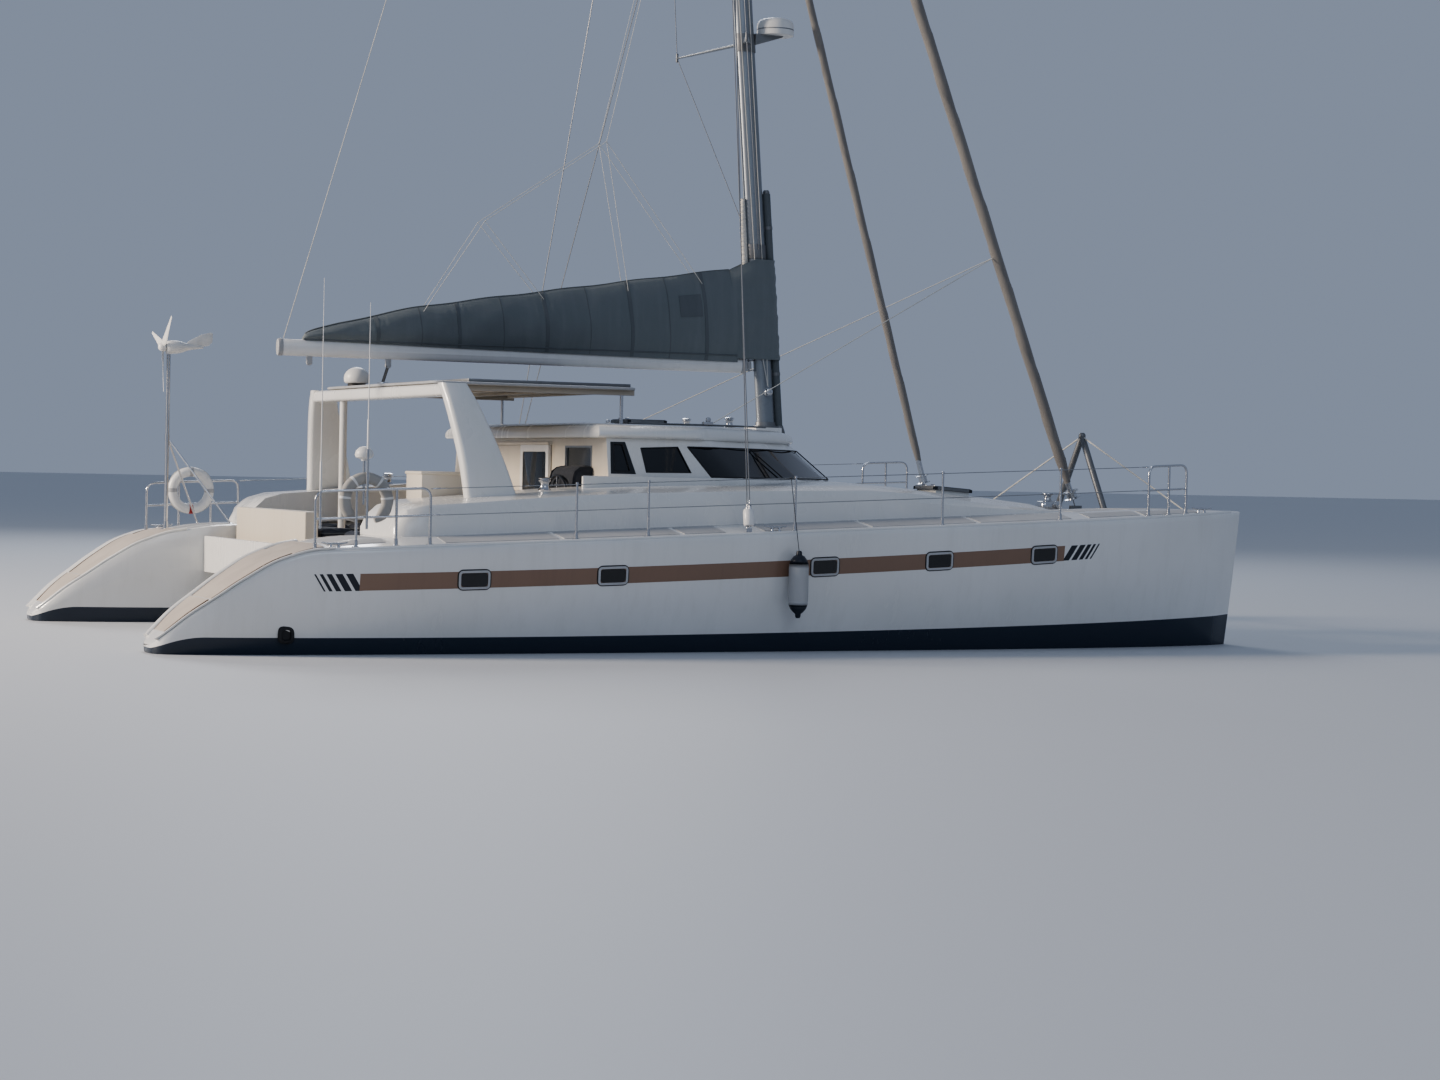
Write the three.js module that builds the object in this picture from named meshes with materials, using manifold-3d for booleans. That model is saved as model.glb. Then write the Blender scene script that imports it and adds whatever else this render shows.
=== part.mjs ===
// A cruising sailing catamaran, afloat, with its sails furled.
// Millimetres. +X is forward, +Y is to port and +Z is up.
// The origin is amidships on the centreline, at the waterline.
// Stations count forward from the stern tips, and at() turns one into X.

import * as THREE from 'three';
import { mergeVertices } from 'three/addons/utils/BufferGeometryUtils.js';
import Module from 'manifold-3d';

const wasm = await Module();
wasm.setup();

// Driving dimensions
const LENGTH = 13400;
const HULL_CENTRE = 2950;
const SHEER_AFT = 1005;
const SHEER_SLOPE = 0.0455;
const DECK_RISE = 90;
const BRIDGE_UNDERSIDE = 620;
const SOLE = 700;
const HULL_INNER_FACE = 2250;
const COCKPIT_HALF_WIDTH = 2150;
const BULKHEAD = 5250;
const WALL = 45;

const MAST_FOOT_STATION = 8420;
const MAST_STEP_TOP = 2530;
const MAST_TOP = 19100;
const MAST_RAKE = THREE.MathUtils.degToRad(4.8);
const MAST_CHORD = 240;
const MAST_WIDTH = 150;
const STAY_TOP_GENOA = 15400;
const STAY_TOP_INNER = 11600;
const BOOM_HEIGHT = 3290;
const BOOM_DEPTH = 190;
const BOOM_WIDTH = 110;
const BOOM_END_STATION = 2180;
const BOOM_PIN_OFFSET = 190;

const ARCH_TOP = 2870;
const BEAM_STATION = 13050;
const BEAM_HEIGHT = 1490;
const KEEL_DEPTH = 1250;
const RUDDER_STATION = 2150;
const DRIVE_STATION = 3050;
const DRIVE_SHAFT_Z = -700;
const RAIL_INSET = 110;

// Fits: the gap between pieces that rest on each other, and the sides of a round pin or bore
const SEAT_GAP = 0.3;
const PIN_SIDES = 24;
const SHAFT = 36;
const SHAFT_CLEARANCE = 0.8;

const at = (station) => station - LENGTH / 2;
const lerp = THREE.MathUtils.lerp;
const sheer = (station) => SHEER_AFT + SHEER_SLOPE * station;
const mastX = (z) => at(MAST_FOOT_STATION) - Math.tan(MAST_RAKE) * (z - MAST_STEP_TOP);
const bothSides = (make) => [-1, 1].map(make);

// Solid helpers
function manifold(geometry) {
  const bare = geometry.clone();
  bare.deleteAttribute('normal');
  bare.deleteAttribute('uv');
  const merged = mergeVertices(bare, 1e-3);
  return new wasm.Manifold(new wasm.Mesh({
    numProp: 3,
    vertProperties: new Float32Array(merged.attributes.position.array),
    triVerts: new Uint32Array(merged.index.array),
  }));
}

function geometryOf(solid) {
  const mesh = solid.getMesh();
  const geometry = new THREE.BufferGeometry();
  geometry.setAttribute('position', new THREE.BufferAttribute(mesh.vertProperties, 3));
  geometry.setIndex(new THREE.BufferAttribute(mesh.triVerts, 1));
  return geometry;
}

const join = (...parts) => geometryOf(parts.map(manifold).reduce((a, b) => a.add(b)));
const common = (a, b) => geometryOf(manifold(a).intersect(manifold(b)));
const cut = (part, ...tools) => geometryOf(
  tools.map(manifold).reduce((a, b) => a.subtract(b), manifold(part)),
);

function signedVolume(geometry) {
  const p = geometry.attributes.position;
  const index = geometry.index;
  const [a, b, c] = [new THREE.Vector3(), new THREE.Vector3(), new THREE.Vector3()];
  let volume = 0;
  for (let i = 0; i < index.count; i += 3) {
    a.fromBufferAttribute(p, index.getX(i));
    b.fromBufferAttribute(p, index.getX(i + 1));
    c.fromBufferAttribute(p, index.getX(i + 2));
    volume += a.dot(b.cross(c));
  }
  return volume;
}

// A closed skin over rings of points, with each end closed by a fan
function loft(rings) {
  const count = rings[0].length;
  const points = rings.flat();
  const faces = [];
  for (let r = 0; r + 1 < rings.length; r += 1) {
    for (let i = 0; i < count; i += 1) {
      const a = r * count + i;
      const b = r * count + ((i + 1) % count);
      faces.push(a, b, b + count, a, b + count, a + count);
    }
  }
  [0, rings.length - 1].forEach((r) => {
    const middle = [0, 1, 2].map((k) => rings[r].reduce((sum, p) => sum + p[k], 0) / count);
    points.push(middle);
    for (let i = 0; i < count; i += 1) {
      const a = r * count + i;
      const b = r * count + ((i + 1) % count);
      if (r === 0) faces.push(points.length - 1, b, a);
      else faces.push(points.length - 1, a, b);
    }
  });
  const geometry = new THREE.BufferGeometry();
  geometry.setAttribute('position', new THREE.Float32BufferAttribute(points.flat(), 3));
  geometry.setIndex(faces);
  if (signedVolume(geometry) < 0) geometry.setIndex(faces.reverse());
  return geometry;
}

// A box from its lowest to its highest corner; X is given as stations
function block(s0, s1, y0, y1, z0, z1) {
  const box = new THREE.BoxGeometry(s1 - s0, y1 - y0, z1 - z0);
  return box.translate(at((s0 + s1) / 2), (y0 + y1) / 2, (z0 + z1) / 2);
}

// The turn that lays a round geometry's own axis, which is Y, along a direction
const turnTo = (direction) => new THREE.Quaternion()
  .setFromUnitVectors(new THREE.Vector3(0, 1, 0), direction.clone().normalize());

// A round bar between two points given as [x, y, z]
function bar(from, to, diameter, sides = 8, endDiameter = diameter) {
  const [a, b] = [new THREE.Vector3(...from), new THREE.Vector3(...to)];
  const axis = b.clone().sub(a);
  const rod = new THREE.CylinderGeometry(endDiameter / 2, diameter / 2, axis.length(), sides);
  const middle = a.add(b).multiplyScalar(0.5);
  return rod.applyQuaternion(turnTo(axis)).translate(middle.x, middle.y, middle.z);
}

const ball = (centre, diameter, across = 6, down = 4) =>
  new THREE.SphereGeometry(diameter / 2, across, down).translate(...centre);

// A bent pipe: bars between the points, with a ball in each bend
function pipe(points, diameter, sides = 8) {
  const pieces = [];
  points.slice(1).forEach((point, i) => pieces.push(bar(points[i], point, diameter, sides)));
  points.slice(1, -1).forEach((point) => pieces.push(ball(point, diameter * 1.02)));
  return join(...pieces);
}

// The point at a distance from one point towards another
function along(from, to, distance) {
  const a = new THREE.Vector3(...from);
  const step = new THREE.Vector3(...to).sub(a).normalize().multiplyScalar(distance);
  return a.add(step).toArray();
}

const pointsOf = (pairs) => pairs.map(([a, b]) => new THREE.Vector2(a, b));

// A shape turned about Z, from its profile of [radius, height]
const turned = (profile, sides) =>
  new THREE.LatheGeometry(pointsOf(profile), sides).rotateX(Math.PI / 2);

// A flat outline of [x, z] points, extruded across the boat from y0 to y1
function finPlate(outline, y0, y1) {
  const shape = new THREE.Shape(pointsOf(outline));
  const plate = new THREE.ExtrudeGeometry(shape, { depth: y1 - y0, bevelEnabled: false });
  return plate.rotateX(Math.PI / 2).translate(0, y1, 0);
}

// The same with stations in place of X
const sidePlate = (outline, y0, y1) => finPlate(outline.map(([s, z]) => [at(s), z]), y0, y1);

// The mirror image on the other side of the boat, with its faces still pointing out
function mirrored(geometry) {
  const copy = geometry.clone().scale(1, -1, 1);
  return copy.setIndex(Array.from(copy.index.array).reverse());
}

const boat = new THREE.Group();

const finish = (color, roughness, metalness = 0) => ({ color, roughness, metalness });
const GELCOAT = finish(0xeceae4, 0.28);
const NONSKID = finish(0xd8d2c6, 0.7);
const GLASS = finish(0x14181c, 0.12);
const ALLOY = finish(0x9aa0a6, 0.38, 0.8);
const WHITE_ALLOY = finish(0xe2e2e0, 0.35, 0.2);
const STEEL = finish(0xc4c8cc, 0.2, 1);
const CANVAS = finish(0x3c434a, 0.85);
const ROLLED_SAIL = finish(0x54565a, 0.85);
const ANTIFOUL = finish(0x1c2230, 0.7);
const NET = finish(0xd9dadb, 0.8);
const BRONZE = finish(0xb08a52, 0.35, 0.9);
const VINYL = finish(0x2a2e35, 0.6);
const PLASTIC = finish(0xf2f2ef, 0.4);

function add(name, geometry, look, parent = boat) {
  const mesh = new THREE.Mesh(geometry, new THREE.MeshStandardMaterial(look));
  mesh.name = name;
  parent.add(mesh);
  return mesh;
}

// Starboard and port copies of a piece modelled on the starboard side
function addPair(name, geometry, look) {
  add(`${name}_starboard`, geometry, look);
  const mirror = new THREE.Group();
  mirror.scale.set(1, -1, 1);
  boat.add(mirror);
  add(`${name}_port`, geometry, look, mirror);
}

// Hulls
// Columns: station, canoe body depth, half beam on the waterline, gunwale out, gunwale in,
// height of the outer deck edge (null where it is the sheer line), rise of the deck inboard
const HULL_SECTIONS = [
  [0, 25, 190, 225, 225, 115, 4],
  [100, 45, 270, 330, 320, 195, 4],
  [340, 80, 350, 450, 430, 405, 4],
  [600, 110, 410, 540, 500, 590, 4],
  [850, 140, 450, 600, 550, 765, 4],
  [1230, 175, 495, 680, 620, 980, 8],
  [1600, 210, 530, 740, 670, null, 30],
  [2200, 270, 570, 800, 700, null, DECK_RISE],
  [3200, 350, 600, 865, 700, null, DECK_RISE],
  [4600, 440, 620, 900, 700, null, DECK_RISE],
  [6200, 490, 625, 900, 700, null, DECK_RISE],
  [7800, 495, 620, 900, 700, null, DECK_RISE],
  [9300, 455, 590, 890, 700, null, DECK_RISE],
  [10500, 385, 530, 855, 700, null, DECK_RISE],
  [11500, 290, 440, 750, 600, null, DECK_RISE],
  [12300, 195, 315, 580, 470, null, 70],
  [12900, 110, 185, 370, 310, null, 40],
  [LENGTH, 60, 22, 75, 45, null, 8],
].map((row) => row.map((value) => value ?? sheer(row[0])));
const STEM_START = 12900;
const STEM_RAKE = 150;
const FOREFOOT_SLOPE = 1.2;
// The bottom's section: share of the waterline half beam, share of the depth
const BILGE = [[0.5, 0.93], [0.82, 0.62], [0.97, 0.25]];
// The topside's section: share of the flare, share of the deck edge's height
const TOPSIDE = [[0.42, 0.25], [0.72, 0.5], [0.92, 0.76], [1, 0.975]];
const GUNWALE_ROUND = 0.97;
const DECK_BREAK = 350;
const DECK_BREAK_SHARE = 0.42;
const KNUCKLE_SHARE = 0.6;
// The inner side's turn below the knuckle: share of the flare, share of the knuckle's height
const INNER_TURN = [0.4, 0.55];

function secant(row, column) {
  const [low, high] = [HULL_SECTIONS[row], HULL_SECTIONS[row + 1]];
  return (high[column] - low[column]) / (high[0] - low[0]);
}

// The slope of a column at a row, for a curve that never swings past the table's values
function slopeAt(row, column) {
  const before = secant(Math.max(0, row - 1), column);
  const after = secant(Math.min(HULL_SECTIONS.length - 2, row), column);
  return before * after > 0 ? (2 * before * after) / (before + after) : 0;
}

// The hull's measures at any station, in the table's order
function hullRow(station) {
  const row = Math.max(0, HULL_SECTIONS.findIndex(([s]) => s >= station) - 1);
  const [low, high] = [HULL_SECTIONS[row], HULL_SECTIONS[row + 1]];
  const span = high[0] - low[0];
  const t = (station - low[0]) / span;
  return low.map((value, column) => {
    const [leave, arrive] = [span * slopeAt(row, column), span * slopeAt(row + 1, column)];
    const aft = (1 - t) ** 2 * ((1 + 2 * t) * value + t * leave);
    const fore = t * t * ((3 - 2 * t) * high[column] + (t - 1) * arrive);
    return aft + fore;
  });
}

function hullRing(station) {
  const [, depth, wl, out, inn, top, rise] = hullRow(station);
  const knuckle = Math.min(BRIDGE_UNDERSIDE, KNUCKLE_SHARE * top);
  const deckBreak = Math.min(DECK_BREAK, DECK_BREAK_SHARE * out);
  // Offset outboard of the hull's centreline, height
  const section = [
    [0, -depth],
    ...BILGE.map(([w, d]) => [w * wl, -d * depth]),
    [wl, 0],
    ...TOPSIDE.map(([w, h]) => [lerp(wl, out, w), h * top]),
    [GUNWALE_ROUND * out, top],
    [deckBreak, top + rise],
    [-inn, top + rise],
    [-inn, knuckle],
    [-lerp(wl, inn, INNER_TURN[0]), INNER_TURN[1] * knuckle],
    [-wl, 0],
    ...BILGE.toReversed().map(([w, d]) => [-w * wl, -d * depth]),
  ];
  const share = Math.max(0, (station - STEM_START) / (LENGTH - STEM_START));
  const rake = (z) => (z > 0 ? STEM_RAKE * (z / top - 1) : -STEM_RAKE + FOREFOOT_SLOPE * z);
  return section.map(([offset, z]) => [at(station) + share * rake(z), -HULL_CENTRE - offset, z]);
}

// A ring at each row of the table, and one halfway to the next
const hullStations = HULL_SECTIONS.slice(1).flatMap(([station], i) => {
  const before = HULL_SECTIONS[i][0];
  return [before, (before + station) / 2];
});
const hullBody = loft([...hullStations, LENGTH].map(hullRing));

const RUDDER_STOCK = 60;
const STOCK_CLEARANCE = 0.9;
const STOCK_TOP = -80;
const STOCK_BORE_FOOT = -600;
const underHull = (station, z) => [at(station), -HULL_CENTRE, z];
const stockBore = bar(
  underHull(RUDDER_STATION, STOCK_BORE_FOOT), underHull(RUDDER_STATION, STOCK_TOP + 20),
  RUDDER_STOCK + 2 * STOCK_CLEARANCE, PIN_SIDES,
);
addPair('hull', cut(hullBody, stockBore), GELCOAT);

// What stands below or on a hull is trimmed to its skin with the seat gap
const hullLowered = hullBody.clone().translate(0, 0, -SEAT_GAP);
const hullRaised = hullBody.clone().translate(0, 0, SEAT_GAP);
const gunwaleOut = (station) => hullRow(station)[3];
const deckEdge = (station) => hullRow(station)[5];
const deckInboard = (station) => deckEdge(station) + hullRow(station)[6];

// Foils below the hulls: a flat-sided wing section, as chord and thickness fractions
const FOIL = [
  [0, 0], [0.06, 0.55], [0.25, 1], [0.6, 0.85], [1, 0.08],
  [1, -0.08], [0.6, -0.85], [0.25, -1], [0.06, -0.55],
];
const foilRing = (lead, chord, half, z) =>
  FOIL.map(([run, side]) => [at(lead) - run * chord, -HULL_CENTRE + side * half, z]);

// Columns: station of the leading edge, chord, half thickness, height
const KEEL = [[8350, 2500, 130, -380], [8200, 2250, 110, 60 - KEEL_DEPTH], [8150, 2150, 70, -KEEL_DEPTH]];
addPair('keel', cut(loft(KEEL.map((row) => foilRing(...row))), hullLowered), ANTIFOUL);

const RUDDER_TOP = -300;
const RUDDER_TIP = -1130;
const STOCK_IN_BLADE = 150;
const RUDDER = [
  [RUDDER_STATION + 130, 480, 38, RUDDER_TIP],
  [RUDDER_STATION + 170, 560, 48, RUDDER_TOP],
];
addPair('rudder', join(
  loft(RUDDER.map((row) => foilRing(...row))),
  bar(
    underHull(RUDDER_STATION, RUDDER_TOP - STOCK_IN_BLADE), underHull(RUDDER_STATION, STOCK_TOP),
    RUDDER_STOCK, PIN_SIDES,
  ),
), ANTIFOUL);

// Drive leg with its gearcase, and the propeller aft of it
const PROP_STATION = 2700;
const PROP_RADIUS = 220;
const GEARCASE = 130;
const GEARCASE_AFT = DRIVE_STATION - 230;
const GEARCASE_FORE = DRIVE_STATION + 120;
const GEARCASE_NOSE = DRIVE_STATION + 220;
const LEG = [
  [DRIVE_STATION + 130, 300, 42, DRIVE_SHAFT_Z],
  [DRIVE_STATION + 150, 330, 60, -250],
];
const onShaft = (station) => underHull(station, DRIVE_SHAFT_Z);
addPair('drive_leg', cut(
  join(
    loft(LEG.map((row) => foilRing(...row))),
    bar(onShaft(GEARCASE_AFT), onShaft(GEARCASE_FORE), GEARCASE, 12),
    bar(onShaft(GEARCASE_FORE), onShaft(GEARCASE_NOSE), GEARCASE, 12, 40),
  ),
  hullLowered,
  bar(
    onShaft(GEARCASE_AFT - 10), onShaft(DRIVE_STATION - 90),
    SHAFT + 2 * SHAFT_CLEARANCE, PIN_SIDES,
  ),
), ALLOY);

const BLADE_ROOT = 30;
const BLADE_THICK = 10;
const BLADE_PITCH = THREE.MathUtils.degToRad(-58);
const thirds = [0, 1, 2].map((i) => (i * 2 * Math.PI) / 3);
function propellerBlade(turn) {
  const outline = new THREE.Shape();
  outline.moveTo(0, BLADE_ROOT);
  outline.bezierCurveTo(60, 60, 110, PROP_RADIUS - 60, 30, PROP_RADIUS);
  outline.bezierCurveTo(-40, PROP_RADIUS + 4, -75, PROP_RADIUS - 90, 0, BLADE_ROOT);
  const blade = new THREE.ExtrudeGeometry(outline, {
    depth: BLADE_THICK, bevelEnabled: false, curveSegments: 5,
  });
  return blade.translate(0, 0, -BLADE_THICK / 2).rotateY(BLADE_PITCH).rotateX(turn);
}
addPair('propeller', join(
  bar([-95, 0, 0], [110, 0, 0], 70, 12, 90),
  bar([-150, 0, 0], [-95, 0, 0], 20, 12, 70),
  bar([100, 0, 0], [180, 0, 0], SHAFT, PIN_SIDES),
  ...thirds.map(propellerBlade),
).translate(...onShaft(PROP_STATION)), BRONZE);

// The front wall between the hulls slopes forward up to the foredeck
const FRONT_TOP_STATION = 10750;
const FRONT_FOOT_STATION = 10300;
const FRONT_WALL = 60;
const FRONT_FACE = FRONT_TOP_STATION - 20;
const foredeckZ = sheer(FRONT_TOP_STATION) + DECK_RISE;

// Deck moulding: the cockpit coamings and the low trunk that carries the deckhouse
// Columns: station, height at the shoulder, height on the centreline, narrowing at the side
const TRUNK_SECTIONS = [
  [2500, 1290, 1290, 140],
  [2560, 1420, 1420, 70],
  [2680, 1530, 1530, 25],
  [2900, 1592, 1592, 0],
  [3430, 1630, 1640, 0],
  [4470, 1720, 1745, 0],
  [BULKHEAD, 1765, 1800, 0],
  [6500, 1805, 1860, 0],
  [8160, 1840, 1900, 0],
  [8790, 1800, 1895, 0],
  [9400, 1720, 1865, 0],
  [10000, 1655, 1820, 0],
  [FRONT_TOP_STATION, foredeckZ + 12, 1755, 0],
];
const TRUNK_FOOT = 3300;
// The trunk's side: distance in from its foot, share of the shoulder's height
const TRUNK_SIDE = [[25, 0.55], [110, 0.88]];
const TRUNK_SHOULDER = 330;
// The trunk's top: |y|, share of the way up from the shoulder to the centreline
const TRUNK_CROWN = [[2450, 0.42], [1300, 0.82]];
const trunkBase = (station) => sheer(station) + DECK_RISE + SEAT_GAP;

function trunkRing([station, shoulder, centre, narrowing], inset, drop) {
  const base = trunkBase(station);
  const foot = TRUNK_FOOT - narrowing - inset;
  const half = [
    [foot, base - drop],
    [foot - TRUNK_SIDE[0][0], lerp(base, shoulder, TRUNK_SIDE[0][1]) - inset / 2],
    [foot - TRUNK_SIDE[1][0], lerp(base, shoulder, TRUNK_SIDE[1][1]) - inset],
    [foot - TRUNK_SHOULDER, shoulder - inset],
    [TRUNK_CROWN[0][0] - narrowing, lerp(shoulder, centre, TRUNK_CROWN[0][1]) - inset],
    [TRUNK_CROWN[1][0], lerp(shoulder, centre, TRUNK_CROWN[1][1]) - inset],
  ];
  return [
    ...half.map(([y, z]) => [at(station), -y, z]),
    [at(station), 0, centre - inset],
    ...half.toReversed().map(([y, z]) => [at(station), y, z]),
  ];
}
const trunkOuter = loft(TRUNK_SECTIONS.map((row) => trunkRing(row, 0, 0)));

// Bridge deck between the hulls, with its front wall and its aft edge
const BRIDGE_AFT = 1950;
const AFT_EDGE_TOP = 1060;
const innerFace = HULL_INNER_FACE - SEAT_GAP;
const FRONT_SECTION = [
  [FRONT_FOOT_STATION - FRONT_WALL, BRIDGE_UNDERSIDE], [FRONT_FOOT_STATION, BRIDGE_UNDERSIDE],
  [FRONT_FACE, foredeckZ - 60], [FRONT_FACE, foredeckZ + 40],
  [FRONT_FACE - FRONT_WALL, foredeckZ + 40], [FRONT_FACE - FRONT_WALL, foredeckZ - 60],
  [FRONT_FOOT_STATION - FRONT_WALL, SOLE],
];
add('bridge_deck', cut(
  join(
    block(BRIDGE_AFT, FRONT_FOOT_STATION, -innerFace, innerFace, BRIDGE_UNDERSIDE, SOLE),
    sidePlate(FRONT_SECTION, -innerFace, innerFace),
    block(BRIDGE_AFT, BRIDGE_AFT + 60, -innerFace, innerFace, SOLE, AFT_EDGE_TOP),
  ),
  trunkOuter.clone().translate(0, 0, -SEAT_GAP),
), GELCOAT);

// The trunk is hollow below its skin, from the cockpit's bulkhead to the foredeck
const SALOON_AFT = 5350;
const SALOON_FORE = 10500;
const SALOON_DROP = 150;
const saloonRows = [
  [SALOON_AFT, 1768, 1804, 0],
  ...TRUNK_SECTIONS.filter(([station]) => station > SALOON_AFT && station < SALOON_FORE),
  [SALOON_FORE, 1625, 1776, 0],
];
const trunkInner = loft(saloonRows.map((row) => trunkRing(row, WALL, SALOON_DROP)));

// Deckhouse outline at a height: straight sides and a front that curves in plan
const HOUSE_CURVE = 0.38e-3;
const CORNER_RADIUS = 170;
const NOSE_LEAN = 1.15;
function houseOutline(front, halfWidth, aft, inset, z) {
  const width = halfWidth - inset;
  const curveEnd = width - CORNER_RADIUS;
  const nose = (y) => front - inset * NOSE_LEAN - HOUSE_CURVE * y * y;
  const middle = [-1, -0.75, -0.5, -0.25, 0, 0.25, 0.5, 0.75, 1].map((t) => {
    const y = t * curveEnd;
    return [at(nose(y)), y, z];
  });
  const corner = nose(curveEnd);
  const half = (sign) => [
    [at(aft + inset), sign * width, z],
    [at(corner - 480), sign * width, z],
    [at(corner - 160), sign * (width - 60), z],
  ];
  return [...half(-1), ...middle, ...half(1).reverse()];
}
const SKIRT_FOOT = 1640;
const HOUSE_KNEE = 1860;
const HOUSE_TOP = 2320;
const HOUSE_FRONT = 9190;
const HOUSE_FRONT_TOP = 8580;
const HOUSE_HALF = 2500;
const HOUSE_HALF_TOP = 2420;
const wallOutline = (inset, z) => houseOutline(HOUSE_FRONT, HOUSE_HALF, BULKHEAD, inset, z);
const houseBody = (inset, low = SKIRT_FOOT, high = HOUSE_TOP) => loft([
  wallOutline(inset, low),
  wallOutline(inset, HOUSE_KNEE),
  houseOutline(HOUSE_FRONT_TOP, HOUSE_HALF_TOP, BULKHEAD, inset, high),
]);

const deckOpening = loft([wallOutline(-SEAT_GAP, 1300), wallOutline(-SEAT_GAP, 2200)]);
const cockpitWell = block(2300, SALOON_AFT + 60, -COCKPIT_HALF_WIDTH, COCKPIT_HALF_WIDTH, 500, 3000);
const NAME_BOARD_Y = [2580, 2620];
const nameBoard = (side) => {
  const [low, high] = NAME_BOARD_Y.map((y) => side * y).sort((a, b) => a - b);
  return block(4900, 6560, low, high, 1700, 1885);
};
const INNER_STAY_FOOT = [at(10710), 0, 1800];
const stayPad = bar([INNER_STAY_FOOT[0] - 20, 0, 1700], [INNER_STAY_FOOT[0] - 20, 0, 1790], 90, 12);
const deckShell = cut(
  join(trunkOuter, ...bothSides(nameBoard), stayPad),
  trunkInner,
  deckOpening,
  cockpitWell,
);

// Deckhouse walls, aft bulkhead and windows; outlines as [station, height]
const SIDE_WINDOWS = [
  ['quarter_window', [[5330, 1950], [5330, 2250], [5440, 2250], [5520, 1950]]],
  ['side_window', [[5720, 1945], [5665, 2215], [6120, 2235], [6270, 1950]]],
];
const WRAP_WINDOW = [[6520, 1905], [6240, 2240], [9400, 2240], [9400, 1905]];
// The bulkhead's openings: y from and to, height from and to
const DOORWAY = [-760, 60, 760, 2210];
const PORT_LIGHT = [1150, 2000, 1750, 2210];
const HELM_LIGHT = [-2000, -1250, 1950, 2210];
const SILL_TOP = 735;
const HEAD_TRACK = [2242, 2275];
const shrink = (outline, by) => {
  const centre = [0, 1].map((k) => outline.reduce((sum, p) => sum + p[k], 0) / outline.length);
  return outline.map((p) => p.map((v, k) => v - Math.sign(v - centre[k]) * by));
};
const across = (outline) => sidePlate(outline, -3000, 3000);
const throughBulkhead = (opening) => block(BULKHEAD - 20, BULKHEAD + 100, ...opening);
const doorTrack = (low, high) =>
  block(BULKHEAD - 60, BULKHEAD + 5, DOORWAY[0] - 60, DOORWAY[1] + 900, low, high);
const bulkheadHalf = COCKPIT_HALF_WIDTH - 1;
add('deckhouse', cut(
  join(
    cut(houseBody(0), houseBody(WALL, SKIRT_FOOT - 5, HOUSE_TOP + 5)),
    block(BULKHEAD, BULKHEAD + WALL, -bulkheadHalf, bulkheadHalf, SOLE + SEAT_GAP, HOUSE_TOP),
    doorTrack(SOLE + SEAT_GAP, SILL_TOP),
    doorTrack(...HEAD_TRACK),
  ),
  ...SIDE_WINDOWS.map(([, outline]) => across(outline)),
  across(WRAP_WINDOW),
  ...[DOORWAY, PORT_LIGHT, HELM_LIGHT].map(throughBulkhead),
), GELCOAT);

// Panes: slices of a thin skin just inside the wall's outer face
const paneSkin = cut(houseBody(12), houseBody(20, SKIRT_FOOT - 5, HOUSE_TOP + 5));
const paneIn = (outline) => common(paneSkin, across(shrink(outline, SEAT_GAP)));
const starboardHalf = block(5000, 9500, -3000, -2000, 1500, 2500);
SIDE_WINDOWS.forEach(([name, outline]) => addPair(name, common(paneIn(outline), starboardHalf), GLASS));
add('windscreen', paneIn(WRAP_WINDOW), GLASS);

// Cabin roof with its brow; it also carries the mast step
const ROOF_AFT = 5120;
const ROOF_EDGE = 2520;
// Columns: front station, half width, inset, height
const ROOF_OUTER = [
  [HOUSE_FRONT_TOP + 25, ROOF_EDGE - 40, 0, HOUSE_TOP + SEAT_GAP],
  [HOUSE_FRONT_TOP + 50, ROOF_EDGE, 0, 2350],
  [HOUSE_FRONT_TOP + 20, ROOF_EDGE - 40, 20, 2430],
  [HOUSE_FRONT_TOP - 120, ROOF_EDGE - 200, 80, 2475],
  [HOUSE_FRONT_TOP - 500, ROOF_EDGE - 900, 300, 2500],
];
const ROOF_INNER = [
  [HOUSE_FRONT_TOP - 100, HOUSE_HALF_TOP - 80, 0, 2300],
  [HOUSE_FRONT_TOP - 200, HOUSE_HALF_TOP - 120, 0, 2425],
];
const roofLoft = (rows, aft) =>
  loft(rows.map(([front, half, inset, z]) => houseOutline(front, half, aft, inset, z)));
const roofOuter = roofLoft(ROOF_OUTER, ROOF_AFT);
const STEP_HALF = 170;
const mastStep = block(
  MAST_FOOT_STATION - 220, MAST_FOOT_STATION + 140, -STEP_HALF, STEP_HALF, 2430, MAST_STEP_TOP,
);
const roofShell = join(cut(roofOuter, roofLoft(ROOF_INNER, ROOF_AFT + 60)), mastStep);

// Sliding door on the aft face of the bulkhead, hung between its two tracks
const LEAF_OVERLAP = 40;
const LEAF_BORDER = 60;
add('saloon_door', cut(
  block(
    BULKHEAD - 45, BULKHEAD - 6, DOORWAY[0] - LEAF_OVERLAP, DOORWAY[1] + LEAF_OVERLAP,
    SILL_TOP + SEAT_GAP, HEAD_TRACK[0] - SEAT_GAP,
  ),
  block(BULKHEAD - 30, BULKHEAD, DOORWAY[0] + LEAF_BORDER, DOORWAY[1] - LEAF_BORDER, 900, 2120),
), GLASS);

// Hatch lids, each hinged along its forward edge on a low frame of the deck
const LID_THICK = 40;
const LID_SIZE = 520;
const FRAME_DEPTH = 90;
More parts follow.
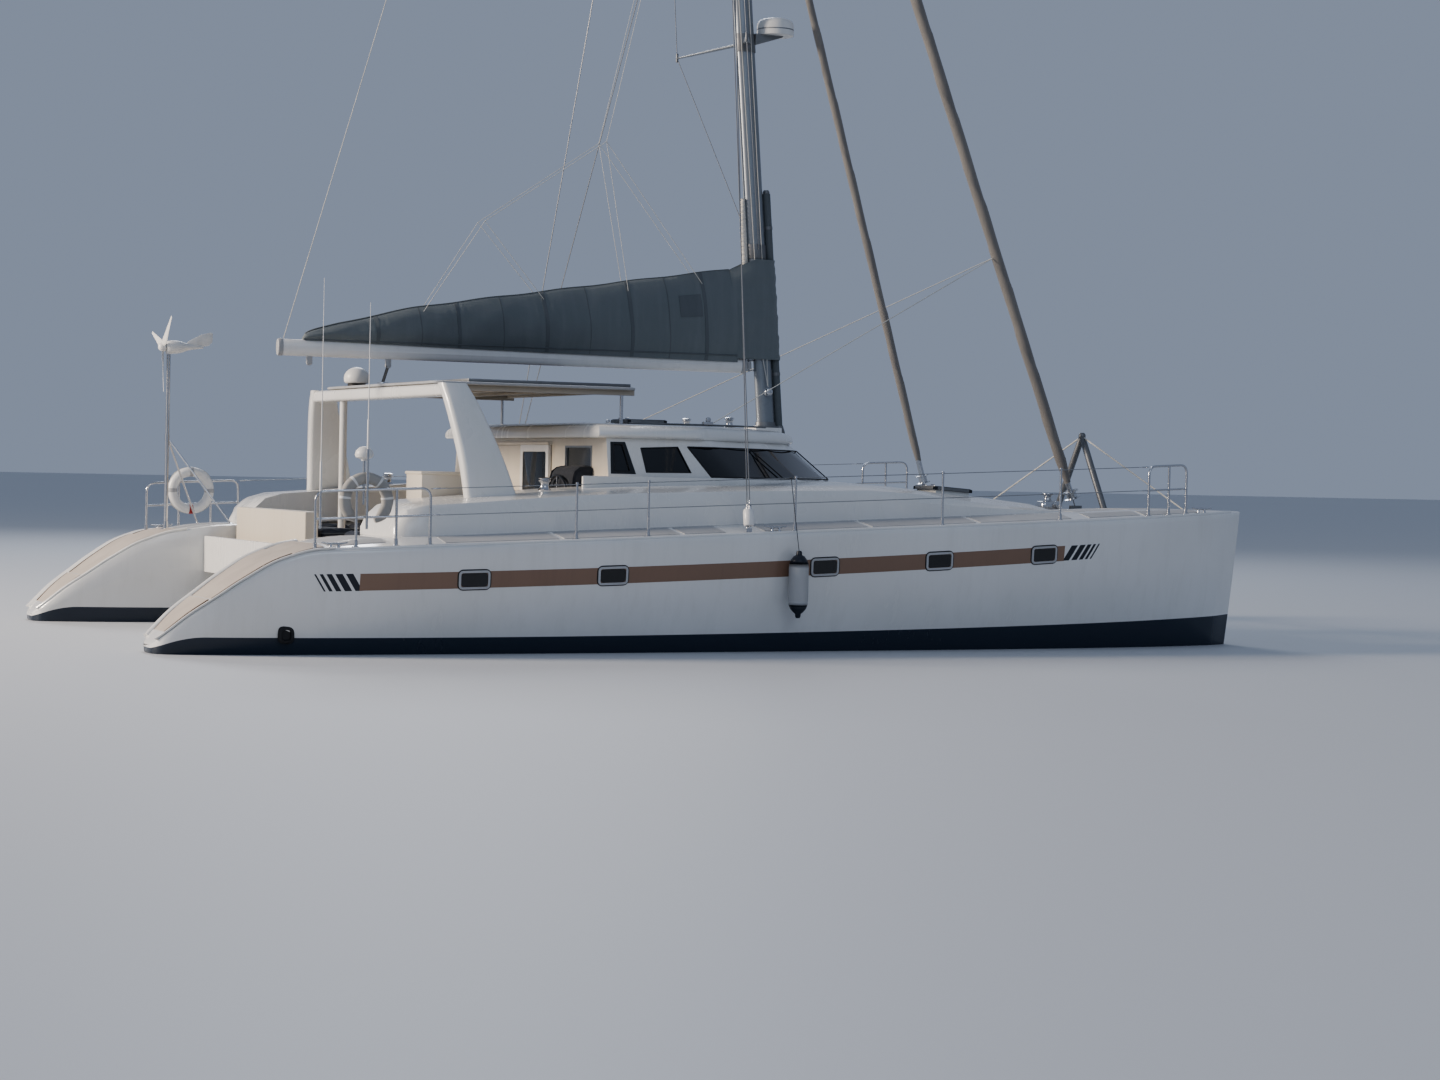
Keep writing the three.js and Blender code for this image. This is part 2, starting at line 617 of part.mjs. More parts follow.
// Columns: name, station of the middle, y, height of the frame's top, slope of the deck
const HATCHES = [
  ['fore_hatch_starboard', 9900, -1850, 1795, -0.07],
  ['fore_hatch_port', 9900, 1850, 1795, -0.07],
  ['roof_hatch', 6700, 0, 2535, 0],
];
const hatchPlate = (size, thick, station, y, z, slope) => new THREE.BoxGeometry(size, size, thick)
  .translate(0, 0, thick / 2).rotateY(-slope).translate(at(station), y, z);
const hatchFrame = ([, station, y, z, slope]) =>
  hatchPlate(LID_SIZE - 60, FRAME_DEPTH, station, y, z - FRAME_DEPTH, slope);
const hatchLid = ([, station, y, z, slope]) =>
  hatchPlate(LID_SIZE, LID_THICK, station, y, z + SEAT_GAP, slope);

add('deck_moulding', join(deckShell, hatchFrame(HATCHES[0]), hatchFrame(HATCHES[1])), GELCOAT);
add('cabin_roof', join(roofShell, hatchFrame(HATCHES[2])), GELCOAT);
HATCHES.forEach((row) => add(row[0], hatchLid(row), GLASS));

// Cockpit seats with the lockers below them; the port seat turns into a bench across the stern
const SEAT_TOP = 1130;
const SEAT_AFT = 2420;
const SEAT_INNER = 1560;
const BENCH_FORE = 2980;
const BENCH_END = -700;
const BACKREST_TOP = 1420;
const wellSide = COCKPIT_HALF_WIDTH - 1;
const seatFoot = SOLE + SEAT_GAP;
add('cockpit_seat_starboard', block(SEAT_AFT, 3960, -wellSide, -SEAT_INNER, seatFoot, SEAT_TOP), NONSKID);
add('cockpit_seat_port', join(
  block(SEAT_AFT, 5000, SEAT_INNER, wellSide, seatFoot, SEAT_TOP),
  block(SEAT_AFT, BENCH_FORE, BENCH_END, wellSide, seatFoot, SEAT_TOP),
  block(SEAT_AFT - 100, SEAT_AFT + 60, BENCH_END, wellSide, seatFoot, BACKREST_TOP),
), NONSKID);

// Helm on the starboard side of the cockpit
const HELM_Y = -1700;
const WHEEL_STATION = 4960;
const WHEEL_Z = 1560;
const WHEEL_RADIUS = 330;
const WHEEL_TUBE = 15;
const WHEEL_SPOKES = 5;
const CONSOLE_AFT = 5030;
const CONSOLE_HALF = 330;
const CONSOLE_TOP = 1900;
const onWheelAxis = (x) => [x, HELM_Y, WHEEL_Z];
const consoleSide = [
  [CONSOLE_AFT, seatFoot], [BULKHEAD - SEAT_GAP, seatFoot], [BULKHEAD - SEAT_GAP, CONSOLE_TOP],
  [CONSOLE_AFT + 100, CONSOLE_TOP], [CONSOLE_AFT, CONSOLE_TOP - 120],
];
add('helm_console', cut(
  sidePlate(consoleSide, HELM_Y - CONSOLE_HALF, HELM_Y + CONSOLE_HALF),
  bar(
    onWheelAxis(at(CONSOLE_AFT) - 5), onWheelAxis(at(CONSOLE_AFT) + 120),
    SHAFT + 2 * SHAFT_CLEARANCE, PIN_SIDES,
  ),
), GELCOAT);

const wheelHub = onWheelAxis(at(WHEEL_STATION));
const wheelRim = new THREE.TorusGeometry(WHEEL_RADIUS, WHEEL_TUBE, 6, 24)
  .rotateY(Math.PI / 2).translate(...wheelHub);
const wheelSpoke = (turn) => {
  const [aside, up] = [WHEEL_RADIUS * Math.sin(turn), WHEEL_RADIUS * Math.cos(turn)];
  return bar(wheelHub, [wheelHub[0], HELM_Y + aside, WHEEL_Z + up], 16, 6);
};
const spokes = Array.from({ length: WHEEL_SPOKES }, (_, i) => wheelSpoke((i * 2 * Math.PI) / WHEEL_SPOKES));
add('steering_wheel', join(
  wheelRim,
  bar(onWheelAxis(wheelHub[0] - 25), onWheelAxis(at(CONSOLE_AFT) - 8), 90, 12),
  bar(wheelHub, onWheelAxis(at(CONSOLE_AFT) + 90), SHAFT, PIN_SIDES),
  ...spokes,
), STEEL);

const HELM_SEAT_HALF = 380;
const HELM_SEAT = [[4080, seatFoot], [4460, seatFoot], [4500, 1300], [4480, 1400], [4080, 1400]];
const HELM_BACK = [[4000, 1360], [4100, 1360], [4060, 1960], [3970, 1960]];
add('helm_seat', join(
  ...[HELM_SEAT, HELM_BACK].map((outline) =>
    sidePlate(outline, HELM_Y - HELM_SEAT_HALF, HELM_Y + HELM_SEAT_HALF)),
), VINYL);

// Targa arch over the aft cockpit, trimmed to the coamings it stands on
// Columns: aft station, forward station, |y| outboard, |y| inboard, height
const ARCH_LEG = [
  [3435, 4060, 2975, 2830, 1500],
  [3395, 3890, 2850, 2680, 2050],
  [3330, 3700, 2620, 2440, 2600],
  [3300, 3600, 2440, 2250, ARCH_TOP],
];
const ARCH_CORNER = 50;
const ARCH_BEAM = [3320, 3560, -2400, 2400, ARCH_TOP - 140, ARCH_TOP];
const ARCH_POST = [at(3430), 1450];
const archLeg = (side) => loft(ARCH_LEG.map(([aft, fore, outer, inner, z]) => [
  [aft + ARCH_CORNER, outer], [fore - ARCH_CORNER, outer],
  [fore, outer - ARCH_CORNER], [fore, inner + ARCH_CORNER],
  [fore - ARCH_CORNER, inner], [aft + ARCH_CORNER, inner],
  [aft, inner + ARCH_CORNER], [aft, outer - ARCH_CORNER],
].map(([s, y]) => [at(s), side * y, z])));
add('targa_arch', cut(
  join(
    ...bothSides(archLeg),
    block(...ARCH_BEAM),
    bar([...ARCH_POST, seatFoot], [...ARCH_POST, ARCH_TOP - 100], 90, 12),
  ),
  deckShell.clone().translate(0, 0, SEAT_GAP),
), GELCOAT);

// Hard top over the cockpit: a plate on two girders and two forward posts
const TOP_AFT = 3350;
const TOP_FORE = 5830;
const TOP_HALF = 2000;
const TOP_THICK = 35;
const GIRDER_Y = 1900;
const POST_STATION = 5650;
const topZ = ARCH_TOP + SEAT_GAP;
const girder = (side) =>
  block(TOP_AFT + 260, TOP_FORE, side * GIRDER_Y - 25, side * GIRDER_Y + 25, topZ - 60, topZ + 10);
const topPost = (side) =>
  bar([at(POST_STATION), side * GIRDER_Y, 2400], [at(POST_STATION), side * GIRDER_Y, topZ + 5], 40);
add('hard_top', cut(
  join(
    block(TOP_AFT, TOP_FORE, -TOP_HALF, TOP_HALF, topZ, topZ + TOP_THICK),
    ...bothSides(girder),
    ...bothSides(topPost),
  ),
  roofOuter.clone().translate(0, 0, SEAT_GAP),
), GELCOAT);

// Three solar panels side by side on a common tray, and a satellite dome aft of them
const PANEL_PITCH = 1300;
const PANEL_HALF = 630;
const panelZ = topZ + TOP_THICK + SEAT_GAP;
const panel = (i) => block(
  TOP_AFT + 440, TOP_FORE - 80, i * PANEL_PITCH - PANEL_HALF, i * PANEL_PITCH + PANEL_HALF,
  panelZ + 6, panelZ + 36,
);
add('solar_panels', join(
  block(TOP_AFT + 420, TOP_FORE - 60, -TOP_HALF + 40, TOP_HALF - 40, panelZ, panelZ + 12),
  ...[-1, 0, 1].map(panel),
), GLASS);
const DOME_Y = 1200;
const DOME = [
  [0, 0], [110, 0], [110, 30], [150, 40], [155, 110], [140, 165], [105, 205], [60, 225], [0, 230],
];
add('satellite_dome', turned(DOME, 20).translate(at(TOP_AFT + 160), DOME_Y, panelZ), PLASTIC);

// Mast with its spreaders and diamond wires
const mastHalfChord = MAST_CHORD / 2;
const MAST_SINK = 40;
const mastSection = new THREE.Shape();
mastSection.absellipse(0, 0, mastHalfChord, MAST_WIDTH / 2, 0, 2 * Math.PI);
const mastTube = new THREE.ExtrudeGeometry(mastSection, {
  depth: (MAST_TOP - MAST_STEP_TOP) / Math.cos(MAST_RAKE) + MAST_SINK, bevelEnabled: false, curveSegments: 5,
}).translate(0, 0, -MAST_SINK).rotateY(-MAST_RAKE).translate(at(MAST_FOOT_STATION), 0, MAST_STEP_TOP);
const mastPoint = (z, fore = 0, y = 0) => [mastX(z) + fore, y, z];
// Columns: height of the root, station of the tip, |y| of the tip, height of the tip
const SPREADERS = [[7250, 7560, 1000, 7150], [12250, 7180, 900, 12180]];
const DIAMOND_FOOT = 4700;
const DIAMOND_HEAD = 15250;
const DIAMOND_WIRE = 9;
const DIAMOND_Y = 55;
const spreaderTips = (side) => SPREADERS.map(([, station, y, z]) => [at(station), side * y, z]);
const spreaders = (side) =>
  spreaderTips(side).map((tip, i) => bar(mastPoint(SPREADERS[i][0]), tip, 62, 8, 36));
const diamondWire = (side) => pipe([
  mastPoint(DIAMOND_FOOT, 0, side * DIAMOND_Y),
  ...spreaderTips(side),
  mastPoint(DIAMOND_HEAD, 0, side * DIAMOND_Y),
], DIAMOND_WIRE, 4);

// Stays: short ends on the mast and at the deck, on which the furled sails turn
const GENOA_FOOT = [at(12960), 0, 1640];
const genoaHead = mastPoint(STAY_TOP_GENOA, mastHalfChord - 10);
const innerHead = mastPoint(STAY_TOP_INNER, mastHalfChord - 10);
const STAY = 16;
const STAY_BORE = STAY + 1.6;
const STAY_SIDES = 16;
const STAY_END = 300;
const stayEnd = (head, foot) => bar(along(head, foot, -20), along(head, foot, STAY_END), STAY, STAY_SIDES);

// Gooseneck: lugs and a pin on the mast, parallel to its rake
const PIN = 24;
const PIN_BORE = 25.6;
const pin = mastPoint(BOOM_HEIGHT, -BOOM_PIN_OFFSET);
const onPin = (geometry) => geometry.rotateY(-MAST_RAKE).translate(...pin);
const lug = (low) => onPin(new THREE.BoxGeometry(150, 60, 20).translate(50, 0, low + 10));
const belowStep = block(7000, 9500, -500, 500, 2000, MAST_STEP_TOP + SEAT_GAP);
add('mast', cut(
  join(
    mastTube, lug(50), lug(-70), onPin(bar([0, 0, -72], [0, 0, 72], PIN, PIN_SIDES)),
    ...bothSides(spreaders).flat(),
    ...bothSides(diamondWire),
    stayEnd(genoaHead, GENOA_FOOT),
    stayEnd(innerHead, INNER_STAY_FOOT),
    bar(mastPoint(MAST_TOP - 60, -260), mastPoint(MAST_TOP - 60, 180), 60, 8),
  ),
  belowStep,
), ALLOY);

// Radar on a bracket at the front of the mast
const RADAR_Z = 7370;
const RADAR_REACH = 420;
const BRACKET_DROP = 130;
const BRACKET_HALF = 60;
const RADAR = [[0, 0], [215, 0], [228, 30], [228, 130], [200, 185], [120, 215], [0, 225]];
const bracketFoot = (mastHalfChord + Math.sin(MAST_RAKE) * BRACKET_DROP) / Math.cos(MAST_RAKE) + SEAT_GAP;
const BRACKET = [
  [bracketFoot, -BRACKET_DROP], [bracketFoot + 26, -BRACKET_DROP], [bracketFoot + 26, -25],
  [RADAR_REACH + 80, -25], [RADAR_REACH + 80, 2], [bracketFoot, 2],
];
add('radar', join(
  turned(RADAR, 20).translate(RADAR_REACH, 0, 0),
  finPlate(BRACKET, -BRACKET_HALF, BRACKET_HALF),
).translate(mastX(RADAR_Z), 0, RADAR_Z), PLASTIC);

// Boom, with the socket that turns on the gooseneck's pin
const SOCKET_REACH = 62;
const boomFore = pin[0] - SOCKET_REACH;
const boomSection = new THREE.Shape();
boomSection.absellipse(0, 0, BOOM_WIDTH / 2, BOOM_DEPTH / 2, 0, 2 * Math.PI);
const boomTube = new THREE.ExtrudeGeometry(boomSection, {
  depth: boomFore - at(BOOM_END_STATION), bevelEnabled: false, curveSegments: 6,
}).rotateX(Math.PI / 2).rotateZ(Math.PI / 2);
boomTube.computeBoundingBox();
boomTube.translate(boomFore - boomTube.boundingBox.max.x, 0, BOOM_HEIGHT);
add('boom', cut(
  join(
    boomTube,
    onPin(bar([0, 0, -45], [0, 0, 45], 68, 16)),
    onPin(new THREE.BoxGeometry(110, 60, 80).translate(-50, 0, 0)),
  ),
  onPin(bar([0, 0, -100], [0, 0, 100], PIN_BORE, PIN_SIDES)),
), WHITE_ALLOY);

// Sail bag
// Columns: station, height of the top, half width at the bulge
const BAG_SECTIONS = [
  [2470, 3410, 18], [2700, 3510, 45], [3030, 3605, 75], [3880, 3815, 120],
  [5760, 4120, 150], [7200, 4350, 160], [7985, 4470, 120],
];
// One side of the bag's section: share of the half width, share of the height
const BAG_SIDE = [[0.45, 0], [0.85, 0.2], [1, 0.42], [0.8, 0.7], [0.45, 0.9], [0.12, 1]];
const bagFoot = BOOM_HEIGHT + BOOM_DEPTH / 2 + SEAT_GAP;
function bagRing([station, top, half]) {
  const height = top - bagFoot;
  const place = (sign) => ([w, t]) => [
    at(station) - Math.tan(MAST_RAKE) * t * height, sign * w * half, bagFoot + t * height,
  ];
  return [...BAG_SIDE.map(place(-1)), ...BAG_SIDE.map(place(1)).reverse()];
}
add('sail_bag', loft(BAG_SECTIONS.map(bagRing)), CANVAS);

// Furled headsails: a drum, a rolled sail and a swivel that turn about their stay
const ROLL_SIDES = 12;
const ROLL_START = 300;
const SWIVEL = [520, 240];
const DRUM = [90, 190];
const SPOOL = 70;
function furledSail(foot, head, roll, drum) {
  const axis = new THREE.Vector3(...head).sub(new THREE.Vector3(...foot));
  const length = axis.length();
  // Columns: diameter, distance from the foot
  const profile = [
    [0, DRUM[0]], [drum, DRUM[0]], [drum, DRUM[1]], [SPOOL, DRUM[1]], [SPOOL, ROLL_START],
    [roll * 0.6, ROLL_START], [roll, 2 * ROLL_START + 20], [roll, length * 0.55],
    [roll * 0.55, length - SWIVEL[0]], [60, length - SWIVEL[0]], [60, length - SWIVEL[1]],
    [0, length - SWIVEL[1]],
  ].map(([diameter, distance]) => [diameter / 2, distance]);
  const onStay = (distance) => along(foot, head, distance);
  return cut(
    new THREE.LatheGeometry(pointsOf(profile), ROLL_SIDES).applyQuaternion(turnTo(axis)).translate(...foot),
    bar(onStay(40), onStay(160), STAY_BORE, STAY_SIDES),
    bar(onStay(length - 320), onStay(length - 200), STAY_BORE, STAY_SIDES),
  );
}
add('furled_genoa', furledSail(GENOA_FOOT, genoaHead, 140, 210), ROLLED_SAIL);
add('furled_staysail', furledSail(INNER_STAY_FOOT, innerHead, 100, 170), ROLLED_SAIL);

// Shrouds from the chainplates to the mast
const SHROUD = 14;
const CHAINPLATE_STATION = 6390;
const CHAINPLATE = [at(CHAINPLATE_STATION), -HULL_CENTRE - 815];
const CAP_HEAD = 15600;
const LOWER_HEAD = 11700;
const chainZ = deckEdge(CHAINPLATE_STATION);
const shroudFoot = [...CHAINPLATE, chainZ + 40];
const capHead = mastPoint(CAP_HEAD, 0, -MAST_WIDTH / 2 - 4);
const lowerHead = mastPoint(LOWER_HEAD, 0, -MAST_WIDTH / 2 - 4);
addPair('shrouds', cut(
  join(
    bar([...CHAINPLATE, chainZ - 60], shroudFoot, 60, 8),
    bar(shroudFoot, along(shroudFoot, capHead, 330), 44, 8),
    bar(shroudFoot, capHead, SHROUD, 6),
    bar(along(shroudFoot, lowerHead, 10), lowerHead, SHROUD, 6),
  ),
  hullRaised,
  mastTube.clone().translate(0, -SEAT_GAP, 0),
), STEEL);

// Fore crossbeam with the striker over it, the walkway and the genoa's tack fitting
const BEAM_DIAMETER = 180;
const BEAM_HALF = 2850;
const STRIKER_APEX = [at(BEAM_STATION), 0, 2540];
const STRUT_Y = 580;
const STRIKER_WIRE_Y = 2450;
const WALKWAY_HALF = 350;
const beamTop = BEAM_HEIGHT + BEAM_DIAMETER / 2;
const walkTop = beamTop - 4;
const onBeam = (y, z = BEAM_HEIGHT) => [at(BEAM_STATION), y, z];
const hullsNarrowed = [
  hullBody.clone().translate(0, SEAT_GAP, 0),
  mirrored(hullBody).translate(0, -SEAT_GAP, 0),
];
add('fore_beam', cut(
  join(
    bar(onBeam(-BEAM_HALF), onBeam(BEAM_HALF), BEAM_DIAMETER, 16),
    ...bothSides((side) => bar(onBeam(side * STRUT_Y, beamTop - 30), STRIKER_APEX, 70, 8)),
    ...bothSides((side) => bar(onBeam(side * STRIKER_WIRE_Y, beamTop - 20), STRIKER_APEX, 12, 6)),
    ball(STRIKER_APEX, 96, 10, 8),
    block(FRONT_FACE + SEAT_GAP, BEAM_STATION, -WALKWAY_HALF, WALKWAY_HALF, walkTop - 50, walkTop),
    block(12890, 13060, -22, 22, beamTop - 30, beamTop + 50),
    bar(along(GENOA_FOOT, genoaHead, -60), along(GENOA_FOOT, genoaHead, 140), STAY, STAY_SIDES),
  ),
  ...hullsNarrowed,
), WHITE_ALLOY);

// Nets between the walkway, the beam and the hulls
const NET_AFT = 10760;
const NET_FORE = 12950;
const NET_OUTER = -2900;
const NET_THICK = 12;
const netInner = -WALKWAY_HALF - SEAT_GAP;
const netOutline = [[NET_AFT, netInner], [NET_FORE, netInner], [NET_FORE, NET_OUTER], [NET_AFT, NET_OUTER]];
const netShape = new THREE.Shape(pointsOf(netOutline.map(([s, y]) => [at(s), y])));
const netSheet = new THREE.ExtrudeGeometry(netShape, { depth: NET_THICK, bevelEnabled: false });
addPair('trampoline', cut(netSheet.translate(0, 0, walkTop - 40), hullsNarrowed[0]), NET);

const WINDLASS_STATION = 12560;
const GYPSY_STATION = WINDLASS_STATION - 20;
const CAPSTAN_STATION = WINDLASS_STATION + 60;
const overWalk = (station, y, height) => [at(station), y, walkTop + height];
add('windlass', join(
  block(WINDLASS_STATION - 150, WINDLASS_STATION + 150, -110, 110, walkTop + SEAT_GAP, walkTop + 110),
  bar(overWalk(GYPSY_STATION, 0, 100), overWalk(GYPSY_STATION, 0, 190), 130, 12, 90),
  bar(overWalk(GYPSY_STATION, 0, 180), overWalk(GYPSY_STATION, 0, 215), 150, 12),
  bar(overWalk(CAPSTAN_STATION, -160, 60), overWalk(CAPSTAN_STATION, 160, 60), 100, 12),
), STEEL);

// Guard rails: pushpit, stanchions with two wires, and pulpit, as one run on each side
const RAIL = 30;
const RAIL_TOP = 610;
const RAIL_MIDDLE = 320;
const GUARD_WIRE = 12;
const PUSHPIT = [1560, 1980, 2400, 2760];
const STANCHIONS = [4370, 5200, 6960, 8820, 10400, 11710];
const PULPIT = [11710, 12040, 12340];
const railPoint = (station, height) => [
  at(station), -HULL_CENTRE - gunwaleOut(station) + RAIL_INSET, deckEdge(station) + height,
];
const postAt = (station) => bar(railPoint(station, -60), railPoint(station, RAIL_TOP), RAIL, 6);
const runAt = (stations, height, diameter, sides) => stations.slice(1).map((station, i) =>
  bar(railPoint(stations[i], height), railPoint(station, height), diameter, sides));
const tubeRun = (stations) =>
  [RAIL_TOP - 8, RAIL_MIDDLE].flatMap((height) => runAt(stations, height, RAIL, 6));
const wireRun = (stations) =>
  [RAIL_TOP - 14, RAIL_MIDDLE].flatMap((height) => runAt(stations, height, GUARD_WIRE, 4));
const rail = cut(
  join(
    ...[...PUSHPIT, ...STANCHIONS, ...PULPIT.slice(1)].map(postAt),
    ...tubeRun(PUSHPIT),
    ...wireRun([PUSHPIT.at(-1), ...STANCHIONS]),
    ...tubeRun(PULPIT),
  ),
  hullRaised,
);
addPair('guard_rail', rail, STEEL);

// Lifebuoys on the inboard side of the pushpit rails, a ring to port and a horseshoe to starboard.
// Each touches the top rail near the buoy's aft edge, where the rail lies nearest to the cockpit.
const BUOY_STATION = 2110;
const BUOY_Z = 1595;
const railAbove = railPoint(BUOY_STATION, RAIL_TOP - 8)[2] - BUOY_Z;
function railFace(radius) {
  const touch = BUOY_STATION - Math.sqrt(radius ** 2 - railAbove ** 2);
  const [aft, fore] = PUSHPIT.map((station) => railPoint(station, 0)[1]);
  const share = (touch - PUSHPIT[0]) / (PUSHPIT[1] - PUSHPIT[0]);
  return lerp(aft, fore, share) + RAIL / 2 + SEAT_GAP;
}
// How far each buoy goes in towards the flats of the six-sided rail
const RING_SEAT = 1.6;
const HORSESHOE_SEAT = 0.85;
const RING_RADIUS = 235;
const RING_TUBE = 60;
add('ring_buoy', new THREE.TorusGeometry(RING_RADIUS, RING_TUBE, 10, 24).rotateX(Math.PI / 2)
  .translate(at(BUOY_STATION), RING_SEAT - railFace(RING_RADIUS) - RING_TUBE, BUOY_Z), PLASTIC);
const HORSESHOE_THICK = 110;
const HORSESHOE_RADIUS = 290;
const horseshoe = new THREE.Shape();
horseshoe.absarc(0, 0, HORSESHOE_RADIUS, -1.15, Math.PI + 1.15, false);
horseshoe.absarc(0, 0, 165, Math.PI + 1.0, -1.0, true);
const horseshoePad = new THREE.ExtrudeGeometry(horseshoe, {
  depth: HORSESHOE_THICK, bevelEnabled: false, curveSegments: 14,
});
const horseshoeY = railFace(HORSESHOE_RADIUS) - HORSESHOE_SEAT + HORSESHOE_THICK;
add('horseshoe_buoy', horseshoePad.rotateX(Math.PI / 2)
  .translate(at(BUOY_STATION), horseshoeY, BUOY_Z), PLASTIC);

// Wind generator on a pole on the port quarter
const POLE_STATION = 1640;
const POLE_Y = 2900;
const POLE = 50;
const HEAD_Z = 3360;
const POLE_TOP = HEAD_Z - 90;
const BRACE_TOP = 2250;
// Columns: how far forward and how far to port a brace's foot stands from the pole
const BRACES = [[720, -350], [520, 460]];
const SPIGOT = 26;
const SPIGOT_BORE = 27.6;
const poleFoot = deckInboard(POLE_STATION);
const onPole = (z) => [at(POLE_STATION), POLE_Y, z];
const brace = ([fore, out]) =>
  bar(onPole(BRACE_TOP), [at(POLE_STATION + fore), POLE_Y + out, poleFoot - 20], 24, 8);
add('wind_pole', cut(
  join(
    bar(onPole(poleFoot - 60), onPole(POLE_TOP), POLE, 12),
    ...BRACES.map(brace),
    bar(onPole(POLE_TOP - 10), onPole(POLE_TOP + 50), SPIGOT, PIN_SIDES),
  ),
  mirrored(hullRaised),
), STEEL);

const FIN = [[380, -10], [520, 40], [540, 190], [430, 150]];
add('wind_head', cut(
  join(
    bar([-30, 0, 0], [170, 0, 0], 130, 14, 110),
    bar([170, 0, 0], [430, 0, 30], 60, 10, 30),
    finPlate(FIN, -6, 6),
    bar([0, 0, -84], [0, 0, 0], 70, 14),
  ),
  bar([0, 0, -120], [0, 0, -34], SPIGOT_BORE, PIN_SIDES),
  bar([-60, 0, 0], [60, 0, 0], SPIGOT_BORE, PIN_SIDES),
).translate(...onPole(HEAD_Z)), PLASTIC);

const ROTOR_RADIUS = 560;
const ROTOR_FORE = 80;
const ROTOR_PITCH = THREE.MathUtils.degToRad(72);
const ROTOR_START = 0.35;
const ROTOR_BLADE = [
  [20, 20], [60, 120], [45, 300], [12, ROTOR_RADIUS], [-6, ROTOR_RADIUS], [-22, 20],
];
function rotorBlade(turn) {
  const shape = new THREE.Shape(pointsOf(ROTOR_BLADE));
  const blade = new THREE.ExtrudeGeometry(shape, { depth: 8, bevelEnabled: false }).translate(0, 0, -4);
  return blade.rotateY(ROTOR_PITCH).rotateX(ROTOR_START + turn).translate(-ROTOR_FORE, 0, 0);
}
add('wind_rotor', join(
  bar([-130, 0, 0], [-38, 0, 0], 60, 14, 110),
  bar([-40, 0, 0], [40, 0, 0], SPIGOT, PIN_SIDES),
  ...thirds.map(rotorBlade),
).translate(...onPole(HEAD_Z)), PLASTIC);

// Fender hung from the starboard guard wire
const FENDER_STATION = 6900;
const FENDER_REACH = 1025;
const FENDER_TOP = 1110;
const FENDER = [
  [0, -720], [30, -715], [45, -680], [95, -600], [110, -540],
  [110, -150], [95, -90], [45, -15], [30, 15], [0, 20],
];
const ROPE = 7;
const fenderPoint = [at(FENDER_STATION), -HULL_CENTRE - FENDER_REACH, FENDER_TOP];
const wirePoint = railPoint(FENDER_STATION, RAIL_TOP - 14);
add('fender', cut(
  join(
    turned(FENDER, 16).translate(...fenderPoint),
    bar(fenderPoint, along(wirePoint, fenderPoint, ROPE / 2), ROPE, 4),
  ),
  ...bothSides((side) => rail.clone().translate(0, side * SEAT_GAP, -SEAT_GAP)),
), PLASTIC);

export default boat;
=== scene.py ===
# %% [markdown]
# A cruising catamaran, afloat
#
# This lesson dresses a sailing catamaran of 13.4 metres that was built first as plain solids.
# The solids give every place and size. Here the skins get their real curves, and every
# surface gets its finish. Lengths are metres, +X is forward, +Y is to port, and the
# origin is amidships at the waterline.

# %% Load the frame
import math

import bmesh
import bpy
import numpy as np
from mathutils import Matrix, Vector
from mathutils.bvhtree import BVHTree


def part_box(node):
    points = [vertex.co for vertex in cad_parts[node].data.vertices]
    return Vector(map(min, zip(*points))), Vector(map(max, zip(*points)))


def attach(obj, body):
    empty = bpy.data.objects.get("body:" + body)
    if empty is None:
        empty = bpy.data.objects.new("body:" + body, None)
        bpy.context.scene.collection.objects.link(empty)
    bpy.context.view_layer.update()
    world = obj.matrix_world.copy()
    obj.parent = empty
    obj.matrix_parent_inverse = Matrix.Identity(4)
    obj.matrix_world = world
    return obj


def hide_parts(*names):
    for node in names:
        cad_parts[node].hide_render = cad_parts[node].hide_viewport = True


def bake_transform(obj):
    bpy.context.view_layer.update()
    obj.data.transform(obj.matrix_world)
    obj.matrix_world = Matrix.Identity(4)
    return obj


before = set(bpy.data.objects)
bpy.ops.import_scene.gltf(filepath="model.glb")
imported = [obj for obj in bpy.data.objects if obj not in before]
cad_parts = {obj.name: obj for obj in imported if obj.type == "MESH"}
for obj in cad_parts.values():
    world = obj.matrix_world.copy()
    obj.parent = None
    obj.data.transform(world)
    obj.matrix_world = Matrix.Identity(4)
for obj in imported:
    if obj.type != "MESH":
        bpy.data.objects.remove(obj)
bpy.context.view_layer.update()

# %% [markdown]
# The camera comes first. It stands at eye height with a long lens, so the boat is seen
# almost from the side and a little from behind. It is placed by its yaw, pitch and roll,
# which were fitted to the frame of the photograph, and its shift stays at nothing.

# %% Camera
CAMERA_PLACE = Vector((-13.524, -30.925, 1.937))
CAMERA_YAW = math.radians(25.347)
CAMERA_PITCH = math.radians(-1.35)
CAMERA_ROLL = math.radians(1.23)
CAMERA_LENS = 69.39


def in_scene(name, data):
    """A new object in the scene for a mesh, a camera or a lamp."""
    made = bpy.data.objects.new(name, data)
    bpy.context.scene.collection.objects.link(made)
    return made


def aim_camera():
    """A camera whose picture agrees with the photograph's frame."""
    forward = Vector((
        math.sin(CAMERA_YAW) * math.cos(CAMERA_PITCH),
        math.cos(CAMERA_YAW) * math.cos(CAMERA_PITCH),
        math.sin(CAMERA_PITCH),
    ))
    right = Vector((math.cos(CAMERA_YAW), -math.sin(CAMERA_YAW), 0))
    up = right.cross(forward)
    turned_right = right * math.cos(CAMERA_ROLL) + up * math.sin(CAMERA_ROLL)
    turned_up = up * math.cos(CAMERA_ROLL) - right * math.sin(CAMERA_ROLL)
    lens = bpy.data.cameras.new("camera")
    lens.lens = CAMERA_LENS
    lens.clip_start, lens.clip_end = 0.5, 1000
    camera = in_scene("camera", lens)
    columns = Matrix((turned_right, turned_up, -forward)).transposed()
    camera.matrix_world = Matrix.Translation(CAMERA_PLACE) @ columns.to_4x4()
    bpy.context.scene.camera = camera


aim_camera()
print("lens:", CAMERA_LENS, "mm")

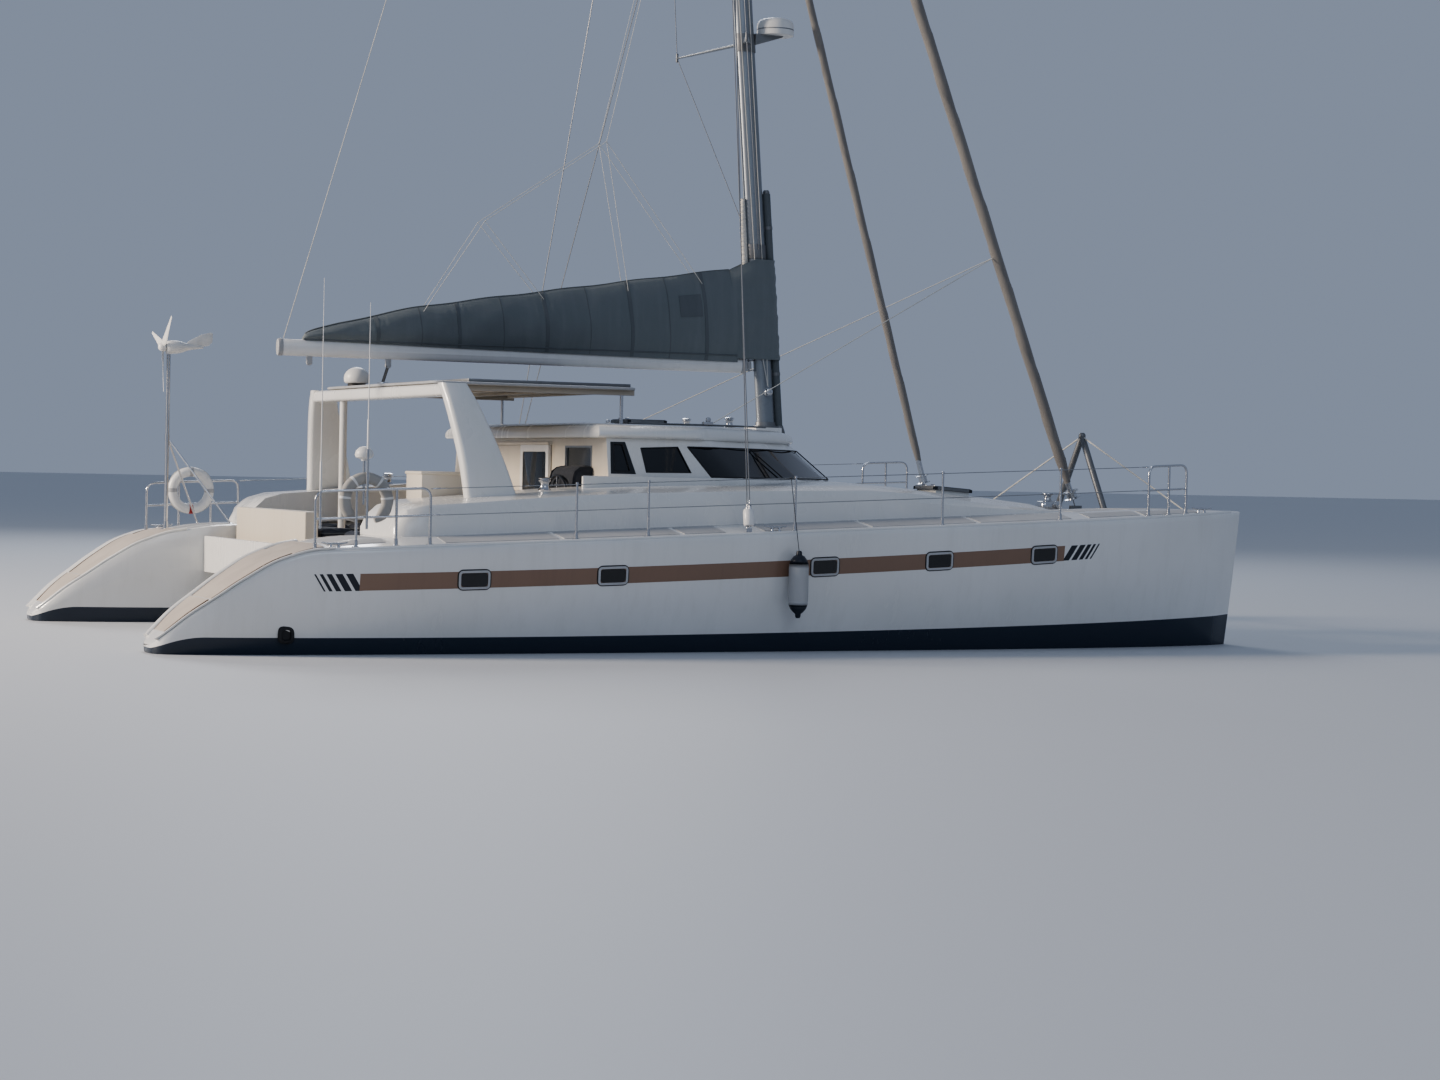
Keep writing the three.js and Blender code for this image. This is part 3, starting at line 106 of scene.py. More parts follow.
# %% [markdown]
# Most pieces of a boat are pipes, lofts, turned shapes and plates. A few small makers
# return vertices and faces, and one class gathers them into a finished mesh. Meshes from
# plain numbers were chosen because every size then has a name and can be changed.

# %% Makers of plain shapes
LENGTH = 13.4


def at(station):
    """Stations count forward from the stern tips; X counts from amidships."""
    return station - LENGTH / 2


def mix(a, b, t):
    return a + (b - a) * t


def unit(v):
    v = np.asarray(v, float)
    return v / np.linalg.norm(v)


def circle(steps):
    """Angles in equal steps once round a circle."""
    return np.arange(steps) * 2 * math.pi / steps


def loft(rings, caps=True):
    """A skin over rings with equal numbers of points."""
    count = len(rings[0])
    verts = [tuple(p) for ring in rings for p in ring]
    faces = []
    for r in range(len(rings) - 1):
        for i in range(count):
            a, b = r * count + i, r * count + (i + 1) % count
            faces.append((a, b, b + count, a + count))
    if caps:
        faces.append(tuple(range(count))[::-1])
        faces.append(tuple(range((len(rings) - 1) * count, len(rings) * count)))
    return verts, faces


def tube(points, radius, sides=10, flat=1.0):
    """A pipe along points. The radius may be one number or one for each point."""
    path = np.asarray(points, float)
    radii = np.broadcast_to(np.asarray(radius, float), (len(path),))
    steps = np.diff(path, axis=0)
    steps /= np.linalg.norm(steps, axis=1)[:, None]
    tangents = np.vstack([steps[:1], steps[:-1] + steps[1:], steps[-1:]])
    tangents /= np.linalg.norm(tangents, axis=1)[:, None]
    first = np.cross(tangents[0], (0, 0, 1))
    if np.linalg.norm(first) < 0.1:
        first = np.cross(tangents[0], (0, 1, 0))
    side = unit(first)
    rings = []
    for point, tangent, r in zip(path, tangents, radii):
        side = unit(side - tangent * side.dot(tangent))
        lift = np.cross(tangent, side)
        rings.append([point + r * (math.cos(a) * side + flat * math.sin(a) * lift) for a in circle(sides)])
    return loft(rings)


def turned(profile, place, axis=(0, 0, 1), sides=28):
    """A shape turned about an axis, from a profile of (radius, height)."""
    axis = unit(axis)
    side = unit(np.cross(axis, (1, 0, 0) if abs(axis[0]) < 0.9 else (0, 1, 0)))
    lift = np.cross(axis, side)
    rings = []
    for r, h in profile:
        middle = np.asarray(place, float) + axis * h
        rings.append([middle + max(r, 1e-4) * (math.cos(a) * side + math.sin(a) * lift)
                      for a in circle(sides)])
    return loft(rings)


def block(low, high):
    """A box from its lowest to its highest corner."""
    corners = [(x, y, z) for z in (low[2], high[2]) for x, y in
               ((low[0], low[1]), (high[0], low[1]), (high[0], high[1]), (low[0], high[1]))]
    faces = [(3, 2, 1, 0), (4, 5, 6, 7), (0, 1, 5, 4), (1, 2, 6, 5), (2, 3, 7, 6), (3, 0, 4, 7)]
    return corners, faces


def plate(outline, low, high, across="y"):
    """A flat outline given a thickness: across the boat from [x, z], or upward from [x, y]."""
    if across == "y":
        rings = [[(x, level, z) for x, z in outline] for level in (low, high)]
    else:
        rings = [[(x, y, level) for x, y in outline] for level in (low, high)]
    return loft(rings)


def moved(part, matrix):
    """A part turned and moved by a matrix."""
    return [tuple(matrix @ Vector(v)) for v in part[0]], part[1]


def mirrored(part):
    """A part on the other side of the boat."""
    return [(x, -y, z) for x, y, z in part[0]], [f[::-1] for f in part[1]]


def without_caps(part):
    """A lofted part without the two faces that close its ends."""
    return part[0], [f for f in part[1] if len(f) == 4]


def rounded(points, radius, steps=5):
    """A path of points with each corner replaced by a short curve."""
    path = [np.asarray(p, float) for p in points]
    out = [path[0]]
    for before, corner, after in zip(path, path[1:], path[2:]):
        reach = min(radius, np.linalg.norm(before - corner) / 2.1, np.linalg.norm(after - corner) / 2.1)
        a, b = corner + unit(before - corner) * reach, corner + unit(after - corner) * reach
        for t in np.linspace(0, 1, steps + 1):
            out.append((1 - t) ** 2 * a + 2 * t * (1 - t) * corner + t * t * b)
    return out + [path[-1]]


def smooth_line(points, per_span=4):
    """A smooth line through points."""
    p = [np.asarray(q, float) for q in points]
    p = [2 * p[0] - p[1], *p, 2 * p[-1] - p[-2]]
    out = []
    for a, b, c, d in zip(p, p[1:], p[2:], p[3:]):
        for t in np.linspace(0, 1, per_span, endpoint=False):
            out.append(0.5 * (2 * b + (c - a) * t + (2 * a - 5 * b + 4 * c - d) * t * t
                              + (3 * b - a - 3 * c + d) * t ** 3))
    return out + [p[-2]]


print("length of the hulls:", LENGTH, "m")

# %% [markdown]
# A part becomes a piece of the scene in one step: its points are merged, its faces are
# turned outwards, sharp edges get a small radius where one is asked for, and it is given
# its finishes. The piece then rides on its body and takes the place of the solids it dresses.

# %% From parts to pieces
def dress_mesh(mesh, sharp):
    """Smooth shading, except on edges that fold by more than an angle in degrees."""
    mesh.polygons.foreach_set("use_smooth", [True] * len(mesh.polygons))
    mesh.set_sharp_from_angle(angle=math.radians(sharp))
    mesh.update()


def set_on_boat(name, mesh, body, replaces=()):
    """An object for a mesh, which moves with a body and may stand for solids."""
    piece = in_scene(name, mesh)
    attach(piece, body)
    if replaces:
        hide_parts(*replaces)
    return piece


class Shape:
    """Parts gathered into one mesh; each part has the number of its finish."""

    def __init__(self):
        self.verts, self.faces, self.finishes = [], [], []

    def add(self, part, finish=0):
        base = len(self.verts)
        self.verts += [tuple(map(float, v)) for v in part[0]]
        self.faces += [tuple(i + base for i in face) for face in part[1]]
        self.finishes += [finish] * len(part[1])
        return self

    def mesh(self, name, finishes, sharp=35, bevel=0.0):
        mesh = bpy.data.meshes.new(name)
        mesh.from_pydata(self.verts, [], self.faces)
        mesh.polygons.foreach_set("material_index", self.finishes)
        tool = bmesh.new()
        tool.from_mesh(mesh)
        bmesh.ops.remove_doubles(tool, verts=tool.verts, dist=1e-5)
        bmesh.ops.recalc_face_normals(tool, faces=tool.faces)
        if bevel:
            round_edges(tool, bevel, sharp)
        tool.to_mesh(mesh)
        tool.free()
        for finish in finishes:
            mesh.materials.append(finish)
        dress_mesh(mesh, sharp)
        return mesh

    def make(self, name, finishes, body="boat", sharp=35, bevel=0.0, replaces=(), slot=None):
        mesh = self.mesh(name, finishes, sharp, bevel)
        return set_on_boat(name, mesh, body, replaces)


def round_edges(tool, width, sharp, segments=2):
    """Rounds each edge that folds by more than an angle in degrees."""
    edges = [e for e in tool.edges if len(e.link_faces) == 2 and e.calc_face_angle(0) > math.radians(sharp)]
    bmesh.ops.bevel(tool, geom=edges, offset=width, offset_type="OFFSET", segments=segments,
                    profile=0.5, affect="EDGES", clamp_overlap=True)


def refined(node, finish, body="boat", bevel=0.006, sharp=30):
    """A merged copy of a solid with its edges rounded, which then stands for the solid."""
    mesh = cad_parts[node].data.copy()
    mesh.name = node + "_skin"
    tool = bmesh.new()
    tool.from_mesh(mesh)
    bmesh.ops.remove_doubles(tool, verts=tool.verts, dist=2e-5)
    bmesh.ops.dissolve_limit(tool, angle_limit=math.radians(0.6), verts=tool.verts, edges=tool.edges)
    if bevel:
        round_edges(tool, bevel, sharp)
    tool.to_mesh(mesh)
    tool.free()
    mesh.materials.clear()
    mesh.materials.append(finish)
    dress_mesh(mesh, sharp)
    piece = set_on_boat(node + "_skin", mesh, body, (node,))
    even = piece.modifiers.new("even shading", "WEIGHTED_NORMAL")
    even.keep_sharp = True
    return piece


print("solids to dress:", len(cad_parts))

# %% [markdown]
# Two small node trees make what repeats. One puts a copy of a small piece on each point
# of a mesh, turned as the point says. The other sweeps a round section along the edges of
# a mesh, which gives wires, gaskets and lacing. Both end in plain meshes.

# %% Geometry node trees
def node_in(tree, kind, inputs=None, **settings):
    """A node with its settings, whose inputs are linked or set by name."""
    made = tree.nodes.new(kind)
    for key, value in settings.items():
        setattr(made, key, value)
    for key, value in (inputs or {}).items():
        if isinstance(value, bpy.types.NodeSocket):
            tree.links.new(value, made.inputs[key])
        else:
            made.inputs[key].default_value = value
    return made


def new_tree(name, sockets):
    tree = bpy.data.node_groups.new(name, "GeometryNodeTree")
    tree.interface.new_socket("Geometry", in_out="OUTPUT", socket_type="NodeSocketGeometry")
    tree.interface.new_socket("Geometry", in_out="INPUT", socket_type="NodeSocketGeometry")
    for label, kind in sockets:
        tree.interface.new_socket(label, in_out="INPUT", socket_type=kind)
    return tree, node_in(tree, "NodeGroupInput").outputs


def close_tree(tree, geometry, finish):
    painted = node_in(tree, "GeometryNodeSetMaterial", {"Geometry": geometry, "Material": finish})
    plain = node_in(tree, "GeometryNodeRealizeInstances", {"Geometry": painted.outputs[0]})
    tree.links.new(plain.outputs[0], node_in(tree, "NodeGroupOutput").inputs[0])


def build_repeat_tree():
    tree, given = new_tree("copies on points",
                           [("Unit", "NodeSocketObject"), ("Finish", "NodeSocketMaterial")])
    unit_piece = node_in(tree, "GeometryNodeObjectInfo", {"Object": given["Unit"]})
    turn = node_in(tree, "GeometryNodeInputNamedAttribute", {"Name": "turn"}, data_type="FLOAT_VECTOR")
    size = node_in(tree, "GeometryNodeInputNamedAttribute", {"Name": "size"}, data_type="FLOAT_VECTOR")
    copies = node_in(tree, "GeometryNodeInstanceOnPoints", {
        "Points": given["Geometry"], "Instance": unit_piece.outputs["Geometry"],
        "Rotation": turn.outputs["Attribute"], "Scale": size.outputs["Attribute"],
    })
    close_tree(tree, copies.outputs[0], given["Finish"])
    return tree


def build_sweep_tree():
    tree, given = new_tree("round section along edges", [
        ("Radius", "NodeSocketFloat"), ("Sides", "NodeSocketInt"), ("Finish", "NodeSocketMaterial"),
    ])
    path = node_in(tree, "GeometryNodeMeshToCurve", {"Mesh": given["Geometry"]})
    section = node_in(tree, "GeometryNodeCurvePrimitiveCircle",
                      {"Resolution": given["Sides"], "Radius": given["Radius"]})
    swept = node_in(tree, "GeometryNodeCurveToMesh", {
        "Curve": path.outputs[0], "Profile Curve": section.outputs[0], "Fill Caps": True,
    })
    close_tree(tree, swept.outputs[0], given["Finish"])
    return tree


REPEAT = build_repeat_tree()
SWEEP = build_sweep_tree()


def plain_mesh(piece):
    """The mesh of a piece after its modifiers; the piece itself is removed."""
    graph = bpy.context.evaluated_depsgraph_get()
    mesh = bpy.data.meshes.new_from_object(piece.evaluated_get(graph), depsgraph=graph)
    bpy.data.objects.remove(piece)
    return mesh


def run_tree(name, mesh, tree, values, sharp=35):
    """Runs a tree on a mesh and keeps the result as a plain mesh on the boat."""
    piece = in_scene(name, mesh)
    modifier = piece.modifiers.new("nodes", "NODES")
    modifier.node_group = tree
    for socket in tree.interface.items_tree:
        if socket.in_out == "INPUT" and socket.name in values:
            modifier[socket.identifier] = values[socket.name]
    result = plain_mesh(piece)
    result.name = name
    dress_mesh(result, sharp)
    return set_on_boat(name, result, "boat")


def repeat(name, part, places, finish, sharp=35):
    """Copies of a part. A place is (point, direction of X, direction of Z, size)."""
    unit_mesh = Shape().add(part).mesh(name + "_unit", [finish], sharp)
    unit_piece = in_scene(name + "_unit", unit_mesh)
    points = bpy.data.meshes.new(name + "_points")
    points.from_pydata([tuple(place[0]) for place in places], [], [])
    turns, sizes = [], []
    for _, along, outward, *size in places:
        z = Vector(outward).normalized()
        x = (Vector(along) - z * z.dot(Vector(along))).normalized()
        turns += list(Matrix((x, z.cross(x), z)).transposed().to_euler())
        sizes += list(size[0]) if size and hasattr(size[0], "__len__") else [size[0] if size else 1.0] * 3
    for label, values in (("turn", turns), ("size", sizes)):
        points.attributes.new(label, "FLOAT_VECTOR", "POINT").data.foreach_set("vector", values)
    made = run_tree(name, points, REPEAT, {"Unit": unit_piece, "Finish": finish}, sharp)
    bpy.data.objects.remove(unit_piece)
    return made


def sweep(name, paths, radius, finish, sides=8):
    """Round wires or strips along paths, each a list of points."""
    verts, edges = [], []
    for path in paths:
        edges += [(len(verts) + i, len(verts) + i + 1) for i in range(len(path) - 1)]
        verts += [tuple(map(float, p)) for p in path]
    lines = bpy.data.meshes.new(name + "_lines")
    lines.from_pydata(verts, edges, [])
    values = {"Radius": radius, "Sides": sides, "Finish": finish}
    return run_tree(name, lines, SWEEP, values)


print("node trees:", REPEAT.name, "and", SWEEP.name)

# %% [markdown]
# Finishes share a few effects: the soft life of gelcoat, non-skid grain, woven canvas and
# brushed metal. Each effect is a shader group with named inputs that puts out a mask and a
# height. Groups were chosen over copies because one change then reaches every material.

# %% Shader groups
def shader_group(name, inputs):
    """A group that reads a vector and named numbers, and puts out Mask and Height."""
    tree = bpy.data.node_groups.new(name, "ShaderNodeTree")
    tree.interface.new_socket("Vector", in_out="INPUT", socket_type="NodeSocketVector")
    for label, value in inputs.items():
        socket = tree.interface.new_socket(label, in_out="INPUT", socket_type="NodeSocketFloat")
        socket.default_value = value
    for label in ("Mask", "Height"):
        tree.interface.new_socket(label, in_out="OUTPUT", socket_type="NodeSocketFloat")
    return tree, node_in(tree, "NodeGroupInput").outputs


def object_axes(tree):
    """The separate X, Y and Z of the Object coordinates."""
    place = node_in(tree, "ShaderNodeTexCoord").outputs["Object"]
    return node_in(tree, "ShaderNodeSeparateXYZ", {"Vector": place}).outputs


def math_node(tree, operation, a, b=0.0, clamp=False):
    made = node_in(tree, "ShaderNodeMath", operation=operation, use_clamp=clamp)
    for i, value in enumerate((a, b)):
        if isinstance(value, bpy.types.NodeSocket):
            tree.links.new(value, made.inputs[i])
        else:
            made.inputs[i].default_value = value
    return made.outputs[0]


def zigzag(tree, value, pitch):
    """A value that climbs from 0 to a half and falls back, once in each pitch."""
    return math_node(tree, "PINGPONG", math_node(tree, "DIVIDE", value, pitch), 0.5)


def stretched(tree, vector, scale):
    made = node_in(tree, "ShaderNodeMapping", {"Vector": vector, "Scale": scale})
    return made.outputs[0]


def noise(tree, vector, scale, detail=3.0, rough=0.5):
    made = node_in(tree, "ShaderNodeTexNoise",
                   {"Vector": vector, "Scale": scale, "Detail": detail, "Roughness": rough})
    return made.outputs["Fac"]


def levels(tree, value, low, high):
    """Spreads a value so that low becomes 0 and high becomes 1."""
    made = node_in(tree, "ShaderNodeMapRange", {"Value": value, "From Min": low, "From Max": high})
    return made.outputs[0]


def group_end(tree, mask, height):
    out = node_in(tree, "NodeGroupOutput")
    tree.links.new(mask, out.inputs["Mask"])
    tree.links.new(height, out.inputs["Height"])
    return tree


def gelcoat_life():
    tree, given = shader_group("gelcoat life", {"Streaks": 0.5, "Peel": 90.0})
    clouds = levels(tree, noise(tree, given["Vector"], 0.7, 4), 0.35, 0.75)
    runs = noise(tree, stretched(tree, given["Vector"], (5.0, 5.0, 0.35)), 1.6, 6, 0.65)
    runs = levels(tree, runs, 0.5, 0.85)
    mask = math_node(tree, "ADD", math_node(tree, "MULTIPLY", clouds, 0.5),
                     math_node(tree, "MULTIPLY", runs, given["Streaks"]), clamp=True)
    return group_end(tree, mask, noise(tree, given["Vector"], given["Peel"], 2))


def nonskid_grain():
    tree, given = shader_group("nonskid grain", {"Grain": 140.0, "Dirt": 0.6})
    cells = node_in(tree, "ShaderNodeTexVoronoi", {"Vector": given["Vector"], "Scale": given["Grain"]})
    wear = levels(tree, noise(tree, given["Vector"], 2.2, 6, 0.62), 0.35, 0.8)
    mask = math_node(tree, "MULTIPLY", wear, given["Dirt"])
    height = math_node(tree, "SUBTRACT", 1.0, cells.outputs["Distance"])
    return group_end(tree, mask, height)


def canvas_weave():
    tree, given = shader_group("canvas weave", {"Threads": 260.0, "Fade": 0.7})
    waves = []
    for direction in ("X", "Z"):
        made = node_in(tree, "ShaderNodeTexWave", {"Vector": given["Vector"], "Scale": given["Threads"]},
                       bands_direction=direction)
        waves.append(made.outputs["Fac"])
    weave = math_node(tree, "MAXIMUM", *waves)
    patches = levels(tree, noise(tree, given["Vector"], 1.4, 6, 0.6), 0.3, 0.75)
    drips = noise(tree, stretched(tree, given["Vector"], (9.0, 4.0, 0.8)), 1.3, 4)
    fade = math_node(tree, "MULTIPLY", math_node(tree, "ADD", patches, levels(tree, drips, 0.45, 0.8)), 0.5)
    mask = math_node(tree, "MULTIPLY", fade, given["Fade"], clamp=True)
    creases = noise(tree, given["Vector"], 7.0, 5, 0.6)
    height = math_node(tree, "ADD", math_node(tree, "MULTIPLY", weave, 0.12), creases)
    return group_end(tree, mask, height)


def brushed_metal():
    tree, given = shader_group("brushed metal", {"Lines": 220.0, "Spots": 0.4})
    lines = noise(tree, stretched(tree, given["Vector"], (0.05, 1.0, 1.0)), given["Lines"], 3)
    spots = levels(tree, noise(tree, given["Vector"], 9.0, 6, 0.7), 0.52, 0.78)
    mask = math_node(tree, "ADD", math_node(tree, "MULTIPLY", lines, 0.35),
                     math_node(tree, "MULTIPLY", spots, given["Spots"]), clamp=True)
    return group_end(tree, mask, lines)


LIFE, GRAIN, WEAVE, BRUSHED = gelcoat_life(), nonskid_grain(), canvas_weave(), brushed_metal()
print("shader groups:", ", ".join(effect.name for effect in (LIFE, GRAIN, WEAVE, BRUSHED)))

# %% [markdown]
# A material is the same few steps each time: read Object coordinates, run one effect,
# mix two colours by its mask, let the mask move the roughness, and bump by its height.
# Plain values such as metallic or coat stay on the shader's own sockets.

# %% Materials
def finish(name, colour, second, roughness, spread, effect, bump, depth=0.001, metallic=0.0, coat=0.0,
           sheen=0.0, **values):
    """A material from one effect. Returns it with its tree kept for later additions."""
    made = bpy.data.materials.new(name)
    made.use_nodes = True
    tree = made.node_tree
    surface = tree.nodes["Principled BSDF"]
    surface.inputs["Metallic"].default_value = metallic
    surface.inputs["Coat Weight"].default_value = coat
    surface.inputs["Coat Roughness"].default_value = 0.08
    surface.inputs["Sheen Weight"].default_value = sheen
    surface.inputs["IOR"].default_value = 1.5
    place = node_in(tree, "ShaderNodeTexCoord").outputs["Object"]
    worked = node_in(tree, "ShaderNodeGroup")
    worked.node_tree = effect
    tree.links.new(place, worked.inputs["Vector"])
    for label, value in values.items():
        worked.inputs[label].default_value = value
    blend = node_in(tree, "ShaderNodeMix", {"Factor": worked.outputs["Mask"]}, data_type="RGBA")
    blend.inputs[6].default_value = (*colour, 1)
    blend.inputs[7].default_value = (*second, 1)
    tree.links.new(blend.outputs[2], surface.inputs["Base Color"])
    rough = node_in(tree, "ShaderNodeMapRange", {
        "Value": worked.outputs["Mask"], "To Min": roughness, "To Max": min(1.0, roughness + spread),
    })
    tree.links.new(rough.outputs[0], surface.inputs["Roughness"])
    relief = node_in(tree, "ShaderNodeBump", {
        "Height": worked.outputs["Height"], "Strength": bump, "Distance": depth,
    })
    tree.links.new(relief.outputs[0], surface.inputs["Normal"])
    return made


GELCOAT = finish("white gelcoat", (0.80, 0.80, 0.78), (0.70, 0.70, 0.66), 0.22, 0.2, LIFE, 0.12, coat=0.4)
# Cream is the seats' own colour; on the house's aft wall it is painted warm sunlight.
CREAM_AND_SUNLIT = finish("cream moulding", (0.72, 0.66, 0.56), (0.60, 0.54, 0.45), 0.35, 0.2, LIFE, 0.15, coat=0.2)
NONSKID = finish("beige nonskid", (0.50, 0.45, 0.40), (0.34, 0.305, 0.27), 0.75, 0.15, GRAIN, 0.5)
# This non-skid grey is darkened as painted shade, so the side decks stay dark when seen almost edge on.
SHADED_NONSKID = finish("nonskid in painted shade", (0.46, 0.47, 0.48), (0.36, 0.37, 0.375), 0.7, 0.15, GRAIN, 0.5)
SAILCLOTH = finish("white sailcloth", (0.72, 0.69, 0.62), (0.55, 0.52, 0.46), 0.75, 0.15, WEAVE, 0.3)
# The hood's near-black is navy canvas darkened further as painted shade under the hard top.
SHADED_HOOD_CANVAS = finish("dark blue canvas", (0.016, 0.021, 0.032), (0.034, 0.040, 0.050), 0.8, 0.15, WEAVE, 0.5,
                     depth=0.004, sheen=0.1)
# The hard top's dark beige underside is painted shade.
TOP_UNDERSIDE_SHADE = finish("hard top underside in painted shade", (0.40, 0.36, 0.30), (0.30, 0.27, 0.22), 0.6, 0.2, LIFE, 0.1)
DARK_SEAM = finish("brown deck seam", (0.075, 0.045, 0.030), (0.12, 0.09, 0.07), 0.6, 0.25, GRAIN, 0.2)
TAN_STRIPE = finish("tan stripe", (0.27, 0.170, 0.118), (0.22, 0.14, 0.10), 0.3, 0.2, LIFE, 0.08, coat=0.3)
NAVY_VINYL = finish("navy vinyl bars", (0.012, 0.018, 0.03), (0.03, 0.035, 0.045), 0.3, 0.2, LIFE, 0.05)
ANTIFOUL = finish("antifouling", (0.010, 0.016, 0.032), (0.03, 0.035, 0.04), 0.7, 0.25, GRAIN, 0.25,
                  Grain=60.0)
DARK_ACRYLIC = finish("dark acrylic", (0.010, 0.013, 0.017), (0.02, 0.024, 0.028), 0.06, 0.12, LIFE, 0.03,
                      coat=0.3)
RUBBER = finish("black rubber", (0.014, 0.014, 0.016), (0.05, 0.05, 0.05), 0.6, 0.25, GRAIN, 0.1)
STAINLESS = finish("stainless steel", (0.62, 0.63, 0.65), (0.40, 0.40, 0.40), 0.16, 0.3, BRUSHED, 0.05,
                   metallic=1.0)
MAST_ALLOY = finish("grey anodised alloy", (0.30, 0.33, 0.36), (0.20, 0.215, 0.23), 0.34, 0.3, BRUSHED, 0.08,
                    metallic=0.7)
BOOM_PAINT = finish("white painted alloy", (0.80, 0.80, 0.79), (0.66, 0.66, 0.64), 0.32, 0.25, LIFE, 0.08,
                    coat=0.2)
CAST_ALLOY = finish("cast alloy", (0.25, 0.26, 0.27), (0.14, 0.14, 0.14), 0.45, 0.3, BRUSHED, 0.2,
                    metallic=0.8)
BRONZE = finish("propeller bronze", (0.42, 0.24, 0.09), (0.16, 0.13, 0.08), 0.35, 0.35, BRUSHED, 0.2,
                metallic=0.9, Spots=0.8)
CANVAS = finish("charcoal canvas", (0.155, 0.180, 0.190), (0.220, 0.245, 0.252), 0.82, 0.15, WEAVE, 0.7,
                depth=0.006, sheen=0.15)
CANVAS_TRIM = finish("canvas webbing", (0.115, 0.132, 0.142), (0.17, 0.19, 0.20), 0.75, 0.2, WEAVE, 0.4,
                     Threads=400.0)
BUOY_CLOTH = finish("grey buoy cover", (0.42, 0.41, 0.385), (0.28, 0.27, 0.25), 0.8, 0.15, WEAVE, 0.6,
                    depth=0.004, sheen=0.2)
NAVY_SEAT = finish("navy upholstery", (0.018, 0.024, 0.038), (0.045, 0.05, 0.06), 0.5, 0.25, WEAVE, 0.4,
                   Threads=500.0)
PLASTIC = finish("white plastic", (0.78, 0.78, 0.77), (0.62, 0.61, 0.57), 0.3, 0.25, LIFE, 0.1)
# Grey plastic is the own colour of the boom's caps, blocks and buoy bands; on the hard top it is painted
# shade.
GREY_PLASTIC_AND_SHADE = finish("grey plastic", (0.42, 0.43, 0.44), (0.30, 0.30, 0.30), 0.4, 0.25, LIFE, 0.1)
FENDER_VINYL = finish("grey white vinyl", (0.50, 0.51, 0.52), (0.38, 0.38, 0.37), 0.45, 0.25, LIFE, 0.15)
ROPE = finish("white rope", (0.66, 0.65, 0.60), (0.42, 0.40, 0.36), 0.85, 0.1, WEAVE, 0.6, Threads=700.0)
DARK_ROPE = finish("dark rope", (0.06, 0.07, 0.085), (0.13, 0.13, 0.13), 0.85, 0.1, WEAVE, 0.6,
                   Threads=700.0)
WIRE = finish("rigging wire", (0.34, 0.35, 0.36), (0.22, 0.22, 0.22), 0.3, 0.3, BRUSHED, 0.2, metallic=0.9,
              Lines=900.0)
RED_PAINT = finish("red trim", (0.36, 0.03, 0.025), (0.22, 0.03, 0.02), 0.45, 0.3, LIFE, 0.1)


def link_colour(material, colour_socket):
    """Feeds a colour to the material's surface in place of the plain mix."""
    tree = material.node_tree
    tree.links.new(colour_socket, tree.nodes["Principled BSDF"].inputs["Base Color"])


def colour_socket_of(material):
    return material.node_tree.nodes["Principled BSDF"].inputs["Base Color"].links[0].from_socket


def colour_mix(tree, factor, a, b):
    """A colour mix; a and b are sockets or plain colours."""
    made = node_in(tree, "ShaderNodeMix", {"Factor": factor}, data_type="RGBA")
    for index, value in ((6, a), (7, b)):
        if isinstance(value, bpy.types.NodeSocket):
            tree.links.new(value, made.inputs[index])
        else:
            made.inputs[index].default_value = (*value, 1)
    return made.outputs[2]


print("finishes so far:", len(bpy.data.materials))

# %% [markdown]
# The hull's paint changes at the boot stripe, whose top climbs towards the bows. A
# comparison of the height with a curve of X gives a crisp edge at any distance, so the
# stripe is in the material and needs no extra geometry.

# %% Hull paint
BOOT_AFT = 0.18
BOOT_SLOPE = -0.00425
BOOT_CURVE = 0.001533
BOOT_START = 0.7
BOOT_TIP, BOOT_DROP = 0.50, 0.5


def hull_paint():
    made = finish("hull gelcoat", (0.80, 0.80, 0.785), (0.68, 0.675, 0.64), 0.16, 0.22, LIFE, 0.08, coat=0.6,
                  Streaks=0.45)
    tree = made.node_tree
    axes = object_axes(tree)
    along = math_node(tree, "SUBTRACT", axes["X"], at(BOOT_START))
    curve = math_node(tree, "MULTIPLY", math_node(tree, "MULTIPLY", along, along), BOOT_CURVE)
    line = math_node(tree, "ADD", math_node(tree, "MULTIPLY", along, BOOT_SLOPE), curve)
    tip = math_node(tree, "SUBTRACT", at(BOOT_TIP), axes["X"], clamp=True)
    line = math_node(tree, "SUBTRACT", line,
                     math_node(tree, "MULTIPLY", math_node(tree, "MULTIPLY", tip, tip), BOOT_DROP))
    above = math_node(tree, "SUBTRACT", axes["Z"], math_node(tree, "ADD", line, BOOT_AFT))
    boot = levels(tree, above, 0.001, -0.001)
    link_colour(made, colour_mix(tree, boot, colour_socket_of(made), (0.022, 0.033, 0.052)))
    gloss = math_node(tree, "MULTIPLY", math_node(tree, "SUBTRACT", 1.0, boot), 0.6)
    tree.links.new(gloss, tree.nodes["Principled BSDF"].inputs["Coat Weight"])
    return made


HULL_PAINT = hull_paint()
print("top of the boot stripe at the stern:", BOOT_AFT, "m")

# %% [markdown]
# A catamaran's hull is a slim lofted skin. The table has the same sections as the solids,
# and a smooth curve is laid through each column, so the long lines flow where the solid
# has flats. The gunwale and the inner deck edge get a small radius.

# %% Hull skins
HULL_CENTRE = 2.95
BRIDGE_UNDERSIDE = 0.62
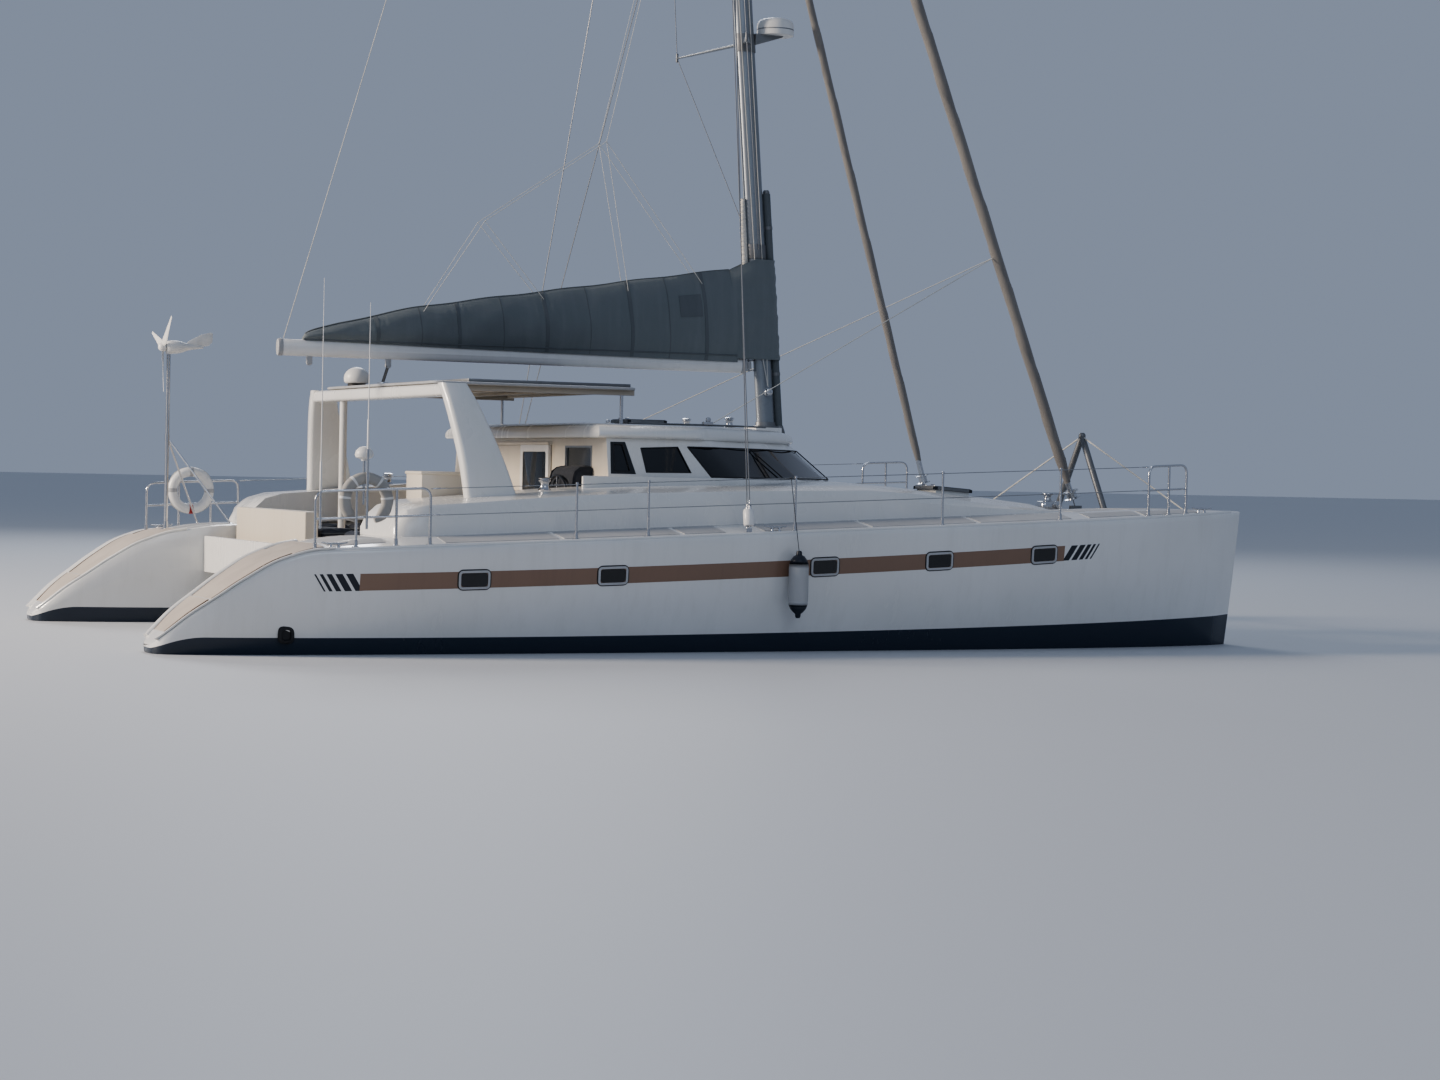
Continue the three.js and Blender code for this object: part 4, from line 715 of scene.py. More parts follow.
# Columns: station, depth, half beam on the waterline, gunwale out, gunwale in, deck edge, rise inboard
HULL_SECTIONS = np.array([
    (0.0, 0.025, 0.190, 0.225, 0.225, 0.115, 0.004),
    (0.1, 0.045, 0.270, 0.330, 0.320, 0.195, 0.004),
    (0.34, 0.080, 0.350, 0.450, 0.430, 0.405, 0.004),
    (0.6, 0.110, 0.410, 0.540, 0.500, 0.590, 0.004),
    (0.85, 0.140, 0.450, 0.600, 0.550, 0.765, 0.004),
    (1.23, 0.175, 0.495, 0.680, 0.620, 0.980, 0.008),
    (1.6, 0.210, 0.530, 0.740, 0.670, 1.078, 0.030),
    (2.2, 0.270, 0.570, 0.800, 0.700, 1.105, 0.090),
    (3.2, 0.350, 0.600, 0.865, 0.700, 1.151, 0.090),
    (4.6, 0.440, 0.620, 0.900, 0.700, 1.214, 0.090),
    (6.2, 0.490, 0.625, 0.900, 0.700, 1.287, 0.090),
    (7.8, 0.495, 0.620, 0.900, 0.700, 1.360, 0.090),
    (9.3, 0.455, 0.590, 0.890, 0.700, 1.428, 0.090),
    (10.5, 0.385, 0.530, 0.855, 0.700, 1.483, 0.090),
    (11.5, 0.290, 0.440, 0.750, 0.600, 1.528, 0.090),
    (12.3, 0.195, 0.315, 0.580, 0.470, 1.565, 0.070),
    (12.9, 0.110, 0.185, 0.370, 0.310, 1.592, 0.040),
    (13.4, 0.060, 0.022, 0.075, 0.045, 1.615, 0.008),
])
STEM_RAKE = 0.15
FOREFOOT_SLOPE = 1.2
STEM_START = 12.9


def row_slopes():
    """How fast each column changes at each row: the harmonic mean of the spans beside it."""
    secants = np.diff(HULL_SECTIONS, axis=0) / np.diff(HULL_SECTIONS[:, :1], axis=0)
    before, after = np.vstack([secants[:1], secants]), np.vstack([secants, secants[-1:]])
    product = before * after
    return np.where(product > 0, 2 * product / np.where(product > 0, before + after, 1), 0)


HULL_SLOPES = row_slopes()


def hull_row(station):
    """The hull's measures at a station, from a smooth curve through each column."""
    stations = HULL_SECTIONS[:, 0]
    i = int(np.clip(np.searchsorted(stations, station) - 1, 0, len(stations) - 2))
    span = stations[i + 1] - stations[i]
    t = (station - stations[i]) / span
    ends = (1 + 2 * t) * (1 - t) ** 2 * HULL_SECTIONS[i] + t * t * (3 - 2 * t) * HULL_SECTIONS[i + 1]
    bend = t * (1 - t) ** 2 * HULL_SLOPES[i] + t * t * (t - 1) * HULL_SLOPES[i + 1]
    return (ends + bend * span)[1:]


def deck_height(station, offset):
    """The deck's height at an offset outboard of the hull's centreline."""
    _, _, out, _, top, rise = hull_row(station)
    inboard = min(0.35, 0.42 * out)
    t = np.clip((0.97 * out - offset) / (0.97 * out - inboard), 0, 1)
    return top + rise * t


def hull_ring(station):
    depth, wl, out, inn, top, rise = hull_row(station)
    knuckle = min(BRIDGE_UNDERSIDE, 0.6 * top)
    inboard = min(0.35, 0.42 * out)
    deck = top + rise
    lip = min(0.03, 0.2 * inn)
    bottom = [(0, -depth), (0.5 * wl, -0.93 * depth), (0.82 * wl, -0.62 * depth), (0.97 * wl, -0.25 * depth),
              (wl, 0)]
    side = [(mix(wl, out, a), b * top) for a, b in ((0.42, 0.25), (0.72, 0.5), (0.92, 0.76), (1.0, 0.96))]
    section = smooth_line(bottom + side, 3)
    section += [(0.995 * out, 0.982 * top), (0.975 * out, 0.996 * top)]
    section += [(mix(0.95 * out, inboard, t), top + rise * t) for t in (0.03, 0.35, 0.7, 1.0)]
    section += [(mix(inboard, lip - inn, t), deck) for t in (0.35, 0.7, 1.0)]
    section += [(0.3 * lip - inn, deck - 0.3 * lip), (-inn, deck - lip)]
    section += [(-inn, mix(deck, knuckle, 0.5)), (-inn, knuckle + 0.04), (-inn + 0.012, knuckle)]
    inner = [(-mix(wl, inn, 0.4), 0.55 * knuckle), (-wl, 0)]
    section += smooth_line(inner + [(-x, z) for x, z in bottom[-2::-1]], 3)[:-1]
    share = max(0.0, (station - STEM_START) / (LENGTH - STEM_START))
    ring = []
    for offset, z in section:
        rake = STEM_RAKE * (z / top - 1) if z > 0 else -STEM_RAKE + FOREFOOT_SLOPE * z
        ring.append((at(station) + share * rake, -HULL_CENTRE - offset, z))
    return ring


# Columns: station, share of the section's full size, which rounds the stern tips
TIP_ROUND = np.array([(0.0, 0.60), (0.012, 0.76), (0.035, 0.89), (0.065, 0.97), (0.10, 1.0)])
TIP_Z = 0.05


def rounded_ring(station):
    grow = np.interp(station, TIP_ROUND[:, 0], TIP_ROUND[:, 1])
    return [(x, (y + HULL_CENTRE) * grow - HULL_CENTRE, TIP_Z + (z - TIP_Z) * grow)
            for x, y, z in hull_ring(station)]


def hull_skin():
    stations = [*TIP_ROUND[:-1, 0], *np.linspace(0.10, 1.6, 20), *np.linspace(1.7, 12.9, 76),
                *np.linspace(12.95, LENGTH, 9)]
    return loft([rounded_ring(s) for s in stations])


starboard_skin = hull_skin()
for side_name, part in (("starboard", starboard_skin), ("port", mirrored(starboard_skin))):
    Shape().add(part).make(f"hull_skin_{side_name}", [HULL_PAINT], sharp=38,
                           replaces=(f"hull_{side_name}",), slot="gelcoat")
skin_tree = BVHTree.FromPolygons([Vector(v) for v in starboard_skin[0]], starboard_skin[1])
print("hull skin faces:", len(starboard_skin[1]))


# %% [markdown]
# The stripe and the bars at its ends lie on the starboard side of the skin. A ray from
# outboard finds the skin, so each patch follows it at a set height, and its mirror image
# serves the port side.

# %% Stripe and bars
def side_hit(x, z):
    """The point and normal of the starboard topside at X and a height."""
    hit, normal, _, _ = skin_tree.ray_cast(Vector((x, -6, z)), Vector((0, 1, 0)))
    return np.array(hit), np.array(normal if normal.y < 0 else -normal)


def side_patch(grid, proud=0.0015, sunk=0.003):
    """A thin closed patch over rows of (x, z) on the topside."""
    rows, columns = len(grid), len(grid[0])
    front, back = [], []
    for row in grid:
        for x, z in row:
            hit, normal = side_hit(x, z)
            front.append(hit + normal * proud)
            back.append(hit - normal * sunk)
    verts = front + back
    half = rows * columns
    faces = []
    for r in range(rows - 1):
        for c in range(columns - 1):
            a = r * columns + c
            faces.append((a, a + 1, a + columns + 1, a + columns))
            faces.append((half + a, half + a + columns, half + a + columns + 1, half + a + 1))
    rim = [*range(columns), *(r * columns + columns - 1 for r in range(1, rows))]
    rim += [(rows - 1) * columns + c for c in range(columns - 2, -1, -1)]
    rim += [r * columns for r in range(rows - 2, 0, -1)]
    for a, b in zip(rim, rim[1:] + rim[:1]):
        faces.append((a, a + half, b + half, b))
    return verts, faces


STRIPE_HALF = 0.0875
STRIPE_ENDS = (2.005, 10.42)


def stripe_height(station):
    u = station - 1.95
    return 0.755 + 0.024 * u + 0.0022 * u * u


def stripe_patch(start, end, lean=0.0, steps=1):
    """A piece of the band between two stations, with ends that lean."""
    grid = []
    for s in np.linspace(start, end, steps + 1):
        middle = stripe_height(s)
        grid.append([(at(s) + lean * t, middle + STRIPE_HALF * t) for t in (-1, 0, 1)])
    return side_patch(grid)


BAR_LEAN = 0.055
# Columns: start station, width
AFT_BARS = ((1.585, 0.018), (1.64, 0.035), (1.71, 0.055), (1.80, 0.075), (1.91, 0.075))
FORE_BARS = ((10.46, 0.085), (10.58, 0.075), (10.685, 0.055), (10.77, 0.035), (10.84, 0.02))


def both_sides(shape, part, number=0):
    shape.add(part, number)
    shape.add(mirrored(part), number)


def paint_bands():
    band, bars = Shape(), Shape()
    both_sides(band, stripe_patch(*STRIPE_ENDS, steps=80))
    for table, lean in ((AFT_BARS, -BAR_LEAN), (FORE_BARS, BAR_LEAN)):
        for start, width in table:
            both_sides(bars, stripe_patch(start, start + width, lean))
    band.make("cove_stripe", [TAN_STRIPE], slot="gelcoat")
    bars.make("stripe_bars", [NAVY_VINYL], slot="gelcoat")


paint_bands()
print("bars on each side:", len(AFT_BARS) + len(FORE_BARS))

# %% [markdown]
# A portlight is a dark pane in a pale frame with a black seal round it. All of them are
# alike, so each of the three parts is made once, and the node tree sets copies of it on
# the hull, turned to lie flat on the skin.

# %% Portlights
def rounded_rectangle(width, height, radius, steps=4):
    """The outline of a rectangle with round corners, centred on nothing."""
    points = []
    for cx, cy, start in ((1, 1, 0), (-1, 1, 90), (-1, -1, 180), (1, -1, 270)):
        for step in range(steps + 1):
            a = math.radians(start + 90 * step / steps)
            points.append((cx * (width / 2 - radius) + radius * math.cos(a),
                           cy * (height / 2 - radius) + radius * math.sin(a)))
    return points


def frame_ring(width, height, bar_width, thick, radius):
    """A flat frame around an opening, as high as thick, lying on Z 0."""
    outer = rounded_rectangle(width, height, radius)
    inner = rounded_rectangle(width - 2 * bar_width, height - 2 * bar_width, max(0.005, radius - bar_width))
    profile = ((outer, -0.004), (outer, 0.7 * thick),
               ([(x * 0.985, y * 0.985) for x, y in outer], thick), (inner, thick), (inner, -0.004))
    rings = [[(x, y, z) for x, y in outline] for outline, z in profile]
    return loft(rings + rings[:1], caps=False)


def pane_block(width, height, thick, radius):
    return plate(rounded_rectangle(width, height, radius), -0.004, thick, across="z")


PORTLIGHTS = (3.22, 4.77, 7.30, 8.75, 10.14)
PORTLIGHT_SIZE = (0.345, 0.20)


def fit_portlights():
    places = []
    for station in PORTLIGHTS:
        middle = stripe_height(station)
        hit, normal = side_hit(at(station), middle)
        ahead = side_hit(at(station) + 0.1, stripe_height(station + 0.1))[0] - hit
        places.append((hit, ahead, normal))
        flip = np.array((1, -1, 1))
        places.append((hit * flip, ahead * flip, normal * flip))
    width, height = PORTLIGHT_SIZE
    repeat("portlight_frames", frame_ring(width, height, 0.025, 0.014, 0.045), places, FENDER_VINYL)
    repeat("portlight_seals", frame_ring(width + 0.022, height + 0.022, 0.02, 0.006, 0.06), places, RUBBER)
    repeat("portlight_panes", pane_block(width - 0.06, height - 0.06, 0.009, 0.03), places, DARK_ACRYLIC)


fit_portlights()
print("portlights on each side:", len(PORTLIGHTS))

# %% [markdown]
# The decks and the stern ramps get non-skid pads with plain gelcoat between them. Each pad
# is a thin closed sheet that follows the deck's height. Dark seams run along the ramp's
# pads, and a thick bright rim stands outboard of them, which keeps feet on the steps.

# %% Non-skid pads
def deck_point(station, offset, lift=0.0):
    return np.array((at(station), -HULL_CENTRE - offset, deck_height(station, offset) + lift))


def deck_pad(start, end, inner, outer, low=0.003, high=0.003, steps=4):
    """A pad on the starboard hull's deck. inner and outer are offsets or functions of the station."""
    top, bottom = [], []
    for t in np.linspace(0, 1, steps + 1):
        station = mix(start, end, t)
        a = inner(station) if callable(inner) else inner
        b = outer(station) if callable(outer) else outer
        offsets = np.linspace(a, b, 7)
        top.append([deck_point(station, o, mix(low, high, t)) for o in offsets])
        bottom.append([deck_point(station, o, -0.01) for o in offsets])
    rings = [row + back[::-1] for row, back in zip(top, bottom)]
    return loft(rings)


RAMP_PADS = ((0.13, 0.53), (0.56, 1.34), (1.37, 1.66))
RAMP_OUTBOARD, RAMP_INBOARD, RAMP_SEAM = 0.128, 0.090, 0.034
SIDE_DECK_PADS = ((2.95, 4.2), (4.26, 5.6), (5.66, 6.15), (6.62, 7.9), (7.96, 9.3), (9.36, 10.6))


def from_gunwale(inset):
    """The offset at an inset from the gunwale, as a function of the station."""
    return lambda station: hull_row(station)[2] - inset


def ramp_inner(station):
    return min(RAMP_INBOARD - hull_row(station)[3], 0.0)


def ramp_seam(station):
    return ramp_inner(station) + RAMP_SEAM


def bow_inner(station):
    return 0.1 - hull_row(station)[3]


def lay_pads():
    ramp, decks = Shape(), Shape()
    seam, edge = from_gunwale(RAMP_OUTBOARD + RAMP_SEAM), from_gunwale(RAMP_OUTBOARD)
    for start, end in RAMP_PADS:
        both_sides(ramp, deck_pad(start, end, ramp_seam, seam, 0.003, 0.020, 12), 0)
        both_sides(ramp, deck_pad(start, end, seam, edge, 0.010, 0.020, 12), 1)
        both_sides(ramp, deck_pad(start, end, ramp_inner, ramp_seam, 0.002, 0.012, 12), 1)
    both_sides(decks, deck_pad(1.74, 2.34, -0.5, 0.55))
    for start, end in SIDE_DECK_PADS:
        both_sides(decks, deck_pad(start, end, 0.39, from_gunwale(0.17)))
    both_sides(decks, deck_pad(10.86, 11.62, -0.45, from_gunwale(0.17)))
    both_sides(decks, deck_pad(11.68, 12.6, bow_inner, from_gunwale(0.15)))
    ramp.make("ramp_pads", [NONSKID, DARK_SEAM], slot="nonskid")
    # The deck pads' dark grey is painted shade.
    decks.make("deck_pads", [SHADED_NONSKID], slot="nonskid")


def edge_line(start, end, inset, lift, inboard=False, steps=40):
    """A line along a hull's deck edge on the starboard side."""
    line = []
    for station in np.linspace(start, end, steps):
        row = hull_row(station)
        line.append(deck_point(station, inset - row[3] if inboard else row[2] - inset, lift))
    return line


def lay_rims():
    rims = Shape()
    both_sides(rims, tube(edge_line(0.05, 1.75, 0.060, 0.002, False, 30), 0.060, 14, 0.24))
    both_sides(rims, tube(edge_line(0.05, 1.75, 0.040, 0.002, True, 30), 0.034, 12, 0.6))
    both_sides(rims, tube(edge_line(1.74, 13.2, 0.045, 0.0), 0.018, 10))
    rims.make("deck_edge_rims", [GELCOAT], slot="gelcoat")


lay_pads()
lay_rims()
print("ramp pads on each hull:", len(RAMP_PADS))

# %% [markdown]
# The trunk, the deckhouse and the bridge deck keep the solids' form. Real mouldings come
# out of a mould and never have a knife edge, so each sharp edge gets a small radius. The
# radius catches a line of light, and that line tells the eye how big the boat is.

# %% Mouldings with rounded edges
refined("deck_moulding", GELCOAT, bevel=0.022, sharp=34)
refined("bridge_deck", GELCOAT, bevel=0.012)
house = refined("deckhouse", GELCOAT, bevel=0.007, sharp=34)
# The house's aft wall takes the cream colour as painted warm sunlight from astern, on white gelcoat.
house.data.materials.append(CREAM_AND_SUNLIT)
for polygon in house.data.polygons:
    if polygon.normal.x < -0.8 and polygon.center.x < at(5.26):
        polygon.material_index = 1
Shape().add(block((at(2.99), -1.5, 0.69), (at(5.18), 1.5, 0.7035))).make(
    "cockpit_sole_pad", [NONSKID], bevel=0.002, slot="nonskid")
print("faces of the house:", len(house.data.polygons))

# %% [markdown]
# The house is curved at its front in plan. Its outline at any height is straight along the
# sides, turns a soft corner and follows a shallow parabola. The roof, the gaskets and the
# brow all use this one outline, so they agree with each other.

# %% The house outline and the roof
HOUSE_CURVE = 0.38
HOUSE_KNEE, HOUSE_TOP = 1.86, 2.32
HOUSE_FRONT, HOUSE_FRONT_TOP = 9.19, 8.58
HOUSE_HALF, HOUSE_HALF_TOP = 2.5, 2.42
# Columns: front station, half width, inset, height
ROOF_ROWS = ((8.605, 2.48, 0, 2.3203), (8.635, 2.525, 0, 2.348), (8.628, 2.515, 0.005, 2.40),
             (8.58, 2.46, 0.03, 2.445), (8.45, 2.30, 0.09, 2.478), (8.10, 1.62, 0.30, 2.502),
             (7.60, 0.80, 0.70, 2.510))
ROOF_AFT = 5.12


def house_outline(front, half, aft, inset, z):
    """The outline at a height, from the starboard aft corner round the front to port."""
    width = half - inset
    end = width - 0.17
    front = front - 1.15 * inset
    corner = front - HOUSE_CURVE * end * end
    turn = smooth_line([(corner - 0.48, width), (corner - 0.16, width - 0.06), (corner, end)], 4)[:-1]
    nose = [(front - HOUSE_CURVE * y * y, y) for y in np.linspace(end, -end, 25)]
    half_line = [(aft + inset, width), *turn]
    line = half_line + nose + [(s, -y) for s, y in half_line[::-1]]
    return [(at(s), y, z) for s, y in line]


def house_wall(z):
    """The front station and the half width of the house's wall at a height."""
    t = max(0.0, (z - HOUSE_KNEE) / (HOUSE_TOP - HOUSE_KNEE))
    return mix(HOUSE_FRONT, HOUSE_FRONT_TOP, t), mix(HOUSE_HALF, HOUSE_HALF_TOP, t)


def build_roof():
    rows = smooth_line(ROOF_ROWS, 3)
    roof = Shape().add(loft([house_outline(front, half, ROOF_AFT, inset, z)
                             for front, half, inset, z in rows]))
    roof.add(block((at(8.20), -0.17, 2.43), (at(8.56), 0.17, 2.53)))
    roof.add(block((at(6.47), -0.23, 2.43), (at(6.93), 0.23, 2.535)))
    roof.make("cabin_roof_skin", [GELCOAT], sharp=50, bevel=0.006, replaces=("cabin_roof",), slot="gelcoat")


build_roof()
print("rows of the roof's outline:", len(ROOF_ROWS))

# %% [markdown]
# The windows are dark acrylic sheets set into the wall with a black seal around each.
# A seal is a thin round section swept along the window's edge. The long windscreen is
# made of several sheets, so narrow seals divide it.

# %% Window seals and dividers
QUARTER_WINDOW = ((5.33, 1.95), (5.33, 2.25), (5.44, 2.25), (5.52, 1.95))
SIDE_WINDOW = ((5.72, 1.945), (5.665, 2.215), (6.12, 2.235), (6.27, 1.95))
WRAP_LOW, WRAP_HIGH = (6.52, 1.905), (6.24, 2.24)
# The dark tint round the quarter pane reaches beyond it on the wall
QUARTER_TINT = ((5.285, 1.922), (5.297, 2.278), (5.475, 2.278), (5.59, 1.922))
SEAL = 0.007
DIVIDERS = (-1.93, -0.66, 0.66, 1.93)


def wall_point(station, z, side):
    return (at(station), side * house_wall(z)[1], z)


def front_line(z, start):
    """The wall's line at a height from the starboard side at a station round to port."""
    front, half = house_wall(z)
    return house_outline(front, half, start, 0, z)


def turned_wall(station, z, side):
    """A point of the wall at a station where it turns in towards the front."""
    half_line = sorted((x, abs(y)) for x, y, _ in front_line(z, WRAP_HIGH[0]) if y > 0)
    return (at(station), side * np.interp(at(station), *zip(*half_line)), z)


def seal_windows():
    paths = []
    for side in (-1, 1):
        for outline in (QUARTER_WINDOW, SIDE_WINDOW):
            corners = [wall_point(s, z, side) for s, z in outline]
            paths.append(corners + corners[:2])
    low, high = front_line(WRAP_LOW[1], WRAP_LOW[0]), front_line(WRAP_HIGH[1], WRAP_HIGH[0])
    paths += [low, high, [low[0], high[0]], [low[-1], high[-1]]]
    for y in DIVIDERS:
        ends = []
        for z in (WRAP_LOW[1], WRAP_HIGH[1]):
            front = house_wall(z)[0]
            ends.append((at(front - HOUSE_CURVE * y * y), y, z))
        paths.append(ends)
    for side in (-1, 1):
        paths.append([turned_wall(7.45, WRAP_LOW[1], side), turned_wall(7.30, WRAP_HIGH[1], side)])
    sweep("window_seals", paths, SEAL, RUBBER)


def tint_quarters():
    tint = Shape()
    for side in (-1, 1):
        rings = []
        for outline, lift in ((QUARTER_TINT, 0), (QUARTER_TINT, 0.003), (QUARTER_WINDOW, 0.003),
                              (QUARTER_WINDOW, 0)):
            rings.append([wall_point(s, z, side) + np.array((0, side * lift, 0)) for s, z in outline])
        tint.add(loft(rings + rings[:1], caps=False))
    tint.make("quarter_tints", [DARK_ACRYLIC], sharp=30, slot="dark_glass")


seal_windows()
tint_quarters()
print("dividers of the windscreen:", len(DIVIDERS))

# %% [markdown]
# The arch carries the hard top. Its legs lean in and narrow towards the top, so they are
# lofted through round-cornered sections on a smooth curve. The hard top is a thin plate
# with soft corners, grey outside and dark beige below, both colours painted shade, and shallow beams stiffen
# it.

# %% Targa arch and hard top
# Columns: aft station, forward station, |y| outboard, |y| inboard, height
ARCH_LEG = ((3.435, 4.06, 2.975, 2.83, 1.50), (3.395, 3.89, 2.85, 2.68, 2.05),
            (3.33, 3.70, 2.62, 2.44, 2.60), (3.30, 3.60, 2.44, 2.25, 2.87))
# Heights of the cockpit's floor, of the arch's top and of the hard top's two faces
SOLE_Z, ARCH_TOP, TOP_FOOT = 0.7003, 2.87, 2.8703
TOP_FACE = TOP_FOOT + 0.0353
TOP_OUTLINE = rounded_rectangle(2.48, 4.0, 0.16, 6)
TOP_MIDDLE = at(4.59)


def arch_leg():
    rings = []
    for aft, fore, outer, inner, z in smooth_line(ARCH_LEG, 6):
        section = rounded_rectangle(fore - aft, outer - inner, min(0.055, (outer - inner) / 2.3), 4)
        middle, side, level = at((aft + fore) / 2), -(outer + inner) / 2, min(z, ARCH_TOP)
        rings.append([(middle + x, side + y, level) for x, y in section])
    return loft(rings)


def build_arch():
    """Both legs, the bar that joins them, and a post from the cockpit's floor up to the bar."""
    arch = Shape()
    both_sides(arch, arch_leg())
    section = rounded_rectangle(0.24, 0.136, 0.045, 5)
    arch.add(loft([[(at(3.44) + x, y, 2.796 + z) for x, z in section] for y in np.linspace(-2.4, 2.4, 9)]))
    arch.add(turned([(0, SOLE_Z), (0.062, SOLE_Z), (0.062, 0.72), (0.045, 0.735), (0.045, 2.78), (0, 2.78)],
                    (at(3.43), 1.45, 0)))
    arch.make("targa_arch_skin", [GELCOAT], sharp=40, replaces=("targa_arch",), slot="gelcoat")


def build_hard_top():
    top = Shape()
    edge = ((0.985, 0.0), (1.0, 0.008), (1.0, 0.026), (0.985, 0.035))
    rings = [[(TOP_MIDDLE + x * f, y * (1 - (1 - f) * 0.6), TOP_FOOT + z) for x, y in TOP_OUTLINE]
             for f, z in edge]
    skin = loft(rings, caps=False)
    count = len(TOP_OUTLINE)
    top.add((skin[0], skin[1] + [tuple(range(3 * count, 4 * count))]), 0)
    top.add((rings[0], [tuple(range(count))[::-1]]), 1)
    low, high = TOP_FOOT - 0.06, TOP_FOOT + 0.004
    for y in (-1.9, 1.9):
        top.add(block((at(3.61), y - 0.024, low), (at(5.80), y + 0.024, high)), 1)
    for s in (3.9, 4.55, 5.2, 5.72):
        top.add(block((at(s) - 0.02, -1.87, TOP_FOOT - 0.03), (at(s) + 0.02, 1.87, high)), 1)
    # The hard top's grey outside and dark beige underside are painted shade.
    top.make("hard_top_skin", [GREY_PLASTIC_AND_SHADE, TOP_UNDERSIDE_SHADE], sharp=40, bevel=0.004, replaces=("hard_top",),
             slot="gelcoat")
    posts = Shape()
    for side in (-1, 1):
        foot = (at(5.65), side * 1.9, 2.42)
        posts.add(tube([foot, (foot[0], foot[1], TOP_FOOT)], 0.02, 16))
        posts.add(turned([(0, 0), (0.05, 0), (0.05, 0.012), (0.026, 0.03), (0.022, 0.05), (0, 0.05)],
                         (foot[0], foot[1], 2.432)))
    posts.make("hard_top_posts", [STAINLESS], slot="steel")


build_arch()
build_hard_top()
print("underside of the hard top:", TOP_FOOT, "m above water")

# %% [markdown]
# Solar panels lie on the hard top. The cells are a pattern of thin lines in the material,
# made from three zigzag waves of the Object coordinates. The frames around the panels are
# real bars, because they show as bright edges from the side.

# %% Solar panels and dome
CELL = 0.157
PANELS_AFT, PANELS_FORE, PANEL_PITCH = 3.79, 5.75, 1.3


def solar_cells():
    made = finish("solar cells", (0.006, 0.010, 0.028), (0.012, 0.016, 0.036), 0.08, 0.1, LIFE, 0.02,
                  coat=0.5)
    tree = made.node_tree
    axes = object_axes(tree)
    lines = []
    for axis, pitch, width in (("X", CELL, 0.035), ("Y", CELL, 0.035), ("X", CELL / 3, 0.05)):
        lines.append(levels(tree, zigzag(tree, axes[axis], pitch), width, width * 0.4))
    grid = math_node(tree, "MAXIMUM", lines[0], lines[1])
    grid = math_node(tree, "MAXIMUM", grid, math_node(tree, "MULTIPLY", lines[2], 0.5))
    link_colour(made, colour_mix(tree, grid, colour_socket_of(made), (0.16, 0.17, 0.19)))
    return made


SOLAR = solar_cells()


def build_panels():
    cells, frames = Shape(), Shape()
    z, low, high = TOP_FACE, at(PANELS_AFT), at(PANELS_FORE)
    for i in (-1, 0, 1):
        side = i * PANEL_PITCH
        cells.add(block((low + 0.03, side - 0.6, z + 0.01), (high - 0.03, side + 0.6, z + 0.032)))
        ring = rounded_rectangle(high - low, 1.26, 0.012, 2)
        inner = rounded_rectangle(high - low - 0.06, 1.2, 0.004, 2)
        rings = [[((low + high) / 2 + x, y + side, z + h) for x, y in outline]
                 for outline, h in ((ring, 0.0), (ring, 0.036), (inner, 0.036), (inner, 0.0), (ring, 0.0))]
        frames.add(loft(rings, caps=False))
    cells.make("solar_cells", [SOLAR], replaces=("solar_panels",), slot="solar")
    frames.make("solar_frames", [CAST_ALLOY], bevel=0.002, slot="solar")


def build_dome():
    place = (at(3.51), 1.2, TOP_FACE)
    curve = [(0.155 * math.cos(a), 0.095 + 0.135 * math.sin(a)) for a in np.radians(np.arange(0, 91, 9))]
    profile = [(0, 0.035), (0.13, 0.035), (0.148, 0.05), (0.154, 0.075), *curve]
    dome = Shape().add(turned(profile, place, sides=40))
    dome.add(turned([(0, 0), (0.105, 0), (0.11, 0.006), (0.108, 0.036), (0, 0.036)], place, sides=40), 1)
    dome.make("satellite_dome_skin", [PLASTIC, RUBBER], replaces=("satellite_dome",), slot="white_plastic")


build_panels()
build_dome()
print("solar cells:", CELL, "m apart")

# %% [markdown]
# The mast is an alloy extrusion that leans aft. It is lofted through ellipses, and a luff
# track runs up its aft face. The spreaders are slim foils that hold the diamond wires
# away from it, which keeps so long a tube straight.

# %% Mast and spreaders
MAST_FOOT, MAST_STEP, MAST_TOP = 8.42, 2.53, 19.10
GENOA_TOP, STAYSAIL_TOP = 15.4, 11.6
MAST_RAKE = math.radians(4.8)
MAST_CHORD, MAST_WIDTH = 0.24, 0.15
BOOM_Z, BOOM_DEPTH, BOOM_WIDTH, BOOM_END = 3.29, 0.19, 0.11, 2.18
PIN_OFFSET = 0.19
SPREADERS = ((7.25, 7.56, 1.0, 7.15), (12.25, 7.18, 0.9, 12.18))
DIAMOND_ENDS = (4.70, 15.25)


def mast_point(z, fore=0.0, y=0.0):
    return np.array((at(MAST_FOOT) - math.tan(MAST_RAKE) * (z - MAST_STEP) + fore, y, z))


def ellipse_ring(z, chord, width, sides=28):
    return [mast_point(z, chord / 2 * math.cos(a), width / 2 * math.sin(a)) for a in circle(sides)]


def mast_band(z, half, grow):
    """A band round the mast at a height, a little larger than the mast."""
    return loft([ellipse_ring(z + dz, MAST_CHORD + grow, MAST_WIDTH + grow) for dz in (-half, half)])


